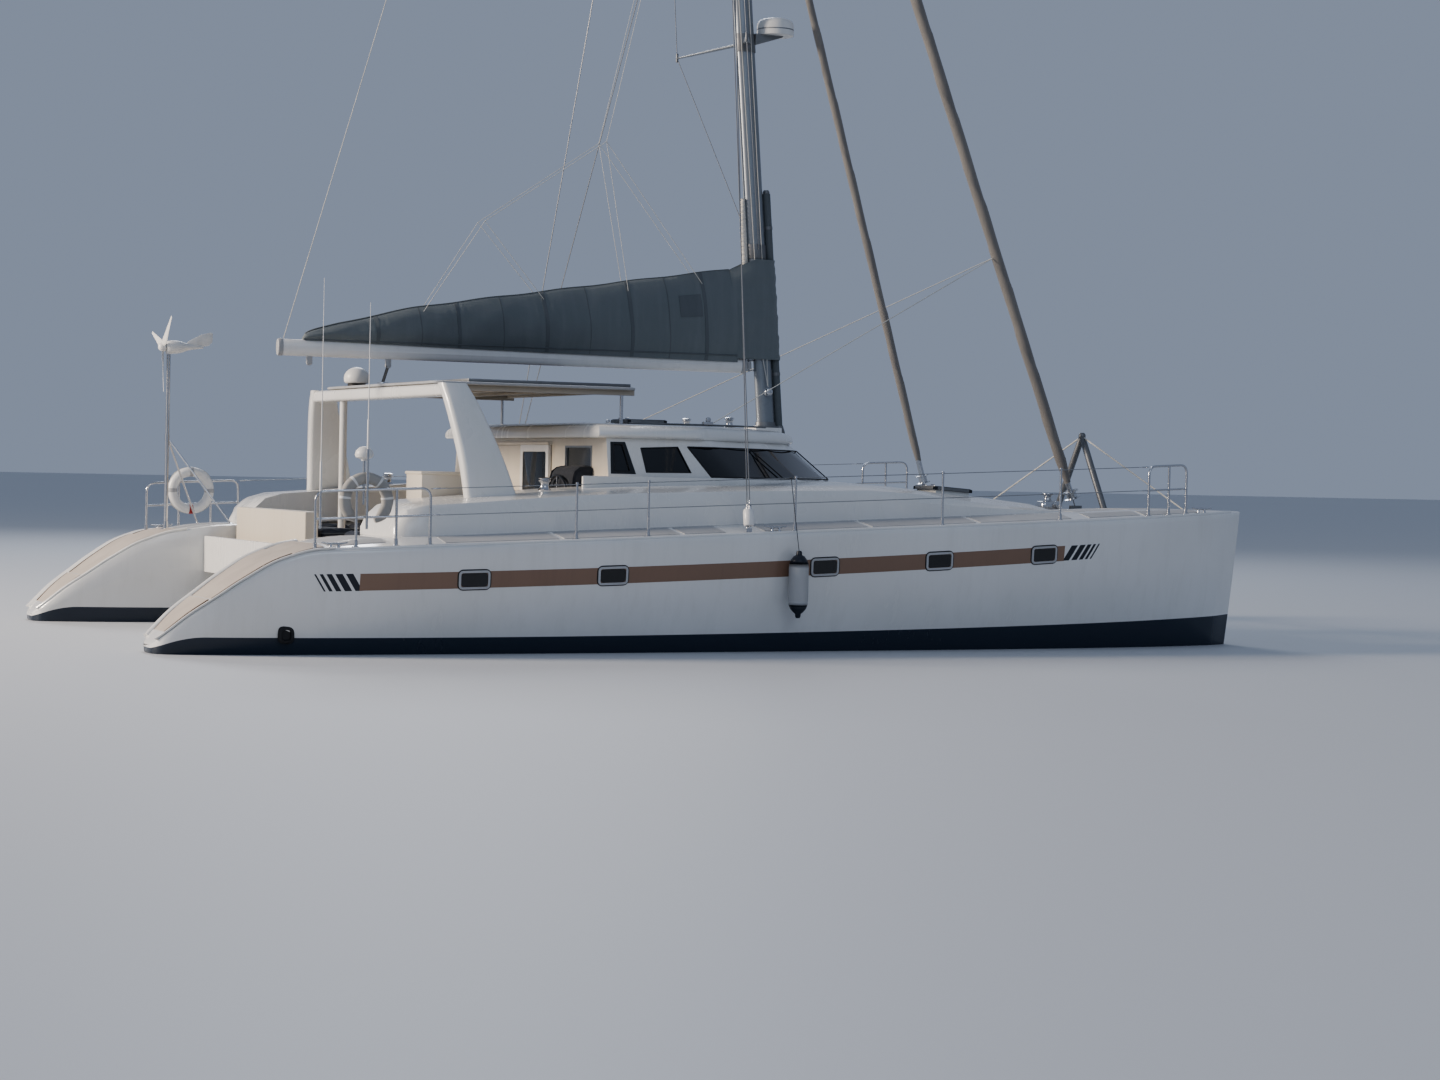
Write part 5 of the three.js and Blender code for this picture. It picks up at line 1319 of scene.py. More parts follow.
def build_mast():
    mast = Shape()
    levels_z = [2.5315, 2.60, *np.arange(3.5, 19, 1.5), 19.06, MAST_TOP]
    mast.add(loft([ellipse_ring(z, MAST_CHORD, MAST_WIDTH) for z in levels_z]))
    track = [mast_point(z, -MAST_CHORD / 2 - 0.004) for z in (4.4, 11, 18.9)]
    mast.add(tube(track, 0.014, 8))
    mast.add(loft([ellipse_ring(z, MAST_CHORD + grow, MAST_WIDTH + grow) for z, grow in
                   ((2.5312, 0.09), (2.553, 0.09), (2.556, 0.03), (2.60, 0.025))]), 1)
    for root, station, y, z in SPREADERS:
        for side in (-1, 1):
            tip = np.array((at(station), side * y, z))
            path = [mix(mast_point(root, 0, side * 0.05), tip, t) for t in (0, 0.1, 0.5, 0.9, 1.0)]
            mast.add(tube(path, [0.05, 0.042, 0.036, 0.027, 0.02], 14, 0.45))
            mast.add(tube([tip + (0, 0, -0.05), tip + (0, 0, 0.06)], 0.016, 10), 1)
        mast.add(mast_band(root, 0.11, 0.022), 1)
    mast.add(tube([mast_point(19.04, -0.26), mast_point(19.04, 0.18)], 0.03, 12), 1)
    mast.add(tube([mast_point(MAST_TOP - 0.02), mast_point(MAST_TOP + 0.40)], [0.008, 0.004], 8), 2)
    for z, grow in ((4.70, 0.02), (STAYSAIL_TOP, 0.03), (GENOA_TOP, 0.03)):
        mast.add(mast_band(z, 0.09, grow), 1)
    mast.make("mast_skin", [MAST_ALLOY, CAST_ALLOY, RUBBER], sharp=40, bevel=0.003, replaces=("mast",),
              slot="mast_alloy")
    fittings = Shape()
    lug = [mast_point(BOOM_Z, x) for x in (-PIN_OFFSET - 0.03, -0.09)]
    for dz in (-0.06, 0.06):
        fittings.add(tube([p + (0, 0, dz) for p in lug], [0.03, 0.036], 12, 0.28))
    axis = np.array((-math.sin(MAST_RAKE), 0, math.cos(MAST_RAKE)))
    pin = mast_point(BOOM_Z, -PIN_OFFSET)
    fittings.add(tube([pin - axis * 0.075, pin + axis * 0.075], 0.0118, 16))
    fittings.make("gooseneck", [STAINLESS], slot="steel")


def wire_run():
    wires = []
    for side in (-1, 1):
        tips = [np.array((at(s), side * y, z)) for _, s, y, z in SPREADERS]
        low, high = (mast_point(z, 0, side * MAST_WIDTH / 2) for z in DIAMOND_ENDS)
        wires.append([low, *tips, high])
    sweep("diamond_wires", wires, 0.0052, WIRE)


build_mast()
wire_run()
print("mast height above water:", MAST_TOP, "m")

# %% [markdown]
# Winches stand on the mast, the coamings and the roof. A winch is a waisted drum with a
# jaw above it that grips the rope's tail. One turned profile serves all of them, at three
# sizes.

# %% Winches
def winch(place, axis, scale=1.0):
    """A self-tailing winch: a waisted drum with a toothed jaw above it."""
    profile = [(0, 0), (0.075, 0), (0.078, 0.012), (0.066, 0.02), (0.052, 0.045), (0.046, 0.075),
               (0.054, 0.10), (0.07, 0.112), (0.07, 0.118), (0.045, 0.122), (0.045, 0.128), (0.07, 0.132),
               (0.07, 0.140), (0.05, 0.15), (0.02, 0.153), (0.018, 0.145), (0, 0.145)]
    return turned([(r * scale, h * scale) for r, h in profile], place, axis, 24)


def place_winches():
    winches = Shape()
    for side in (-1, 1):
        foot = mast_point(2.97, 0, side * (MAST_WIDTH / 2 + 0.004))
        winches.add(winch(foot, (0, side, 0), 0.62))
    for side in (-1, 1):
        winches.add(winch((at(4.42), side * 2.68, 1.715), (0, 0, 1)))
        winches.add(winch((at(7.62), side * 0.62, 2.502), (0, 0, 1), 0.85))
    made = winches.make("winches", [STAINLESS], sharp=50, slot="steel")
    print("faces of the winches:", len(made.data.polygons))


place_winches()

# %% [markdown]
# Wires hold the mast up. The shrouds end in turnbuckles on chainplates at the hulls'
# gunwales. Turnbuckles have a waist and two screws, and the forward one on each side wears
# a white cover that keeps it from chafing sails.

# %% Shrouds and turnbuckles
CHAINPLATE = np.array((at(6.39), -3.765, 1.25))
SHROUD_FOOT = np.array((at(6.39), -3.765, 1.336))
CAP_HEAD, LOWER_HEAD = 15.6, 11.7


def turnbuckle(foot, head, start, length, radius):
    way = unit(head - foot)
    steps = ((0.0, 0.4), (0.12, 0.4), (0.14, 1.0), (0.42, 0.8), (0.58, 0.8), (0.86, 1.0), (0.88, 0.4),
             (1.0, 0.4))
    return tube([foot + way * (start + t * length) for t, _ in steps], [radius * r for _, r in steps], 12)


def build_shrouds():
    steel, cover, wires = Shape(), Shape(), []
    cap = mast_point(CAP_HEAD, 0, -MAST_WIDTH / 2 + 0.004)
    lower = mast_point(LOWER_HEAD, 0, -MAST_WIDTH / 2 + 0.004)
    both_sides(steel, block((CHAINPLATE[0] - 0.032, -3.772, 1.25), (CHAINPLATE[0] + 0.032, -3.758, 1.36)))
    both_sides(steel, turnbuckle(SHROUD_FOOT + (0.018, 0, 0), cap, 0.0, 0.34, 0.019))
    both_sides(steel, turnbuckle(SHROUD_FOOT - (0.018, 0, 0), lower, 0.0, 0.30, 0.017))
    way = unit(cap - SHROUD_FOOT)
    points = [SHROUD_FOOT + way * d for d in (0.05, 0.052, 0.07, 0.215, 0.235, 0.237)]
    both_sides(cover, tube(points, [0.030, 0.052, 0.060, 0.060, 0.050, 0.030], 24))
    for side in (-1, 1):
        flip = np.array((1, -side, 1))
        wires.append([(SHROUD_FOOT + (0.018, 0, 0)) * flip, cap * flip])
        wires.append([(SHROUD_FOOT - (0.018, 0, 0)) * flip, lower * flip])
    steel.make("turnbuckles", [STAINLESS], replaces=("shrouds_starboard", "shrouds_port"), slot="steel")
    cover.make("turnbuckle_covers", [PLASTIC], slot="white_plastic")
    sweep("shroud_wires", wires, 0.0062, WIRE)


build_shrouds()
print("heads of the shrouds:", CAP_HEAD, "and", LOWER_HEAD, "m above water")

# %% [markdown]
# The mainsail lies in a canvas bag on the boom. Canvas sags between the lines that hold
# it up, so the loft's rings move with a few slow waves along the boom and finer gathers
# near the straps. The seams and the strap bands are separate thin strips over it.

# %% Sail bag
# Columns: station, height of the top, half width at the bulge
BAG_SECTIONS = ((2.47, 3.415, 0.024), (2.485, 3.447, 0.042), (2.53, 3.482, 0.055), (2.62, 3.514, 0.064),
                (2.76, 3.549, 0.072), (3.03, 3.618, 0.086), (3.88, 3.820, 0.122), (5.76, 4.125, 0.152),
                (7.20, 4.352, 0.162), (7.985, 4.472, 0.122))
BAG_FOOT = BOOM_Z + BOOM_DEPTH / 2 + 0.0003
BAG_SIDE = ((0.50, -0.055), (0.62, 0.02), (0.80, 0.10), (0.93, 0.20), (1.0, 0.33), (0.98, 0.47),
            (0.88, 0.61), (0.72, 0.74), (0.50, 0.86), (0.27, 0.95), (0.10, 1.0))
STRAPS = (3.35, 4.35, 5.45, 6.55, 7.55)
SEAMS = (3.88, 4.9, 6.0, 7.05)
BAG_AFT, BAG_FORE = 2.47, 7.985


def bag_row(station):
    table = np.array(smooth_line(BAG_SECTIONS, 12))
    return [np.interp(station, table[:, 0], table[:, k]) for k in (1, 2)]


def bag_point(station, number, side, lift=0.0):
    """A point of the bag's cloth; number counts up one side of the section."""
    top, half = bag_row(station)
    w, t = BAG_SIDE[number]
    strap = min(abs(station - s) for s in STRAPS)
    hollow = 0.010 * min(1.0, strap / 0.4)
    gather = 0.006 * math.exp(-((strap / 0.16) ** 2)) * math.sin(61 * station + 3 * t)
    wave = 0.014 * math.sin(2.4 * station + 3.1 * t + side) * math.sin(4.1 * t + 0.6)
    diagonal = 0.008 * math.sin(9.5 * station - 8 * t + 1.7 * side) * math.sin(math.pi * min(1, max(0, t)))
    fade = math.sin(math.pi * min(1.0, max(0.0, t))) if t > 0 else 0.0
    y = w * half + (wave + diagonal + gather) * fade + hollow * fade + lift
    z = BAG_FOOT + t * (top - BAG_FOOT) - (0.012 * math.sin(3.3 * station) ** 2 if t > 0.9 else 0.0)
    x = at(station) - math.tan(MAST_RAKE) * max(0.0, z - BAG_FOOT)
    return np.array((x, side * max(0.004, y), z))


def bag_ring(station):
    sides = [[bag_point(station, i, side) for i in range(len(BAG_SIDE))] for side in (-1, 1)]
    return sides[0] + sides[1][::-1]


def bag_strip(station, width, lift):
    """A flat strap round the bag at a station, as one thin loft for each side."""
    parts = []
    for side in (-1, 1):
        rings = []
        for i in range(len(BAG_SIDE)):
            a, b = (bag_point(station + half, i, side, lift) for half in (-width / 2, width / 2))
            inward = np.array((0, -side * 0.006, 0))
            rings.append([a, b, b + inward, a + inward])
        parts.append(loft(rings))
    return parts


def build_bag():
    stations = np.linspace(BAG_AFT, BAG_FORE, 190)
    bag = Shape().add(loft([bag_ring(s) for s in stations]))
    bag.make("sail_bag_skin", [CANVAS], "boom_and_bag", sharp=60, replaces=("sail_bag",), slot="canvas")
    trim = Shape()
    for bands, width, lift in ((STRAPS, 0.045, 0.004), (SEAMS, 0.012, 0.0025)):
        for station in bands:
            for part in bag_strip(station, width, lift):
                trim.add(part)
    zip_line = [(bag_point(s, -1, -1) + bag_point(s, -1, 1)) / 2 + (0, 0, 0.004)
                for s in np.linspace(2.5, 7.95, 120)]
    trim.add(tube(zip_line, 0.016, 8, 0.5))
    for side in (-1, 1):
        foot = [bag_point(s, 1, side, 0.002) for s in np.linspace(2.48, 7.97, 110)]
        trim.add(tube(foot, 0.009, 6))
    trim.make("sail_bag_trim", [CANVAS_TRIM], "boom_and_bag", sharp=60, slot="canvas")
    panel = []
    for station in np.linspace(7.20, 7.50, 13):
        rows = [bag_point(station, number, -1, 0.005) for number in (5, 6, 7)]
        panel.append(rows + [row + (0, 0.006, 0) for row in rows[::-1]])
    Shape().add(loft(panel)).make("sail_bag_panel", [CANVAS_TRIM], "boom_and_bag", sharp=50, slot="canvas")


build_bag()
print("straps round the bag:", len(STRAPS))

# %% [markdown]
# The boom is an oval tube between two grey end caps. A lug with a hole reaches forward
# from it to the pin on the mast, and the boom swings about that pin. Two blocks hang below
# it, and the mainsheet runs to one of them.

# %% Boom
def boom_ring(x, scale=1.0, sides=28):
    return [(x, BOOM_WIDTH / 2 * scale * math.cos(a), BOOM_Z + BOOM_DEPTH / 2 * scale * math.sin(a))
            for a in circle(sides)]


def build_boom():
    fore, aft = mast_point(BOOM_Z)[0] - PIN_OFFSET - 0.062, at(BOOM_END)
    boom = Shape().add(loft([boom_ring(x) for x in np.linspace(aft, fore, 8)]))
    for start, end in ((aft - 0.012, aft + 0.05), (fore - 0.06, fore + 0.012)):
        cap = ((start, 0.93), (start + 0.012, 1.045), (end - 0.004, 1.045), (end, 0.99))
        boom.add(loft([boom_ring(x, scale) for x, scale in cap]), 1)
    for y in (-0.054, 0.054):
        boom.add(block((at(2.9), y - 0.004, BOOM_Z - 0.02), (at(7.6), y + 0.004, BOOM_Z + 0.002)), 0)
    pin = mast_point(BOOM_Z, -PIN_OFFSET)
    axis = (-math.sin(MAST_RAKE), 0, math.cos(MAST_RAKE))
    ring = [(0.034, -0.045), (0.034, 0.045), (0.0132, 0.045), (0.0132, -0.045), (0.034, -0.045)]
    boom.add(without_caps(turned(ring, pin, axis, 20)), 1)
    boom.add(block((fore - 0.01, -0.03, BOOM_Z - 0.038), (pin[0] - 0.031, 0.03, BOOM_Z + 0.038)), 1)
    boom.make("boom_skin", [BOOM_PAINT, GREY_PLASTIC_AND_SHADE], "boom_and_bag", sharp=40, bevel=0.002,
              replaces=("boom",), slot="boom_alloy")
    gear = Shape()
    for station in (2.55, 3.5):
        x = at(station)
        gear.add(block((x - 0.035, -0.012, BOOM_Z - 0.145), (x + 0.035, 0.012, BOOM_Z - 0.09)))
        gear.add(turned([(0, -0.016), (0.036, -0.016), (0.03, 0), (0.036, 0.016), (0, 0.016)],
                        (x, 0, BOOM_Z - 0.165), (0, 1, 0), 18))
    gear.make("boom_blocks", [GREY_PLASTIC_AND_SHADE], "boom_and_bag", bevel=0.003, slot="white_plastic")


build_boom()
print("boom's axis:", BOOM_Z, "m above water")

# %% [markdown]
# The bag's fore end stops short of the mast, and a canvas collar closes the gap round it.
# The stowed pole and the flaked head of the sail stand along the mast.

# %% Collar, stowed pole and the head of the sail
# Height of the collar's foot, of its top at the bag and of its top at the mast
COLLAR_LOW, COLLAR_AFT, COLLAR_FORE, CLOTH = 3.37, 4.455, 4.62, 0.006
POLE_GIRTH = 0.050
POLE_FOOT = mast_point(2.46, MAST_CHORD / 2 + POLE_GIRTH + 0.008)
POLE_HEAD = mast_point(5.42, MAST_CHORD / 2 + POLE_GIRTH + 0.008)


def pole_point(z):
    return mix(POLE_FOOT, POLE_HEAD, (z - POLE_FOOT[2]) / (POLE_HEAD[2] - POLE_FOOT[2]))


def collar_line(share, number, shrink):
    """The collar's edge, from the bag's port side round the mast and the pole to starboard."""
    z = mix(COLLAR_LOW, COLLAR_AFT, share)
    top, half = bag_row(BAG_FORE)
    share = np.clip((z - BAG_FOOT) / (top - BAG_FOOT), 0, 1)
    sides = np.array(BAG_SIDE)
    width = max(0.035, half * np.interp(share, sides[:, 1], sides[:, 0])) - shrink
    start = np.array((at(BAG_FORE - 0.03) - math.tan(MAST_RAKE) * max(0, z - BAG_FOOT), 0, z))
    slack = 0.008 * math.sin(1.9 * number) * math.sin(0.7 * number) - shrink
    high = mix(COLLAR_LOW, COLLAR_FORE, share)
    front = pole_point(high)[0] + POLE_GIRTH + 0.012 - mast_point(high)[0]
    nose = [mast_point(high, (front + slack) * math.copysign(abs(math.cos(a)) ** 0.8, math.cos(a)),
                       (MAST_WIDTH / 2 + 0.034 + slack) * math.sin(a)) for a in np.linspace(1.75, -1.75, 25)]
    sag = 0.010 * math.sin(0.9 * number)
    first, last = start + (0, width, 0), start + (0, -width, 0)
    lead = [mix(first, nose[0], t) + (0, sag * math.sin(math.pi * t), 0) for t in (0, 0.25, 0.5, 0.75)]
    tail = [mix(nose[-1], last, t) - (0, sag * math.sin(math.pi * t), 0) for t in (0.25, 0.5, 0.75, 1)]
    return lead + nose + tail


def build_collar():
    """The canvas that closes the bag round the mast."""
    rings = []
    for number, share in enumerate(np.linspace(0, 1, 26)):
        rings.append(collar_line(share, number, 0.0) + collar_line(share, number, CLOTH)[::-1])
    collar = in_scene("sail_bag_collar",
                      Shape().add(loft(rings)).mesh("sail_bag_collar", [CANVAS], sharp=60))
    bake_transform(collar)


def stow_pole():
    """The spare pole in its canvas sleeve, upright in front of the mast on two brackets."""
    path = [pole_point(z) for z in np.linspace(POLE_FOOT[2], POLE_HEAD[2], 14)]
    pole = Shape().add(tube(path, POLE_GIRTH, 24))
    axis = POLE_HEAD - POLE_FOOT
    pole.add(turned([(0, 0), (0.040, 0), (0.044, 0.02), (0.030, 0.045), (0, 0.05)], POLE_HEAD, axis, 24), 1)
    boot = [(0, -0.01), (0.075, -0.01), (0.075, 0.02), (0.055, 0.10), (0, 0.10)]
    pole.add(turned(boot, POLE_FOOT, axis, 28), 1)
    for z in (3.20, 5.0):
        pole.add(tube([pole_point(z + dz) for dz in (-0.02, 0.02)], POLE_GIRTH + 0.006, 24), 1)
        pole.add(tube([mast_point(z, MAST_CHORD / 2 - 0.01), pole_point(z)], 0.016, 12), 1)
        pad = [mast_point(z + dz, MAST_CHORD / 2 + 0.004) for dz in (-0.06, 0.06)]
        pole.add(tube(pad, 0.014, 12, 0.5), 1)
    pole.make("stowed_pole", [CANVAS_TRIM, CAST_ALLOY], sharp=50, slot="canvas")


def stack_luff():
    """The head of the mainsail, flaked up against the mast above the bag."""
    rings = []
    for i, z in enumerate(np.linspace(4.44, 5.34, 46)):
        depth = 0.078 + 0.012 * math.sin(2.4 * i) - 0.03 * (i / 45) ** 4
        half = 0.030 + 0.006 * math.sin(2.4 * i + 1)
        middle = -MAST_CHORD / 2 - 0.006 - depth / 2
        rings.append([mast_point(z, middle + depth / 2 * math.cos(a), half * math.sin(a))
                      for a in circle(20)])
    Shape().add(loft(rings)).make("mainsail_head", [SAILCLOTH], sharp=60, slot="rolled_sail")


build_collar()
stow_pole()
stack_luff()
print("head of the stowed pole:", round(float(POLE_HEAD[2]), 2), "m above water")

# %% [markdown]
# Lines run from the boom to the mast: the topping lift at the boom's end and the lazy
# jacks that hold the bag.

# %% Lines between boom and mast
def blended_lines(name, paths, radius, material, sides=8):
    """Tubes along paths, gathered into one mesh in the scene."""
    shape = Shape()
    for path in paths:
        shape.add(tube(path, radius, sides))
    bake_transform(in_scene(name, shape.mesh(name, [material])))


def fine_line(points, steps=24):
    """The same line with many points."""
    path = [np.asarray(p, float) for p in points]
    out = [path[0]]
    for a, b in zip(path, path[1:]):
        out += [mix(a, b, t) for t in np.linspace(0, 1, steps + 1)[1:]]
    return out


def boom_lines():
    lift = [np.array((at(2.24), 0, BOOM_Z + 0.10)), mast_point(MAST_TOP - 0.08, -0.24)]
    blended_lines("topping_lift", [fine_line(lift)], 0.005, ROPE)
    jacks = []
    for side in (-1, 1):
        head = mast_point(12.0, -0.02, side * 0.08)
        knot = np.array((at(4.62), side * 0.12, 4.86))
        lower_knot = np.array((at(6.15), side * 0.12, 5.9))
        for foot, top in zip((3.93, *STRAPS[2:]), (knot, knot, lower_knot, lower_knot)):
            jacks.append(fine_line([bag_point(foot, 8, side, 0.004), top]))
        jacks.append(fine_line([knot, lower_knot, head]))
    blended_lines("lazy_jacks", jacks, 0.0035, ROPE)
    print("runs of the lazy jacks:", len(jacks))


boom_lines()

# %% [markdown]
# Both headsails are rolled round their stays. A rolled sail shows its leech as a spiral,
# so the roll's radius steps once in each turn and the step climbs along the stay. The
# sheets come off the genoa's clew and lead aft to the coach roof.

# %% Furled headsails
GENOA_FOOT, STAYSAIL_FOOT = np.array((at(12.96), 0, 1.64)), np.array((at(10.71), 0, 1.80))
STAY_RADIUS = 0.0078


def rolled_sail(foot, head, radius, pitch):
    """The roll as one skin with a spiral step, tapering to the head."""
    way = head - foot
    length = np.linalg.norm(way)
    way = way / length
    side = unit(np.cross(way, (0, 1, 0)))
    lift = np.cross(way, side)
    rings = []
    for d in np.linspace(0.31, length - 0.53, 300):
        low = min(1.0, 0.55 + 0.45 * (d - 0.3) / 0.32)
        high = 1 - 0.45 * max(0.0, (d - 0.5 * length) / (0.5 * length))
        ring = []
        for a in circle(22):
            spiral = (a / (2 * math.pi) + d / pitch) % 1.0
            r = radius * low * high * (0.90 + 0.13 * spiral) * (1 + 0.02 * math.sin(7 * d + 2 * a))
            ring.append(foot + way * d + r * (math.cos(a) * side + math.sin(a) * lift))
        rings.append(ring)
    return loft(rings), way, length


def drum(foot, way, length, r):
    """The drum at the foot of a furler, of radius r, and the swivel near its head."""
    spool = [(0, 0.09), (r, 0.09), (r, 0.098), (r * 0.62, 0.106), (r * 0.62, 0.172), (r, 0.182), (r, 0.19),
             (0.036, 0.193), (0.034, 0.40), (0, 0.40)]
    low, high = length - 0.545, length - 0.26
    swivel = [(0, low), (0.031, low), (0.031, high), (0, high)]
    return Shape().add(turned(spool, foot, way, 30)).add(turned(swivel, foot, way, 20))


def build_furler(name, node, body, foot, top, radius, pitch, drum_radius):
    head = mast_point(top, MAST_CHORD / 2 - 0.01)
    roll, way, length = rolled_sail(foot, head, radius, pitch)
    Shape().add(roll).make(f"{name}_roll_skin", [ROLL_CLOTH], body, sharp=48, replaces=(node,),
                           slot="rolled_sail")
    drum(foot, way, length, drum_radius).make(f"{name}_drum", [STAINLESS], body, slot="steel")
    stay = Shape()
    for ends in ((foot - way * 0.05, foot + way * 0.12), (foot + way * (length - 0.30), head)):
        stay.add(tube(ends, STAY_RADIUS, 14))
    stay.make(f"{name}_stay", [WIRE], slot="steel")
    return way


ROLL_CLOTH = finish("rolled sail cover", (0.20, 0.19, 0.18), (0.31, 0.29, 0.26), 0.85, 0.1, WEAVE, 0.6,
                    depth=0.006, sheen=0.2)
genoa_way = build_furler("genoa", "furled_genoa", "genoa_roll", GENOA_FOOT, GENOA_TOP, 0.072, 1.15, 0.105)
build_furler("staysail", "furled_staysail", "staysail_roll", STAYSAIL_FOOT, STAYSAIL_TOP, 0.052, 0.9, 0.085)


# How far up the roll the clew is, and where each sheet ends: station, y and height
CLEW_UP = 3.42
SHEET_ENDS = {"starboard": (6.95, -1.45, 2.50), "port": (7.2, 1.6, 2.50)}


def genoa_sheets():
    clew = GENOA_FOOT + genoa_way * CLEW_UP - np.array((0.03, 0, 0))
    for side, (station, y, z) in SHEET_ENDS.items():
        blended_lines(f"genoa_sheet_{side}", [fine_line([clew, (at(station), y, z)], 40)], 0.006, ROPE)


genoa_sheets()
print("genoa sheets:", ", ".join(SHEET_ENDS))

# %% [markdown]
# Guard rails are bent stainless tube at the stern and the bow, and thin wire between
# stanchions along the side. The bends are short curves between straight runs, which is how
# a tube bender leaves them. Each post stands in a small socket bolted to the deck.

# %% Guard rails
RAIL_INSET, RAIL_TOP, RAIL_MIDDLE, RAIL_RADIUS = 0.11, 0.61, 0.32, 0.0145
HOOP_TOP, WIRE_TOP = RAIL_TOP - 0.008, RAIL_TOP - 0.014
PUSHPIT = (1.56, 1.98, 2.40, 2.76)
STANCHIONS = (4.37, 5.20, 6.96, 8.82, 10.40, 11.71)
PULPIT = (11.71, 12.04, 12.34)


def rail_point(station, height):
    row = hull_row(station)
    return np.array((at(station), -HULL_CENTRE - row[2] + RAIL_INSET, row[4] + height))


def rail_foot(station):
    row = hull_row(station)
    return deck_point(station, row[2] - RAIL_INSET)


def bent_rail(stations):
    """A hoop of tube over a row of posts, bent down into the first and the last."""
    tops = [rail_point(s, HOOP_TOP) for s in stations]
    path = [rail_foot(stations[0]), *tops, rail_foot(stations[-1])]
    return tube(rounded(path, 0.11, 6), RAIL_RADIUS, 12)


def socket(station):
    foot = rail_foot(station)
    profile = [(0, -0.004), (0.042, -0.004), (0.042, 0.006), (0.022, 0.012), (0.0195, 0.075), (0, 0.075)]
    return turned(profile, foot, sides=20)


def build_rails():
    rails, wires = Shape(), []
    for stations in (PUSHPIT, PULPIT):
        both_sides(rails, bent_rail(stations))
        both_sides(rails, tube([rail_point(s, RAIL_MIDDLE) for s in stations], 0.0125, 12))
        for station in stations[1:-1]:
            post = [rail_foot(station), rail_point(station, HOOP_TOP)]
            both_sides(rails, tube(post, RAIL_RADIUS, 12))
    for station in STANCHIONS[:-1]:
        both_sides(rails, tube([rail_foot(station), rail_point(station, RAIL_TOP)], [0.0135, 0.0125], 12))
        both_sides(rails, turned([(0, -0.012), (0.016, -0.01), (0.016, 0.004), (0.01, 0.009), (0, 0.01)],
                                 rail_point(station, RAIL_TOP), sides=14))
    for station in (*PUSHPIT, *STANCHIONS, *PULPIT[1:]):
        both_sides(rails, socket(station))
    for height in (WIRE_TOP, RAIL_MIDDLE):
        line = [rail_point(s, height) for s in (PUSHPIT[-1], *STANCHIONS)]
        for flip in (np.array((1, 1, 1)), np.array((1, -1, 1))):
            wires.append([p * flip for p in line])
        for near, far in ((PUSHPIT[-1], STANCHIONS[0]), (STANCHIONS[-1], STANCHIONS[-2])):
            start, way = rail_point(near, height), unit(rail_point(far, height) - rail_point(near, height))
            both_sides(rails, tube([start + way * d for d in (0.02, 0.03, 0.10, 0.11, 0.17)],
                                   [0.004, 0.0085, 0.0085, 0.005, 0.005], 10))
    rails.make("guard_rails", [STAINLESS], sharp=45, replaces=("guard_rail_starboard", "guard_rail_port"),
               slot="steel")
    sweep("guard_wires", wires, 0.0042, WIRE)


build_rails()
print("stanchions on each side:", len(STANCHIONS))

# %% [markdown]
# The fore beam joins the bows and takes the pull of the genoa. Above it an A of two struts
# and two wires makes a truss, and behind it a walkway leads from the foredeck to the
# windlass. The end flanges are bolted to the hulls.

# %% Fore beam, striker and walkway
BEAM_STATION, BEAM_Z, BEAM_RADIUS = 13.05, 1.49, 0.09
APEX = np.array((at(BEAM_STATION), 0, 2.54))
WALK_TOP, WALK_AFT = 1.576, 10.745
SLATS, SLAT_PITCH, SLAT_GAP, SLAT_HALF = 15, 0.145, 0.012, 0.345
WINDLASS_STATION = 12.56


def build_beam():
    beam = Shape().add(tube([(at(BEAM_STATION), y, BEAM_Z) for y in (-2.85, 0, 2.85)], BEAM_RADIUS, 32))
    for side in (-1, 1):
        for y in (0.58, 2.45):
            collar = [(at(BEAM_STATION), side * (y + half), BEAM_Z) for half in (-0.05, 0.05)]
            beam.add(tube(collar, BEAM_RADIUS + 0.006, 32), 1)
        foot = np.array((at(BEAM_STATION), side * 0.58, BEAM_Z + 0.075))
        strut = [foot, mix(foot, APEX, 0.04), mix(foot, APEX, 0.96), APEX]
        beam.add(tube(strut, [0.030, 0.042, 0.042, 0.028], 18), 1)
        beam.add(turned([(0.13, 0), (0.13, 0.014), (0.095, 0.02), (0.09, 0.06), (0, 0.06), (0, 0)],
                        (at(BEAM_STATION), side * 2.62, BEAM_Z), (0, -side, 0), 28), 1)
    knot = [(0, -0.05), (0.03, -0.045), (0.047, -0.02), (0.047, 0.02), (0.03, 0.045), (0, 0.05)]
    beam.add(turned(knot, APEX), 1)
    beam.add(block((at(12.89), -0.022, 1.55), (at(13.06), 0.022, 1.63)), 1)
    for side in (-1, 1):
        rail = [(at(10.735), side * 0.31, 1.548), (at(13.0), side * 0.31, 1.548)]
        beam.add(tube(rail, 0.028, 12), 0)
    beam.make("fore_beam_skin", [BOOM_PAINT, CAST_ALLOY], sharp=40, bevel=0.003, replaces=("fore_beam",),
              slot="boom_alloy")
    slats = Shape()
    for i in range(SLATS):
        start = WALK_AFT + i * SLAT_PITCH
        end = start + SLAT_PITCH - SLAT_GAP
        slats.add(block((at(start), -SLAT_HALF, WALK_TOP - 0.022), (at(end), SLAT_HALF, WALK_TOP)))
    # The slats take the same grey, darkened as painted shade.
    slats.make("walkway_slats", [SHADED_NONSKID], bevel=0.004, slot="boom_alloy")
    wires = [[(at(BEAM_STATION), side * 2.45, BEAM_Z + 0.09), APEX] for side in (-1, 1)]
    sweep("striker_wires", wires, 0.010, ROPE)
    profile = [(0, 0), (0.075, 0), (0.075, 0.035), (0.045, 0.05), (0.03, 0.078), (0, 0.078)]
    fitting = Shape().add(turned(profile, (at(10.69), 0, 1.715)))
    fitting.make("staysail_chainplate", [STAINLESS], slot="steel")


build_beam()


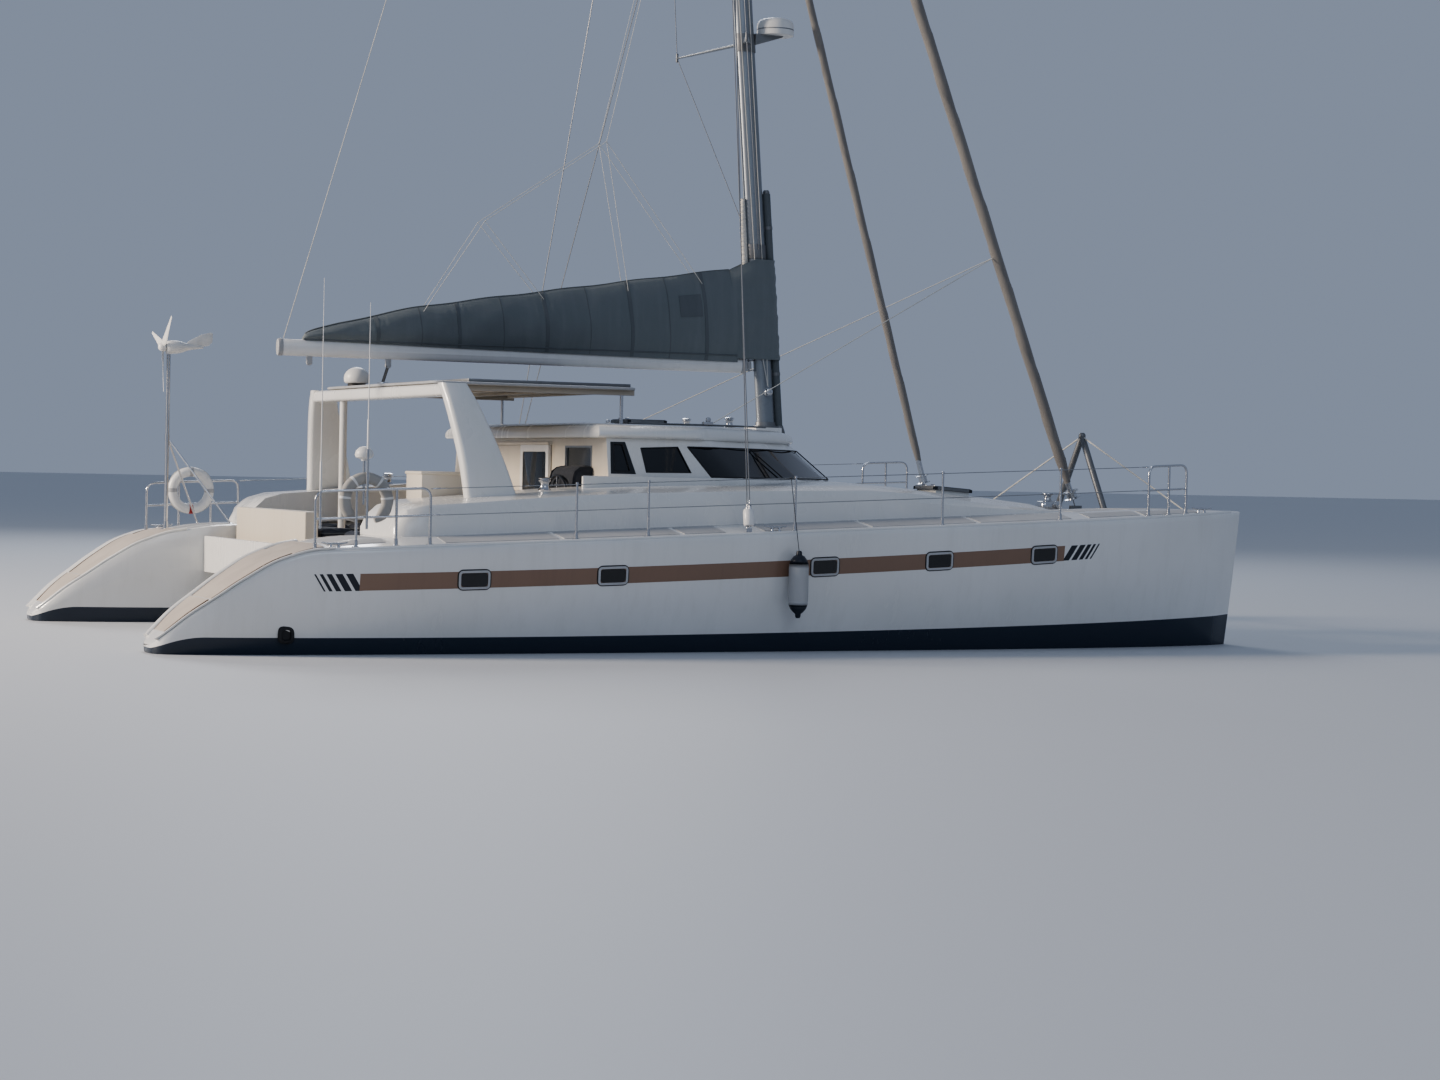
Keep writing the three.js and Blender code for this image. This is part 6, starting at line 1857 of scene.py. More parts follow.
def build_windlass():
    x, top = at(WINDLASS_STATION), WALK_TOP + 0.0003
    gear = Shape()
    gear.add(loft([[(x + px * f, py * f2, top + z) for px, py in rounded_rectangle(0.30, 0.22, 0.05, 5)]
                   for f, f2, z in ((1, 1, 0), (1, 1, 0.07), (0.92, 0.9, 0.10), (0.7, 0.66, 0.112))]))
    capstan = [(0, 0.09), (0.062, 0.09), (0.066, 0.10), (0.05, 0.125), (0.044, 0.15), (0.05, 0.175),
               (0.073, 0.19), (0.075, 0.20), (0.07, 0.212), (0.03, 0.215), (0, 0.215)]
    gear.add(turned(capstan, (x - 0.02, 0, top), sides=32))
    gypsy = [(0, 0.10), (0.05, 0.10), (0.05, 0.112), (0.036, 0.12), (0.036, 0.15), (0.05, 0.158), (0, 0.16)]
    for side in (-1, 1):
        gear.add(turned(gypsy, (x + 0.06, 0, top + 0.06), (0, side, 0), 26))
    gear.make("windlass_skin", [STAINLESS], sharp=45, bevel=0.002, replaces=("windlass",), slot="steel")


build_windlass()
print("slats of the walkway:", SLATS)

# %% [markdown]
# The trampolines are nets stretched between the beam, the walkway and the hulls. The cloth
# is one thin sheet and its open mesh is a pattern of the material's alpha. Lacing zigzags
# between the sheet's edge and the boat, and it is swept along a path of short straight runs.

# %% Trampoline nets
NET_Z, NET_GAP, NET_SAG = 1.545, 0.055, 0.02
NET_AFT, NET_FORE, NET_INNER = 10.76, 12.95, 0.35
MESH_PITCH, MESH_THREAD = 0.045, 0.085


def net_cloth():
    made = finish("trampoline netting", (0.62, 0.62, 0.60), (0.42, 0.42, 0.40), 0.8, 0.15, WEAVE, 0.3)
    tree = made.node_tree
    axes = object_axes(tree)
    threads = []
    for axis in ("X", "Y"):
        threads.append(math_node(tree, "LESS_THAN", zigzag(tree, axes[axis], MESH_PITCH), MESH_THREAD))
    net = math_node(tree, "MAXIMUM", *threads)
    tree.links.new(net, tree.nodes["Principled BSDF"].inputs["Alpha"])
    return made


NETTING = net_cloth()


def net_edge(station):
    """How far out a net reaches at a station."""
    return HULL_CENTRE - hull_row(station)[3] - 0.012


def build_net(side, name):
    stations = np.linspace(NET_AFT + NET_GAP, NET_FORE - NET_GAP, 24)
    verts, rows = [], 20
    for s in stations:
        outer = net_edge(s) - NET_GAP
        for t in np.linspace(0, 1, rows):
            u = (s - stations[0]) / (stations[-1] - stations[0])
            sag = NET_SAG * math.sin(math.pi * t) * math.sin(math.pi * u)
            verts.append((at(s), side * mix(NET_INNER + NET_GAP, outer, t), NET_Z - sag))
    faces = []
    for r in range(len(stations) - 1):
        for c in range(rows - 1):
            a = r * rows + c
            face = (a, a + rows, a + rows + 1, a + 1)
            faces.append(face if side > 0 else face[::-1])
    sheet = Shape().add((verts, faces)).make(f"net_{name}", [NETTING], replaces=(f"trampoline_{name}",),
                                             slot="net")
    area = sum(polygon.area for polygon in sheet.data.polygons)
    hem_path = [verts[r * rows] for r in range(len(stations))]
    hem_path += [verts[(len(stations) - 1) * rows + c] for c in range(1, rows)]
    hem_path += [verts[r * rows + rows - 1] for r in range(len(stations) - 2, -1, -1)]
    hem_path += [verts[c] for c in range(rows - 2, -1, -1)]
    hem = sweep(f"net_hem_{name}", [hem_path], 0.009, CANVAS_TRIM)
    lacing = []
    for along_walkway in (True, False):
        line = []
        for i, s in enumerate(np.linspace(stations[0], stations[-1], 56)):
            reach = NET_INNER if along_walkway else net_edge(s)
            cloth = NET_INNER + NET_GAP if along_walkway else net_edge(s) - NET_GAP
            line.append((at(s), side * (reach if i % 2 else cloth), NET_Z))
        lacing.append(line)
    for s, edge in ((stations[-1], NET_FORE), (stations[0], NET_AFT + 0.002)):
        line = []
        for i, t in enumerate(np.linspace(0.02, 0.98, 50)):
            y = mix(NET_INNER + NET_GAP, net_edge(s) - NET_GAP, t)
            line.append((at(edge if i % 2 else s), side * y, NET_Z))
        lacing.append(line)
    laced = sweep(f"net_lacing_{name}", lacing, 0.0035, ROPE)
    return area


print("net areas:", [round(build_net(side, name), 2) for side, name in ((-1, "starboard"), (1, "port"))])

# %% [markdown]
# Lifebuoys hang inside the pushpit, a ring to port and a horseshoe to starboard. The
# horseshoe is foam in a cloth cover, so it is made as a soft piece with a pulled-in seam.
# The ring is a hard shell with four bands that hold its grab line.

# %% Lifebuoys
RING_RADIUS, RING_TUBE = 0.235, 0.06
HORSESHOE_RADIUS = 0.2285


def node_middle(node):
    """The middle of the box round a solid."""
    return np.mean([tuple(corner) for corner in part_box(node)], axis=0)


def ring_point(place, angle, radius, across=0.0):
    """A point of a ring that faces across the boat."""
    return np.array(place) + (radius * math.cos(angle), across, radius * math.sin(angle))


def closed_ring(path, radius, sides=20):
    """A tube along a closed path."""
    return without_caps(tube(path, radius, sides))


def build_ring_buoy():
    place = node_middle("ring_buoy")
    ring, bands = Shape(), Shape()
    path = [ring_point(place, a, RING_RADIUS) for a in np.linspace(0, 2 * math.pi, 73)]
    ring.add(closed_ring(path, RING_TUBE - 0.001, 24))
    for k in range(4):
        a = math.radians(90 * k)
        arc = [ring_point(place, a + d, RING_RADIUS) for d in (-0.10, 0.0, 0.10)]
        bands.add(tube(arc, RING_TUBE + 0.0015, 24), 1 if k == 3 else 0)
    line = []
    for k in range(4):
        for t in np.linspace(0, 1, 9)[:-1]:
            a = math.radians(45 + 90 * (k + t))
            r = RING_RADIUS + RING_TUBE + 0.006 - 0.01 * math.sin(math.pi * t)
            line.append(ring_point(place, a, r, -0.004 * math.sin(math.pi * t)))
    line.append(line[0])
    ring.make("ring_buoy_skin", [PLASTIC], replaces=("ring_buoy",), slot="white_plastic")
    bands.make("ring_buoy_bands", [GREY_PLASTIC_AND_SHADE, RED_PAINT], slot="white_plastic")
    sweep("ring_buoy_line", [line], 0.005, ROPE)


def build_horseshoe():
    place = node_middle("horseshoe_buoy")
    place[2] = node_middle("ring_buoy")[2]
    rings = []
    steps = 60
    start, end = -1.15, math.pi + 1.15
    for i in range(steps + 1):
        a = mix(start, end, i / steps)
        pinch = 1 - 0.05 * abs(math.sin(6.5 * a)) ** 6
        nose = min(1.0, 0.45 + 3.2 * min(i, steps - i) / steps * 2)
        section = rounded_rectangle(0.122 * pinch * nose, 0.106 * pinch * nose, 0.046 * pinch * nose, 5)
        rings.append([ring_point(place, a, HORSESHOE_RADIUS + x, t) for x, t in section])
    buoy = Shape().add(loft(rings))
    buoy.make("horseshoe_buoy_skin", [BUOY_CLOTH], sharp=60, replaces=("horseshoe_buoy",),
                        slot="buoy_cover")
    straps, section = Shape(), rounded_rectangle(0.127, 0.112, 0.046, 5)
    for a in (0.1, 0.95, math.pi / 2, math.pi - 0.95, math.pi - 0.1):
        straps.add(loft([[ring_point(place, a + d, HORSESHOE_RADIUS + x, t) for x, t in section]
                         for d in (-0.05, 0.05)]))
    straps.make("horseshoe_straps", [PLASTIC], slot="buoy_cover")


build_ring_buoy()
build_horseshoe()
print("ring buoy:", round(2 * (RING_RADIUS + RING_TUBE), 2), "m across")

# %% [markdown]
# The wind generator has a smooth body that yaws on its pole and three twisted blades. A
# blade is lofted from thin wing sections that turn flatter towards the tip, because the
# tip meets the air at a smaller angle.

# %% Wind generator
POLE_STATION, POLE_Y, HEAD_Z, ROTOR_RADIUS = 1.64, 2.90, 3.36, 0.56
FIRST_BLADE = 0.35


def build_wind_pole():
    foot = deck_height(POLE_STATION, POLE_Y - HULL_CENTRE)
    x = at(POLE_STATION)
    pole = Shape()
    pole.add(tube([(x, POLE_Y, foot - 0.01), (x, POLE_Y, HEAD_Z - 0.09)], 0.025, 20))
    pole.add(turned([(0, foot - 0.004), (0.075, foot - 0.004), (0.075, foot + 0.01), (0.034, foot + 0.02),
                     (0.029, foot + 0.10), (0, foot + 0.10)], (x, POLE_Y, 0)))
    pole.add(tube([(x, POLE_Y, HEAD_Z - 0.10), (x, POLE_Y, HEAD_Z - 0.04)], 0.0128, 16))
    for ds, dy in ((0.72, -0.35), (0.52, 0.46)):
        end = np.array((x + ds, POLE_Y + dy, 0))
        end[2] = deck_height(POLE_STATION + ds, POLE_Y + dy - HULL_CENTRE)
        pole.add(tube([(x, POLE_Y, 2.25), end], 0.012, 12))
        pole.add(turned([(0, -0.004), (0.04, -0.004), (0.04, 0.006), (0.016, 0.014), (0, 0.014)], end,
                        sides=18))
    pole.add(tube([(x, POLE_Y, 2.21), (x, POLE_Y, 2.29)], 0.031, 20))
    pole.make("wind_pole_skin", [STAINLESS], sharp=45, replaces=("wind_pole",), slot="steel")


def build_wind_head():
    place = np.array((at(POLE_STATION), POLE_Y, HEAD_Z))
    head = Shape()
    profile = [(0, -0.034), (0.056, -0.034), (0.074, -0.018), (0.082, 0.03), (0.080, 0.10), (0.066, 0.17),
               (0.046, 0.22), (0.032, 0.28), (0.022, 0.36), (0.015, 0.43), (0, 0.435)]
    head.add(turned(profile, place, (1, 0, 0.03), 28))
    fin = [(0.20, 0.0), (0.40, 0.010), (0.50, 0.035), (0.545, 0.08), (0.55, 0.185), (0.53, 0.20),
           (0.40, 0.165), (0.24, 0.075)]
    outline = [(place[0] + x, place[2] + z) for x, z in fin]
    head.add(plate(outline, place[1] - 0.004, place[1] + 0.004))
    head.add(turned([(0, -0.085), (0.036, -0.085), (0.038, -0.03), (0.034, 0), (0, 0)], place, sides=20))
    head.make("wind_head_skin", [PLASTIC], "generator_head", sharp=40, bevel=0.002, replaces=("wind_head",),
              slot="white_plastic")


def blade(turn, place):
    """One blade pointing out at an angle, its sections twisting from the root to the tip."""
    out = np.array((0, math.cos(turn), math.sin(turn)))
    around = np.array((0, -math.sin(turn), math.cos(turn)))
    aft = np.array((1.0, 0, 0))
    rings = []
    for t in np.linspace(0, 1, 14):
        r = mix(0.03, ROTOR_RADIUS, t)
        chord = np.interp(t, (0, 0.16, 0.5, 1), (0.050, 0.088, 0.066, 0.030))
        twist = math.radians(mix(34, 8, t ** 0.7))
        thick = np.interp(t, (0, 0.2, 1), (0.016, 0.010, 0.003))
        along = around * math.cos(twist) + aft * math.sin(twist)
        normal = aft * math.cos(twist) - around * math.sin(twist)
        ring = []
        for a in circle(12):
            u = 0.5 * math.cos(a)
            ring.append(place + out * r + along * chord * (u + 0.12)
                        + normal * thick * 0.5 * math.sin(a) * (1.1 + u))
        rings.append(ring)
    return loft(rings)


def build_rotor():
    place = np.array((at(POLE_STATION) - 0.08, POLE_Y, HEAD_Z))
    hub = [(0, 0.05), (0.028, 0.046), (0.046, 0.03), (0.055, 0.0), (0.056, -0.036), (0, -0.036)]
    rotor = Shape().add(turned(hub, place, (-1, 0, 0), 28))
    rotor.add(tube([place + (0.03, 0, 0), place + (0.12, 0, 0)], 0.0125, 14))
    for k in range(3):
        rotor.add(blade(FIRST_BLADE + k * 2 * math.pi / 3, place))
    rotor.make("wind_rotor_skin", [PLASTIC], "generator_rotor", sharp=40, replaces=("wind_rotor",),
               slot="white_plastic")


build_wind_pole()
build_wind_head()
build_rotor()
print("rotor:", 2 * ROTOR_RADIUS, "m across")

# %% [markdown]
# The fender hangs on a rope from the guard wire. Its ends are navy and its body is a greyish
# white. It is turned from three profiles, and it narrows to a neck where the rope is tied.

# %% Fender
FENDER_STATION, FENDER_Y, FENDER_TOP = 6.90, -3.975, 1.11


def build_fender():
    place = np.array((at(FENDER_STATION), FENDER_Y, FENDER_TOP))
    body = [(0.104, -0.575), (0.109, -0.53), (0.110, -0.40), (0.1085, -0.30), (0.110, -0.18), (0.106, -0.13)]
    low = [(0, -0.72), (0.022, -0.718), (0.03, -0.70), (0.032, -0.672), (0.055, -0.655), (0.085, -0.62),
           body[0]]
    high = [body[-1], (0.09, -0.085), (0.06, -0.045), (0.034, -0.03), (0.031, -0.002), (0.024, 0.014),
            (0, 0.018)]
    fender = Shape()
    for number, profile in ((0, body), (1, low), (1, high)):
        part = turned(profile, place, sides=32)
        fender.add(without_caps(part) if profile is body else part, number)
    fender.make("fender_skin", [FENDER_VINYL, NAVY_VINYL], sharp=50, replaces=("fender",),
                slot="fender_vinyl")
    wire = rail_point(FENDER_STATION, WIRE_TOP)
    rope = [place, mix(place, wire, 0.5), wire + (0, -0.004, 0)]
    loop = [wire + (0.006 * k, 0.010 * math.cos(k * 1.57), 0.010 * math.sin(k * 1.57)) for k in range(-3, 4)]
    sweep("fender_rope", [rope, loop], 0.0045, DARK_ROPE)


build_fender()
print("eye of the fender:", FENDER_TOP, "m above water")

# %% [markdown]
# Small deck gear tells the eye how big the boat is: mooring cleats, antennas, the engine's
# exhaust above the water and the hatches' handles. The cleats are copies of one shape.

# %% Cleats, antennas and small gear
def cleat():
    """A mooring cleat on Z 0, with its horns along X."""
    line = [(x, 0, z) for x, z in ((-0.14, 0.062), (-0.07, 0.05), (0, 0.052), (0.07, 0.05), (0.14, 0.062))]
    girth = [0.007] + [0.010] * 3 + [0.013] * 9 + [0.010] * 3 + [0.007]
    shape = Shape().add(tube(smooth_line(line, 4), girth, 10))
    for x in (-0.045, 0.045):
        shape.add(tube([(x, 0, 0), (x * 0.9, 0, 0.052)], [0.019, 0.011], 12))
    shape.add(block((-0.075, -0.022, -0.002), (0.075, 0.022, 0.006)))
    return shape.verts, shape.faces


CLEATS, CLEAT_INSET = (1.76, 6.72, 12.62), 0.10


def place_cleats():
    places = []
    for side in (-1, 1):
        for station in CLEATS:
            row = hull_row(station)
            point = deck_point(station, row[2] - CLEAT_INSET)
            places.append((point * (1, -side, 1), (1, 0, 0), (0, 0, 1)))
    repeat("mooring_cleats", cleat(), places, STAINLESS, sharp=45)


# Columns of a whip: station, height of its foot, height of its tip
WHIPS = ((1.60, 1.66, 3.85), (2.08, 2.10, 3.62))
WHIP_OUT, CLAMP_Z, DOME_IN = 0.03, 1.62, 0.09


def place_antennas():
    """Two whips outboard of the rail, and a small dome inboard of it beside the second."""
    whips = Shape()
    for station, foot, top in WHIPS:
        x, y, _ = rail_point(station, 0)
        whip = [(x, y - WHIP_OUT, z) for z in (foot, foot + 0.32, foot + 0.33, top)]
        whips.add(tube(whip, [0.013, 0.012, 0.006, 0.003], 10))
        whips.add(tube([(x, y - WHIP_OUT, 1.30), (x, y - WHIP_OUT, foot + 0.02)], 0.014, 12), 1)
        whips.add(tube([(x, y, CLAMP_Z), (x, y - WHIP_OUT, CLAMP_Z)], 0.012, 10), 1)
    whips.add(turned([(0, 0), (0.028, 0), (0.030, 0.014), (0.086, 0.035), (0.098, 0.063), (0.086, 0.105),
                      (0.049, 0.140), (0, 0.151)], (x, y + DOME_IN, 2.00), sides=28))
    whips.add(tube([(x, y + DOME_IN, 1.55), (x, y + DOME_IN, 2.01)], 0.014, 12), 1)
    whips.make("antennas", [PLASTIC, STAINLESS], sharp=45, slot="white_plastic")


def exhaust_plate():
    station, z = 1.29, 0.215
    hit, normal = side_hit(at(station), z)
    rings = []
    for scale, lift in ((1.0, -0.01), (1.0, 0.014), (0.86, 0.03), (0.6, 0.034), (0.5, 0.012)):
        rings.append([hit + normal * lift + (x * scale, 0, z * scale)
                      for x, z in rounded_rectangle(0.17, 0.19, 0.06, 5)])
    exhausts = Shape()
    both_sides(exhausts, loft(rings))
    exhausts.make("exhaust_fittings", [RUBBER], sharp=50, slot="gelcoat")


LID_SIZE, LID_BAR, LID_HIGH, LID_LOW = 0.522, 0.035, 0.047, 0.004
# Columns: body, station, y, height, slope in radians
LIDS = (("lid_fore_starboard", 9.90, -1.85, 1.7953, -0.07), ("lid_fore_port", 9.90, 1.85, 1.7953, -0.07),
        ("lid_roof", 6.70, 0.0, 2.5353, 0.0))


def hatch_frames():
    """A rim and two handles on each lid; the lids and what is on them lift."""
    verts, faces = frame_ring(LID_SIZE, LID_SIZE, LID_BAR, LID_HIGH, 0.05)
    rim = ([(x, y, max(z, LID_LOW)) for x, y, z in verts], faces)
    for body, station, y, z, slope in LIDS:
        turn = Matrix.Translation((at(station), y, z)) @ Matrix.Rotation(-slope, 4, "Y")
        shape = Shape().add(moved(rim, turn), 0)
        for side in (-1, 1):
            path = [(-0.20, side * y, z)
                    for y, z in ((0.15, 0.04), (0.15, 0.062), (0.06, 0.062), (0.06, 0.04))]
            shape.add(moved(tube(rounded(path, 0.012, 3), 0.006, 8), turn), 1)
        shape.make(f"{body}_rim", [CAST_ALLOY, STAINLESS], body, sharp=40, slot="alloy")


place_cleats()
place_antennas()
exhaust_plate()
hatch_frames()
print("cleats:", 2 * len(CLEATS))

# %% [markdown]
# Cushions are foam in a sewn cover. The cover is blown up by a short cloth simulation: the
# top crowns, the sides pull in between the corners, and the underside stays flat where it
# rests. Each size is simulated once, and its copies are turned and moved to their places.

# %% Cushions
VOXEL, FRAMES, PRESSURE, MOST_SWELL = 0.012, 20, 4.0, 0.024


def pad_outline(length, width, inset=0.0, pull=0.012):
    """A cushion's plan: round corners, and sides that pull in between them."""
    return [(x * (1 - 2 * pull / length * math.cos(math.pi * y / width)),
             y * (1 - 2 * pull / width * math.cos(math.pi * x / length)))
            for x, y in rounded_rectangle(length - 2 * inset, width - 2 * inset, 0.05, 5)]


def voxel_pad(length, width, thick):
    rings = [[(x, y, z) for x, y in pad_outline(length, width, inset)]
             for inset, z in ((0.034, 0.0), (0.018, 0.012), (0.012, thick * 0.5), (0.018, thick - 0.020),
                              (0.036, thick - 0.008))]
    piece = in_scene("pad", Shape().add(loft(rings)).mesh("pad", []))
    grid = piece.modifiers.new("even faces", "REMESH")
    grid.mode, grid.voxel_size = "VOXEL", VOXEL
    return plain_mesh(piece)


def swelled(mesh):
    """The vertices of a pad after the cloth is blown up, with no point moved too far."""
    start = np.array([v.co for v in mesh.vertices])
    piece = in_scene("swelling pad", mesh)
    cloth = piece.modifiers.new("cloth", "CLOTH")
    cloth.settings.use_pressure = True
    cloth.settings.uniform_pressure_force = PRESSURE
    cloth.settings.effector_weights.gravity = 0
    cloth.point_cache.frame_start, cloth.point_cache.frame_end = 1, FRAMES
    for frame_number in range(1, FRAMES + 1):
        bpy.context.scene.frame_set(frame_number)
    end = np.array([v.co for v in plain_mesh(piece).vertices])
    bpy.context.scene.frame_set(1)
    step = end - start
    far = np.linalg.norm(step, axis=1)[:, None]
    return start + step * np.minimum(1, MOST_SWELL / np.maximum(far, 1e-6))


def sewn_pad(length, width, thick):
    """A swelled cushion as a part, and the path of the piping round its side."""
    mesh = voxel_pad(length, width, thick)
    faces = [tuple(polygon.vertices) for polygon in mesh.polygons]
    points = swelled(mesh)
    points[:, 2] = np.maximum(points[:, 2], 0)
    cover = BVHTree.FromPolygons([Vector(p) for p in points], faces)
    piping = []
    for x, y in pad_outline(length, width):
        level = Vector((0, 0, thick * 0.52))
        out = Vector((x, y, 0)) * 1.5
        hit = cover.ray_cast(level + out, -out)[0]
        piping.append(hit if hit else level + out / 1.5)
    return (points.tolist(), faces), piping + piping[:1]


SEWN = {}


def cushion(name, size, place, turn=(0, 0, 0)):
    """A padded piece of a size, turned by degrees about X, then Y, then Z, with its piping."""
    if size not in SEWN:
        SEWN[size] = sewn_pad(*size)
    part, piping = SEWN[size]
    turning = Matrix.Translation(place)
    for degrees, axis in zip(turn[::-1], "ZYX"):
        turning = turning @ Matrix.Rotation(math.radians(degrees), 4, axis)
    pad = Shape().add(moved(part, turning)).make(name, [NAVY_SEAT], sharp=70, slot="vinyl")
    return [tuple(turning @ Vector(p)) for p in piping]


print("frames of the cloth simulation:", FRAMES)

# %% [markdown]
# The cockpit's seats are mouldings with lockers below. Their edges are rounded, each
# locker door is a thin raised panel with a small pull, and the cushions lie on top.

# %% Cockpit seats
SEAT_Y, SEAT_Z = 1.856, 1.1303
SEAT_FRONT, BENCH_FRONT = 1.56, 2.98
# Columns: the axis that a door faces along, its place on that axis, and where it starts and ends
LOCKER_DOORS = (("y", -SEAT_FRONT, 2.50, 3.17), ("y", -SEAT_FRONT, 3.22, 3.89),
                ("y", SEAT_FRONT, 3.10, 3.70), ("y", SEAT_FRONT, 3.76, 4.34), ("y", SEAT_FRONT, 4.40, 4.94),
                ("x", BENCH_FRONT, -0.62, 0.05), ("x", BENCH_FRONT, 0.11, 0.78),
                ("x", BENCH_FRONT, 0.84, 1.50))
DOOR_HEIGHT, DOOR_MIDDLE, KNOB_Z = 0.28, 0.90, 1.0
KNOB = [(0, 0), (0.022, 0), (0.022, 0.006), (0, 0.006)]


def fit_lockers():
    """Raised doors on the seats' fronts, each with a round pull."""
    doors = Shape()
    sunk, proud = -0.004, 0.010
    for axis, place, start, end in LOCKER_DOORS:
        middle = (start + end) / 2
        outline = [(u + middle, z + DOOR_MIDDLE)
                   for u, z in rounded_rectangle(end - start, DOOR_HEIGHT, 0.04)]
        if axis == "y":
            inward = 1 if place < 0 else -1
            rings = [[(at(u), place + inward * lift, z) for u, z in outline] for lift in (sunk, proud)]
            knob = turned(KNOB, (at(middle), place + inward * proud, KNOB_Z), (0, inward, 0), 20)
        else:
            rings = [[(at(place) + lift, u, z) for u, z in outline] for lift in (sunk, proud)]
            knob = turned(KNOB, (at(place) + proud, middle, KNOB_Z), (1, 0, 0), 20)
        doors.add(knob, 1).add(loft(rings))
    doors.make("seat_lockers", [GELCOAT, STAINLESS], bevel=0.003, slot="gelcoat")


def lay_cushions():
    seams = [cushion("seat_pad_starboard_1", (0.72, 0.53, 0.09), (at(2.80), -SEAT_Y, SEAT_Z))]
    for number, station in enumerate((3.32, 3.98, 4.64)):
        seams.append(cushion(f"seat_pad_port_{number + 1}", (0.64, 0.53, 0.09),
                             (at(station), SEAT_Y, SEAT_Z)))
    for number, y in enumerate((-0.33, 0.41, 1.15)):
        seams.append(cushion(f"bench_pad_{number + 1}", (0.72, 0.46, 0.09), (at(2.73), y, SEAT_Z),
                             (0, 0, 90)))
    sweep("cushion_piping", seams, 0.0045, CANVAS_TRIM)


refined("cockpit_seat_starboard", CREAM_AND_SUNLIT, bevel=0.018)
refined("cockpit_seat_port", CREAM_AND_SUNLIT, bevel=0.018)
fit_lockers()
lay_cushions()
print("cushion sizes simulated:", len(SEWN))

# %% [markdown]
# The helm is a moulded console with a wheel of five spokes. A fitted canvas hood covers the
# instruments while the boat lies idle, so it is a loft over the console's side profile
# with slow folds in it. The wheel's rim is wrapped in dark leather.

# %% Helm
HELM_Y = -1.7
WHEEL_CENTRE = np.array((at(4.96), HELM_Y, 1.56))
WHEEL_RADIUS, WHEEL_GRIP = 0.33, 0.0155
HOOD_HALF = 0.352
# The hood's profile: station and height, from its aft hem over the top to the bulkhead
HOOD = ((5.012, 1.50), (5.004, 1.62), (5.000, 1.74), (5.006, 1.86), (5.03, 1.94), (5.09, 1.985), (5.16, 2.0),
        (5.236, 1.995))
HOOD_FORE = HOOD[-1][0]


def build_hood():
    profile = smooth_line(HOOD, 4)
    rings = []
    for y in np.linspace(-HOOD_HALF, HOOD_HALF, 29):
        edge = (abs(y) / HOOD_HALF) ** 10
        ring = []
        for i, (station, z) in enumerate(profile):
            fold = 0.005 * math.sin(17 * y + 0.5 * i) + 0.004 * math.sin(41 * y - 0.9 * i)
            ring.append((at(station) + 0.022 * edge + fold, HELM_Y + y, z - 0.030 * edge + fold))
        inner = [(at(5.07 + 0.03 * t), HELM_Y + y, mix(1.50, 1.86, t)) for t in (1.0, 0.6, 0.0)]
        rings.append(ring + [(at(HOOD_FORE), HELM_Y + y, 1.86)] + inner)
    hood = Shape().add(loft(rings))
    for side in (-1, 1):
        flap = [(at(s), z) for s, z in [*HOOD[1:], (HOOD_FORE, 1.56), (5.02, 1.56)]]
        hood.add(plate(flap, HELM_Y + side * 0.333, HELM_Y + side * 0.349))
    # Its near-black colour is navy canvas with painted shade from the hard top.
    hood.make("console_hood", [SHADED_HOOD_CANVAS], sharp=60, slot="canvas")


def build_wheel():
    wheel = Shape()
    rim = [WHEEL_CENTRE + (0, WHEEL_RADIUS * math.sin(a), WHEEL_RADIUS * math.cos(a))
           for a in np.linspace(0, 2 * math.pi, 73)]
    wheel.add(closed_ring(rim, WHEEL_GRIP, 14), 1)
    for k in range(5):
        a = 2 * math.pi * k / 5
        out = np.array((0, math.sin(a), math.cos(a)))
        path = [WHEEL_CENTRE + out * r for r in (0.03, 0.12, 0.22, WHEEL_RADIUS - 0.006)]
        wheel.add(tube(path, [0.010, 0.008, 0.008, 0.009], 12))
    hub = [(0, -0.027), (0.026, -0.026), (0.040, -0.018), (0.045, -0.004), (0.045, 0.056), (0, 0.056)]
    wheel.add(turned(hub, WHEEL_CENTRE, (1, 0, 0), 32))
    wheel.add(tube([WHEEL_CENTRE, WHEEL_CENTRE + (0.15, 0, 0)], 0.018, 20))
    wheel.make("steering_wheel_skin", [STAINLESS, NAVY_VINYL], "wheel", sharp=45,
               replaces=("steering_wheel",), slot="steel")


def build_helm_seat():
    base = Shape().add(block((at(4.08), HELM_Y - 0.38, SOLE_Z), (at(4.455), HELM_Y + 0.38, 1.30)))
    base.add(block((at(3.99), HELM_Y - 0.37, 1.36), (at(4.03), HELM_Y + 0.37, 1.93)))
    base.add(block((at(3.99), HELM_Y - 0.30, 1.20), (at(4.10), HELM_Y + 0.30, 1.40)))
    base.make("helm_seat_base", [CREAM_AND_SUNLIT], bevel=0.018, replaces=("helm_seat",), slot="gelcoat")
    seat = cushion("helm_seat_pad", (0.74, 0.42, 0.10), (at(4.275), HELM_Y, 1.3003), (0, 0, 90))
    back = cushion("helm_seat_back", (0.74, 0.50, 0.075), (at(4.032), HELM_Y, 1.685), (90, 0, 90))
    sweep("helm_seat_piping", [seat, back], 0.0045, CANVAS_TRIM)
    locker = Shape().add(block((at(3.20), -2.115, SEAT_Z), (at(3.945), -1.60, 1.885)))
    locker.add(block((at(3.185), -2.13, 1.868), (at(3.96), -1.585, 1.905)))
    locker.make("helm_locker", [CREAM_AND_SUNLIT], bevel=0.016, slot="gelcoat")


refined("helm_console", GELCOAT, bevel=0.02)
build_hood()
build_wheel()
build_helm_seat()
print("steering wheel:", 2 * WHEEL_RADIUS, "m across")

# %% [markdown]
# The door slides to port. Its leaf is a white alloy frame around a dark pane, with a
# vertical pull at its free edge. The other panes are solids of the right form already, so
# they only get a thin rounded edge, which is where acrylic shows its thickness.

# %% Door and panes
LEAF_LOW, LEAF_HIGH = np.array((-0.80, 0.7353)), np.array((0.10, 2.2417))


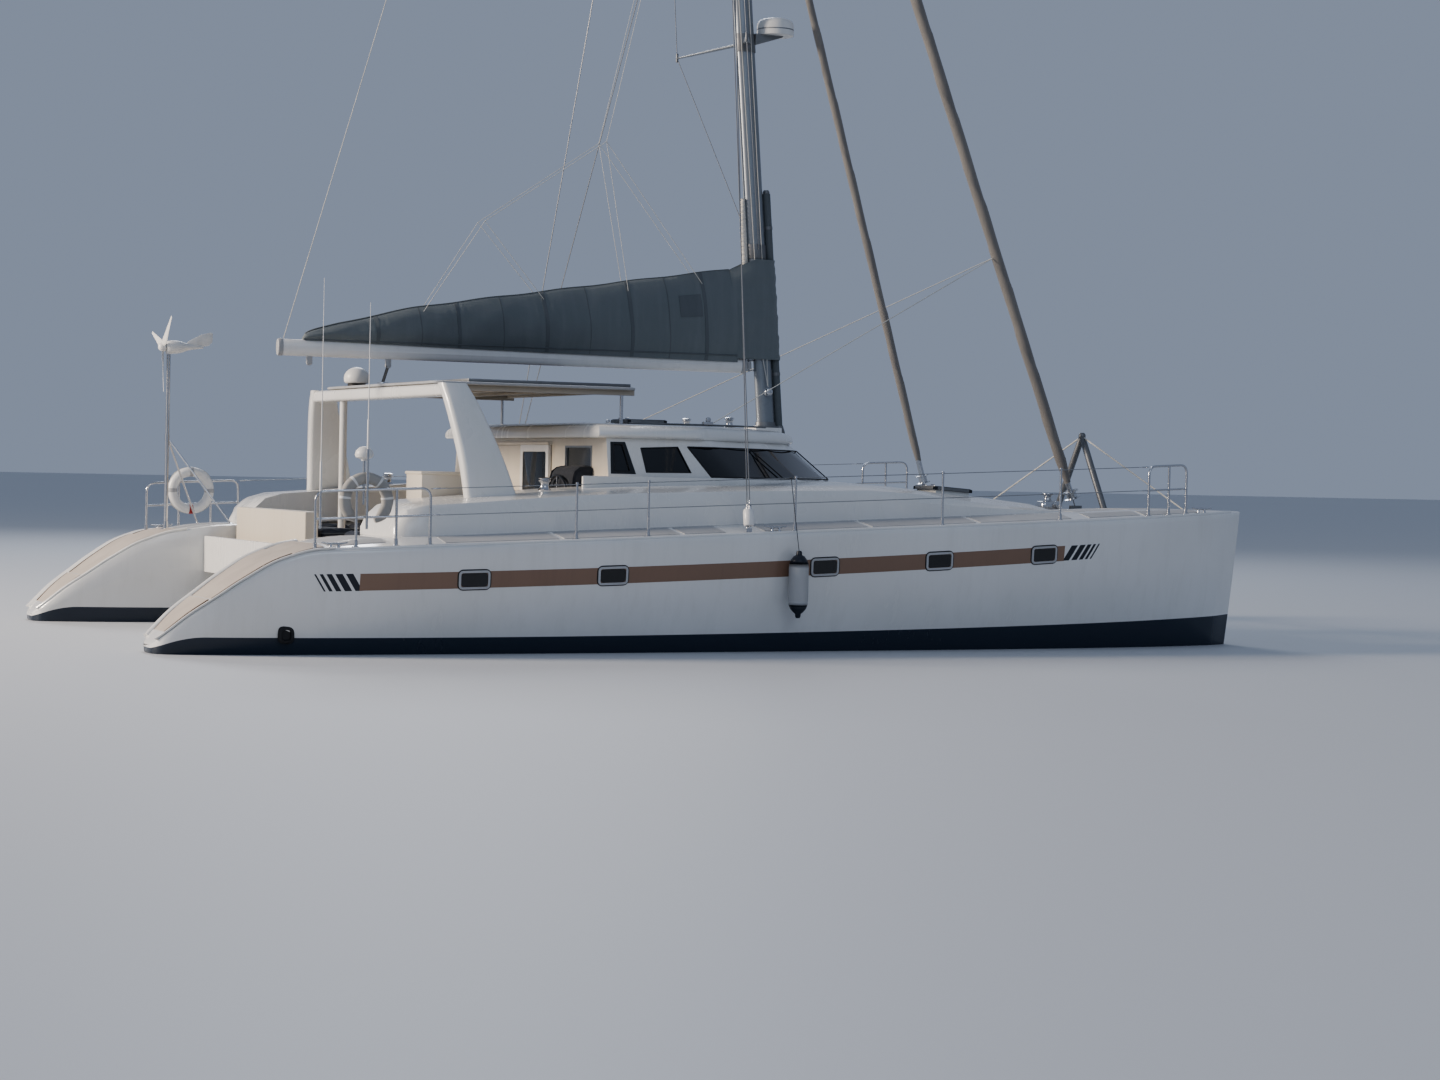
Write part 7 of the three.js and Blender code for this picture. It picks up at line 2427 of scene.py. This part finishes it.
def build_door():
    size, middle = LEAF_HIGH - LEAF_LOW, (LEAF_HIGH + LEAF_LOW) / 2
    leaf = Shape()
    outer, inner = rounded_rectangle(*size, 0.02), rounded_rectangle(*(size - 0.16), 0.03)
    aft, fore, grip = 5.206, 5.2435, 5.176
    rings = [[(at(s), middle[0] + y, middle[1] + z) for y, z in outline]
             for outline, s in ((outer, aft), (outer, fore), (inner, fore), (inner, aft), (outer, aft))]
    leaf.add(loft(rings, caps=False))
    pane = [(middle[0] + y, middle[1] + z) for y, z in rounded_rectangle(*(size - 0.15), 0.03)]
    leaf.add(loft([[(at(s), y, z) for y, z in pane] for s in (5.214, 5.222)]), 1)
    pull = [(at(s), 0.05, z) for s, z in ((aft, 1.32), (grip, 1.32), (grip, 1.62), (aft, 1.62))]
    leaf.add(tube(rounded(pull, 0.02), 0.009, 12), 2)
    leaf.make("saloon_door_skin", [BOOM_PAINT, DARK_ACRYLIC, STAINLESS], "sliding_door", bevel=0.002,
              replaces=("saloon_door",), slot="boom_alloy")


PANES = (("quarter_window_starboard", "boat"), ("quarter_window_port", "boat"),
         ("side_window_starboard", "boat"), ("side_window_port", "boat"), ("windscreen", "boat"),
         ("fore_hatch_starboard", "lid_fore_starboard"), ("fore_hatch_port", "lid_fore_port"),
         ("roof_hatch", "lid_roof"))
build_door()
# The bulkhead's two fixed lights: y from and to, height from and to
BULKHEAD_LIGHTS = ((1.15, 2.00, 1.75, 2.21), (-2.00, -1.25, 1.95, 2.21))
LIGHT_BAR = 0.022


def glaze_bulkhead():
    lights = Shape()
    for y0, y1, z0, z1 in BULKHEAD_LIGHTS:
        lights.add(block((at(5.262), y0 - 0.002, z0 - 0.002), (at(5.268), y1 + 0.002, z1 + 0.002)))
        low, high = z0 - LIGHT_BAR, z1 + LIGHT_BAR
        for a, b, c, d in ((y0, y1, low, z0), (y0, y1, z1, high), (y0 - LIGHT_BAR, y0, low, high),
                           (y1, y1 + LIGHT_BAR, low, high)):
            lights.add(block((at(5.242), a, c), (at(5.252), b, d)), 1)
    lights.make("bulkhead_lights", [DARK_ACRYLIC, MAST_ALLOY], sharp=30, slot="dark_glass")


glaze_bulkhead()
for pane_name, pane_body in PANES:
    refined(pane_name, DARK_ACRYLIC, pane_body, bevel=0.0025, sharp=40)
print("panes:", len(PANES))

# %% [markdown]
# Keels and rudders are foils: blunt in front, thickest a third of the way back and thin
# behind. One rule gives the section, and a loft through a few heights gives the blade. The
# propellers' blades are twisted plates that grow from a hub on the saildrive's leg.

# %% Keels, rudders and propellers
# Columns: leading station, chord, half thickness, height
KEEL_ROWS = ((8.35, 2.50, 0.130, -0.38), (8.28, 2.38, 0.120, -0.80), (8.20, 2.25, 0.110, -1.18),
             (8.17, 2.19, 0.090, -1.225), (8.15, 2.15, 0.050, -1.2475))
RUDDER_ROWS = ((2.32, 0.56, 0.048, -0.302), (2.30, 0.52, 0.043, -0.70), (2.28, 0.48, 0.038, -1.09),
               (2.27, 0.46, 0.026, -1.115), (2.26, 0.44, 0.010, -1.1285))
STOCK_STATION = 2.15
PROP_CENTRE = np.array((at(2.70), -HULL_CENTRE, -0.70))


def foil_ring(lead, chord, half, z, steps=18):
    """A foil section with its nose forward."""
    line = []
    for i in range(steps + 1):
        u = (1 - math.cos(math.pi * i / steps)) / 2
        thick = 2.98 * math.sqrt(u) - 1.32 * u - 3.28 * u ** 2 + 2.44 * u ** 3 - 0.74 * u ** 4
        line.append((u, half * max(thick, 0.05 if u > 0.5 else 0)))
    ring = [(at(lead - chord * u), -HULL_CENTRE - w, z) for u, w in line]
    return ring + [(at(lead - chord * u), -HULL_CENTRE + w, z) for u, w in line[-1:0:-1]]


def prop_blade(turn):
    """One blade about the shaft, which runs along X."""
    out = np.array((0, math.cos(turn), math.sin(turn)))
    around = np.array((0, -math.sin(turn), math.cos(turn)))
    rings = []
    for t in np.linspace(0, 1, 10):
        half = 0.5 * np.interp(t, (0, 0.3, 0.65, 0.9, 1), (0.06, 0.115, 0.150, 0.105, 0.03))
        pitch = math.radians(mix(58, 24, t))
        along = around * math.cos(pitch) + np.array((1, 0, 0)) * math.sin(pitch)
        normal = np.array((1, 0, 0)) * math.cos(pitch) - around * math.sin(pitch)
        middle = PROP_CENTRE + out * mix(0.035, 0.2185, t)
        thick = mix(0.010, 0.003, t)
        rings.append([middle + along * half * math.cos(a) + normal * thick * math.sin(a)
                      for a in circle(14)])
    return loft(rings)


def to_side(part, side):
    """A part of the starboard hull, or its mirror image for the port hull."""
    return part if side < 0 else mirrored(part)


def build_underwater():
    keel, rudder = (loft([foil_ring(*row) for row in rows]) for rows in (KEEL_ROWS, RUDDER_ROWS))
    stock = tube([(at(STOCK_STATION), -HULL_CENTRE, z) for z in (-0.34, -0.085)], 0.03, 20)
    screw = Shape()
    for k in range(3):
        screw.add(prop_blade(math.pi / 2 + k * 2 * math.pi / 3))
    hub = [(0, -0.075), (0.018, -0.07), (0.034, -0.045), (0.040, 0.0), (0.042, 0.098), (0, 0.098)]
    screw.add(turned(hub, PROP_CENTRE, (1, 0, 0), 28))
    screw.add(tube([PROP_CENTRE + (x, 0, 0) for x in (0.09, 0.178)], 0.018, 18))
    for side, name in ((-1, "starboard"), (1, "port")):
        keel_skin = Shape().add(to_side(keel, side))
        keel_skin.make(f"keel_skin_{name}", [ANTIFOUL], sharp=50, replaces=(f"keel_{name}",),
                       slot="antifoul")
        blade_skin = Shape().add(to_side(rudder, side), 0).add(to_side(stock, side), 1)
        blade_skin.make(f"rudder_skin_{name}", [ANTIFOUL, STAINLESS], f"rudder_blade_{name}", sharp=50,
                        replaces=(f"rudder_{name}",), slot="antifoul")
        screw_skin = Shape().add(to_side((screw.verts, screw.faces), side))
        screw_skin.make(f"propeller_skin_{name}", [BRONZE], f"screw_{name}", sharp=40,
                        replaces=(f"propeller_{name}",), slot="bronze")
        refined(f"drive_leg_{name}", CAST_ALLOY, bevel=0.006)


build_underwater()
print("shaft of each propeller:", float(PROP_CENTRE[2]), "m from the waterline")

# %% [markdown]
# The radar's dome stands on a bracket in front of the mast. Halyards run down the mast to
# the winches, the genoa's cars run on tracks on the coach roof, and the mainsheet falls
# from the boom to a traveller on the arch.

# %% Radar, halyards, tracks and mainsheet
RADAR_Z, RADAR_REACH = 7.37, 0.42


def build_radar():
    centre = mast_point(RADAR_Z, RADAR_REACH)
    dome = [(0, 0), (0.205, 0), (0.2275, 0.016), (0.228, 0.075), (0.226, 0.13), (0.202, 0.183),
            (0.12, 0.214), (0, 0.2248)]
    radar = Shape().add(turned(smooth_line(dome, 3), centre, sides=44))
    joint = [(0.2285, 0.066), (0.2295, 0.070), (0.2295, 0.078), (0.2285, 0.082), (0.2, 0.074)]
    radar.add(turned(joint, centre, sides=44), 1)
    back, front = mast_point(RADAR_Z, MAST_CHORD / 2 + 0.003)[0], centre[0] + 0.08
    shelf = [(back, RADAR_Z - 0.13), (back + 0.03, RADAR_Z - 0.13), (centre[0] + 0.05, RADAR_Z - 0.025),
             (front, RADAR_Z - 0.012), (front, RADAR_Z + 0.002), (back, RADAR_Z + 0.002)]
    for side in (-1, 1):
        radar.add(plate(shelf, side * 0.055 - 0.005, side * 0.055 + 0.005), 1)
    radar.add(block((back, -0.06, RADAR_Z - 0.008), (front, 0.06, RADAR_Z + 0.002)), 1)
    radar.make("radar_skin", [PLASTIC, CAST_ALLOY], sharp=45, bevel=0.0015, replaces=("radar",),
               slot="white_plastic")


def run_halyards():
    lines = []
    for y, fore in ((-0.060, -0.125), (-0.086, 0.055), (0.060, -0.125), (0.086, 0.055)):
        side = 1 if y > 0 else -1
        lines.append([mast_point(MAST_TOP - 0.05, fore, y), mast_point(11.0, fore * 0.9, y),
                      mast_point(3.6, fore * 0.5, side * 0.088), mast_point(3.03, 0, side * 0.125)])
    sweep("halyards", lines, 0.005, ROPE)


# Columns of a track: station, y, height
TRACK = ((5.9, 1.52, 2.507), (6.9, 1.50, 2.512), (7.7, 1.46, 2.506))
CAR_Y = 1.50


def lay_tracks():
    """The genoa's tracks with a car and its sheave on each, and the traveller with its car."""
    tracks = Shape()
    for side in (-1, 1):
        path = [(at(s), side * y, z) for s, y, z in TRACK]
        tracks.add(tube(path, 0.016, 8, 0.7))
        tracks.add(block((at(6.86), side * CAR_Y - 0.03, 2.515), (at(6.98), side * CAR_Y + 0.03, 2.55)), 1)
        tracks.add(turned([(0, -0.012), (0.030, -0.012), (0.025, 0), (0.030, 0.012), (0, 0.012)],
                          (at(6.93), side * CAR_Y, 2.573), (0, 1, 0), 18), 1)
    tracks.add(block((at(3.425), -1.25, 2.872), (at(3.455), 0.95, 2.892)))
    tracks.add(block((at(3.395), -0.07, 2.892), (at(3.485), 0.07, 2.925)), 1)
    tracks.make("sheet_tracks", [CAST_ALLOY, STAINLESS], bevel=0.002, slot="alloy")


def run_mainsheet():
    falls = []
    for shift in (-0.022, -0.008, 0.008, 0.022):
        ends = ((3.5, BOOM_Z - 0.17), (3.44, 2.93))
        falls.append(fine_line([(at(s) + shift, shift, z) for s, z in ends], 30))
    blended_lines("mainsheet", falls, 0.005, DARK_ROPE, 6)


build_radar()
run_halyards()
lay_tracks()
run_mainsheet()
print("radar:", RADAR_Z, "m above water")

# %% [markdown]
# A low board stands at the foot of the house on each side. A thin black line under it is
# painted shade at its foot, and a white one on top of it gives it an edge.

# %% Side boards
BOARD_STATIONS = (4.90, 5.7, 6.56)
# The black foot line is painted shade; the top line is white gelcoat.
BOARD_EDGES = (("foot", 2.622, 1.703, RUBBER), ("top", 2.615, 1.887, GELCOAT))
for edge_name, edge_y, edge_z, edge_finish in BOARD_EDGES:
    edges = [[(at(s), side * edge_y, edge_z) for s in BOARD_STATIONS] for side in (-1, 1)]
    sweep(f"board_{edge_name}_lines", edges, 0.006, edge_finish)
print("edges of each board:", len(BOARD_EDGES))

# %% [markdown]
# By now a piece of the scene stands for every solid of the CAD. A solid that was forgotten
# would still be shown in its plain form, so its name is printed here.

# %% Solids that are still shown
print("solids still shown:", [name for name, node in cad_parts.items() if not node.hide_render])

# %% [markdown]
# The boat floats, so the floor lies at its waterline and what is below it is hidden from
# above. The light is a large soft studio set: a warm key low from astern, a cool fill from
# behind the camera, a soft light from the far side and a pale blue world.

# %% Floor and light
def plain_material(name, colour, roughness):
    made = bpy.data.materials.new(name)
    made.use_nodes = True
    surface = made.node_tree.nodes["Principled BSDF"]
    surface.inputs["Base Color"].default_value = (*colour, 1)
    surface.inputs["Roughness"].default_value = roughness
    return made


def lay_floor():
    reach = 400
    mesh = bpy.data.meshes.new("floor")
    mesh.from_pydata([(-reach, -reach, 0), (reach, -reach, 0), (reach, reach, 0), (-reach, reach, 0)], [],
                     [(0, 1, 2, 3)])
    mesh.materials.append(plain_material("pale floor", (0.60, 0.62, 0.64), 0.6))
    in_scene("floor", mesh)


def soft_light(name, place, target, size, power, colour):
    lamp = bpy.data.lights.new(name, "AREA")
    lamp.size = size
    lamp.energy = power
    lamp.color = colour
    lamp_object = in_scene(name, lamp)
    lamp_object.location = place
    aim = Vector(target) - Vector(place)
    lamp_object.rotation_euler = aim.to_track_quat("-Z", "Y").to_euler()


lay_floor()
soft_light("key", (-36, 7, 14), (-2, 0, 1.5), 7, 15000, (1.0, 0.86, 0.72))
soft_light("fill", (-6, -40, 22), (0, 0, 2), 18, 1500, (0.78, 0.86, 1.0))
soft_light("back", (10, 34, 24), (0, 0, 3), 14, 3600, (0.92, 0.95, 1.0))
world = bpy.data.worlds.new("pale world")
world.use_nodes = True
world.node_tree.nodes["Background"].inputs["Color"].default_value = (0.66, 0.77, 1.0, 1)
world.node_tree.nodes["Background"].inputs["Strength"].default_value = 0.33
bpy.context.scene.world = world
bpy.context.scene.view_settings.view_transform = "AgX"
bpy.context.scene.view_settings.look = "AgX - Medium High Contrast"
print("lamps:", len(bpy.data.lights))
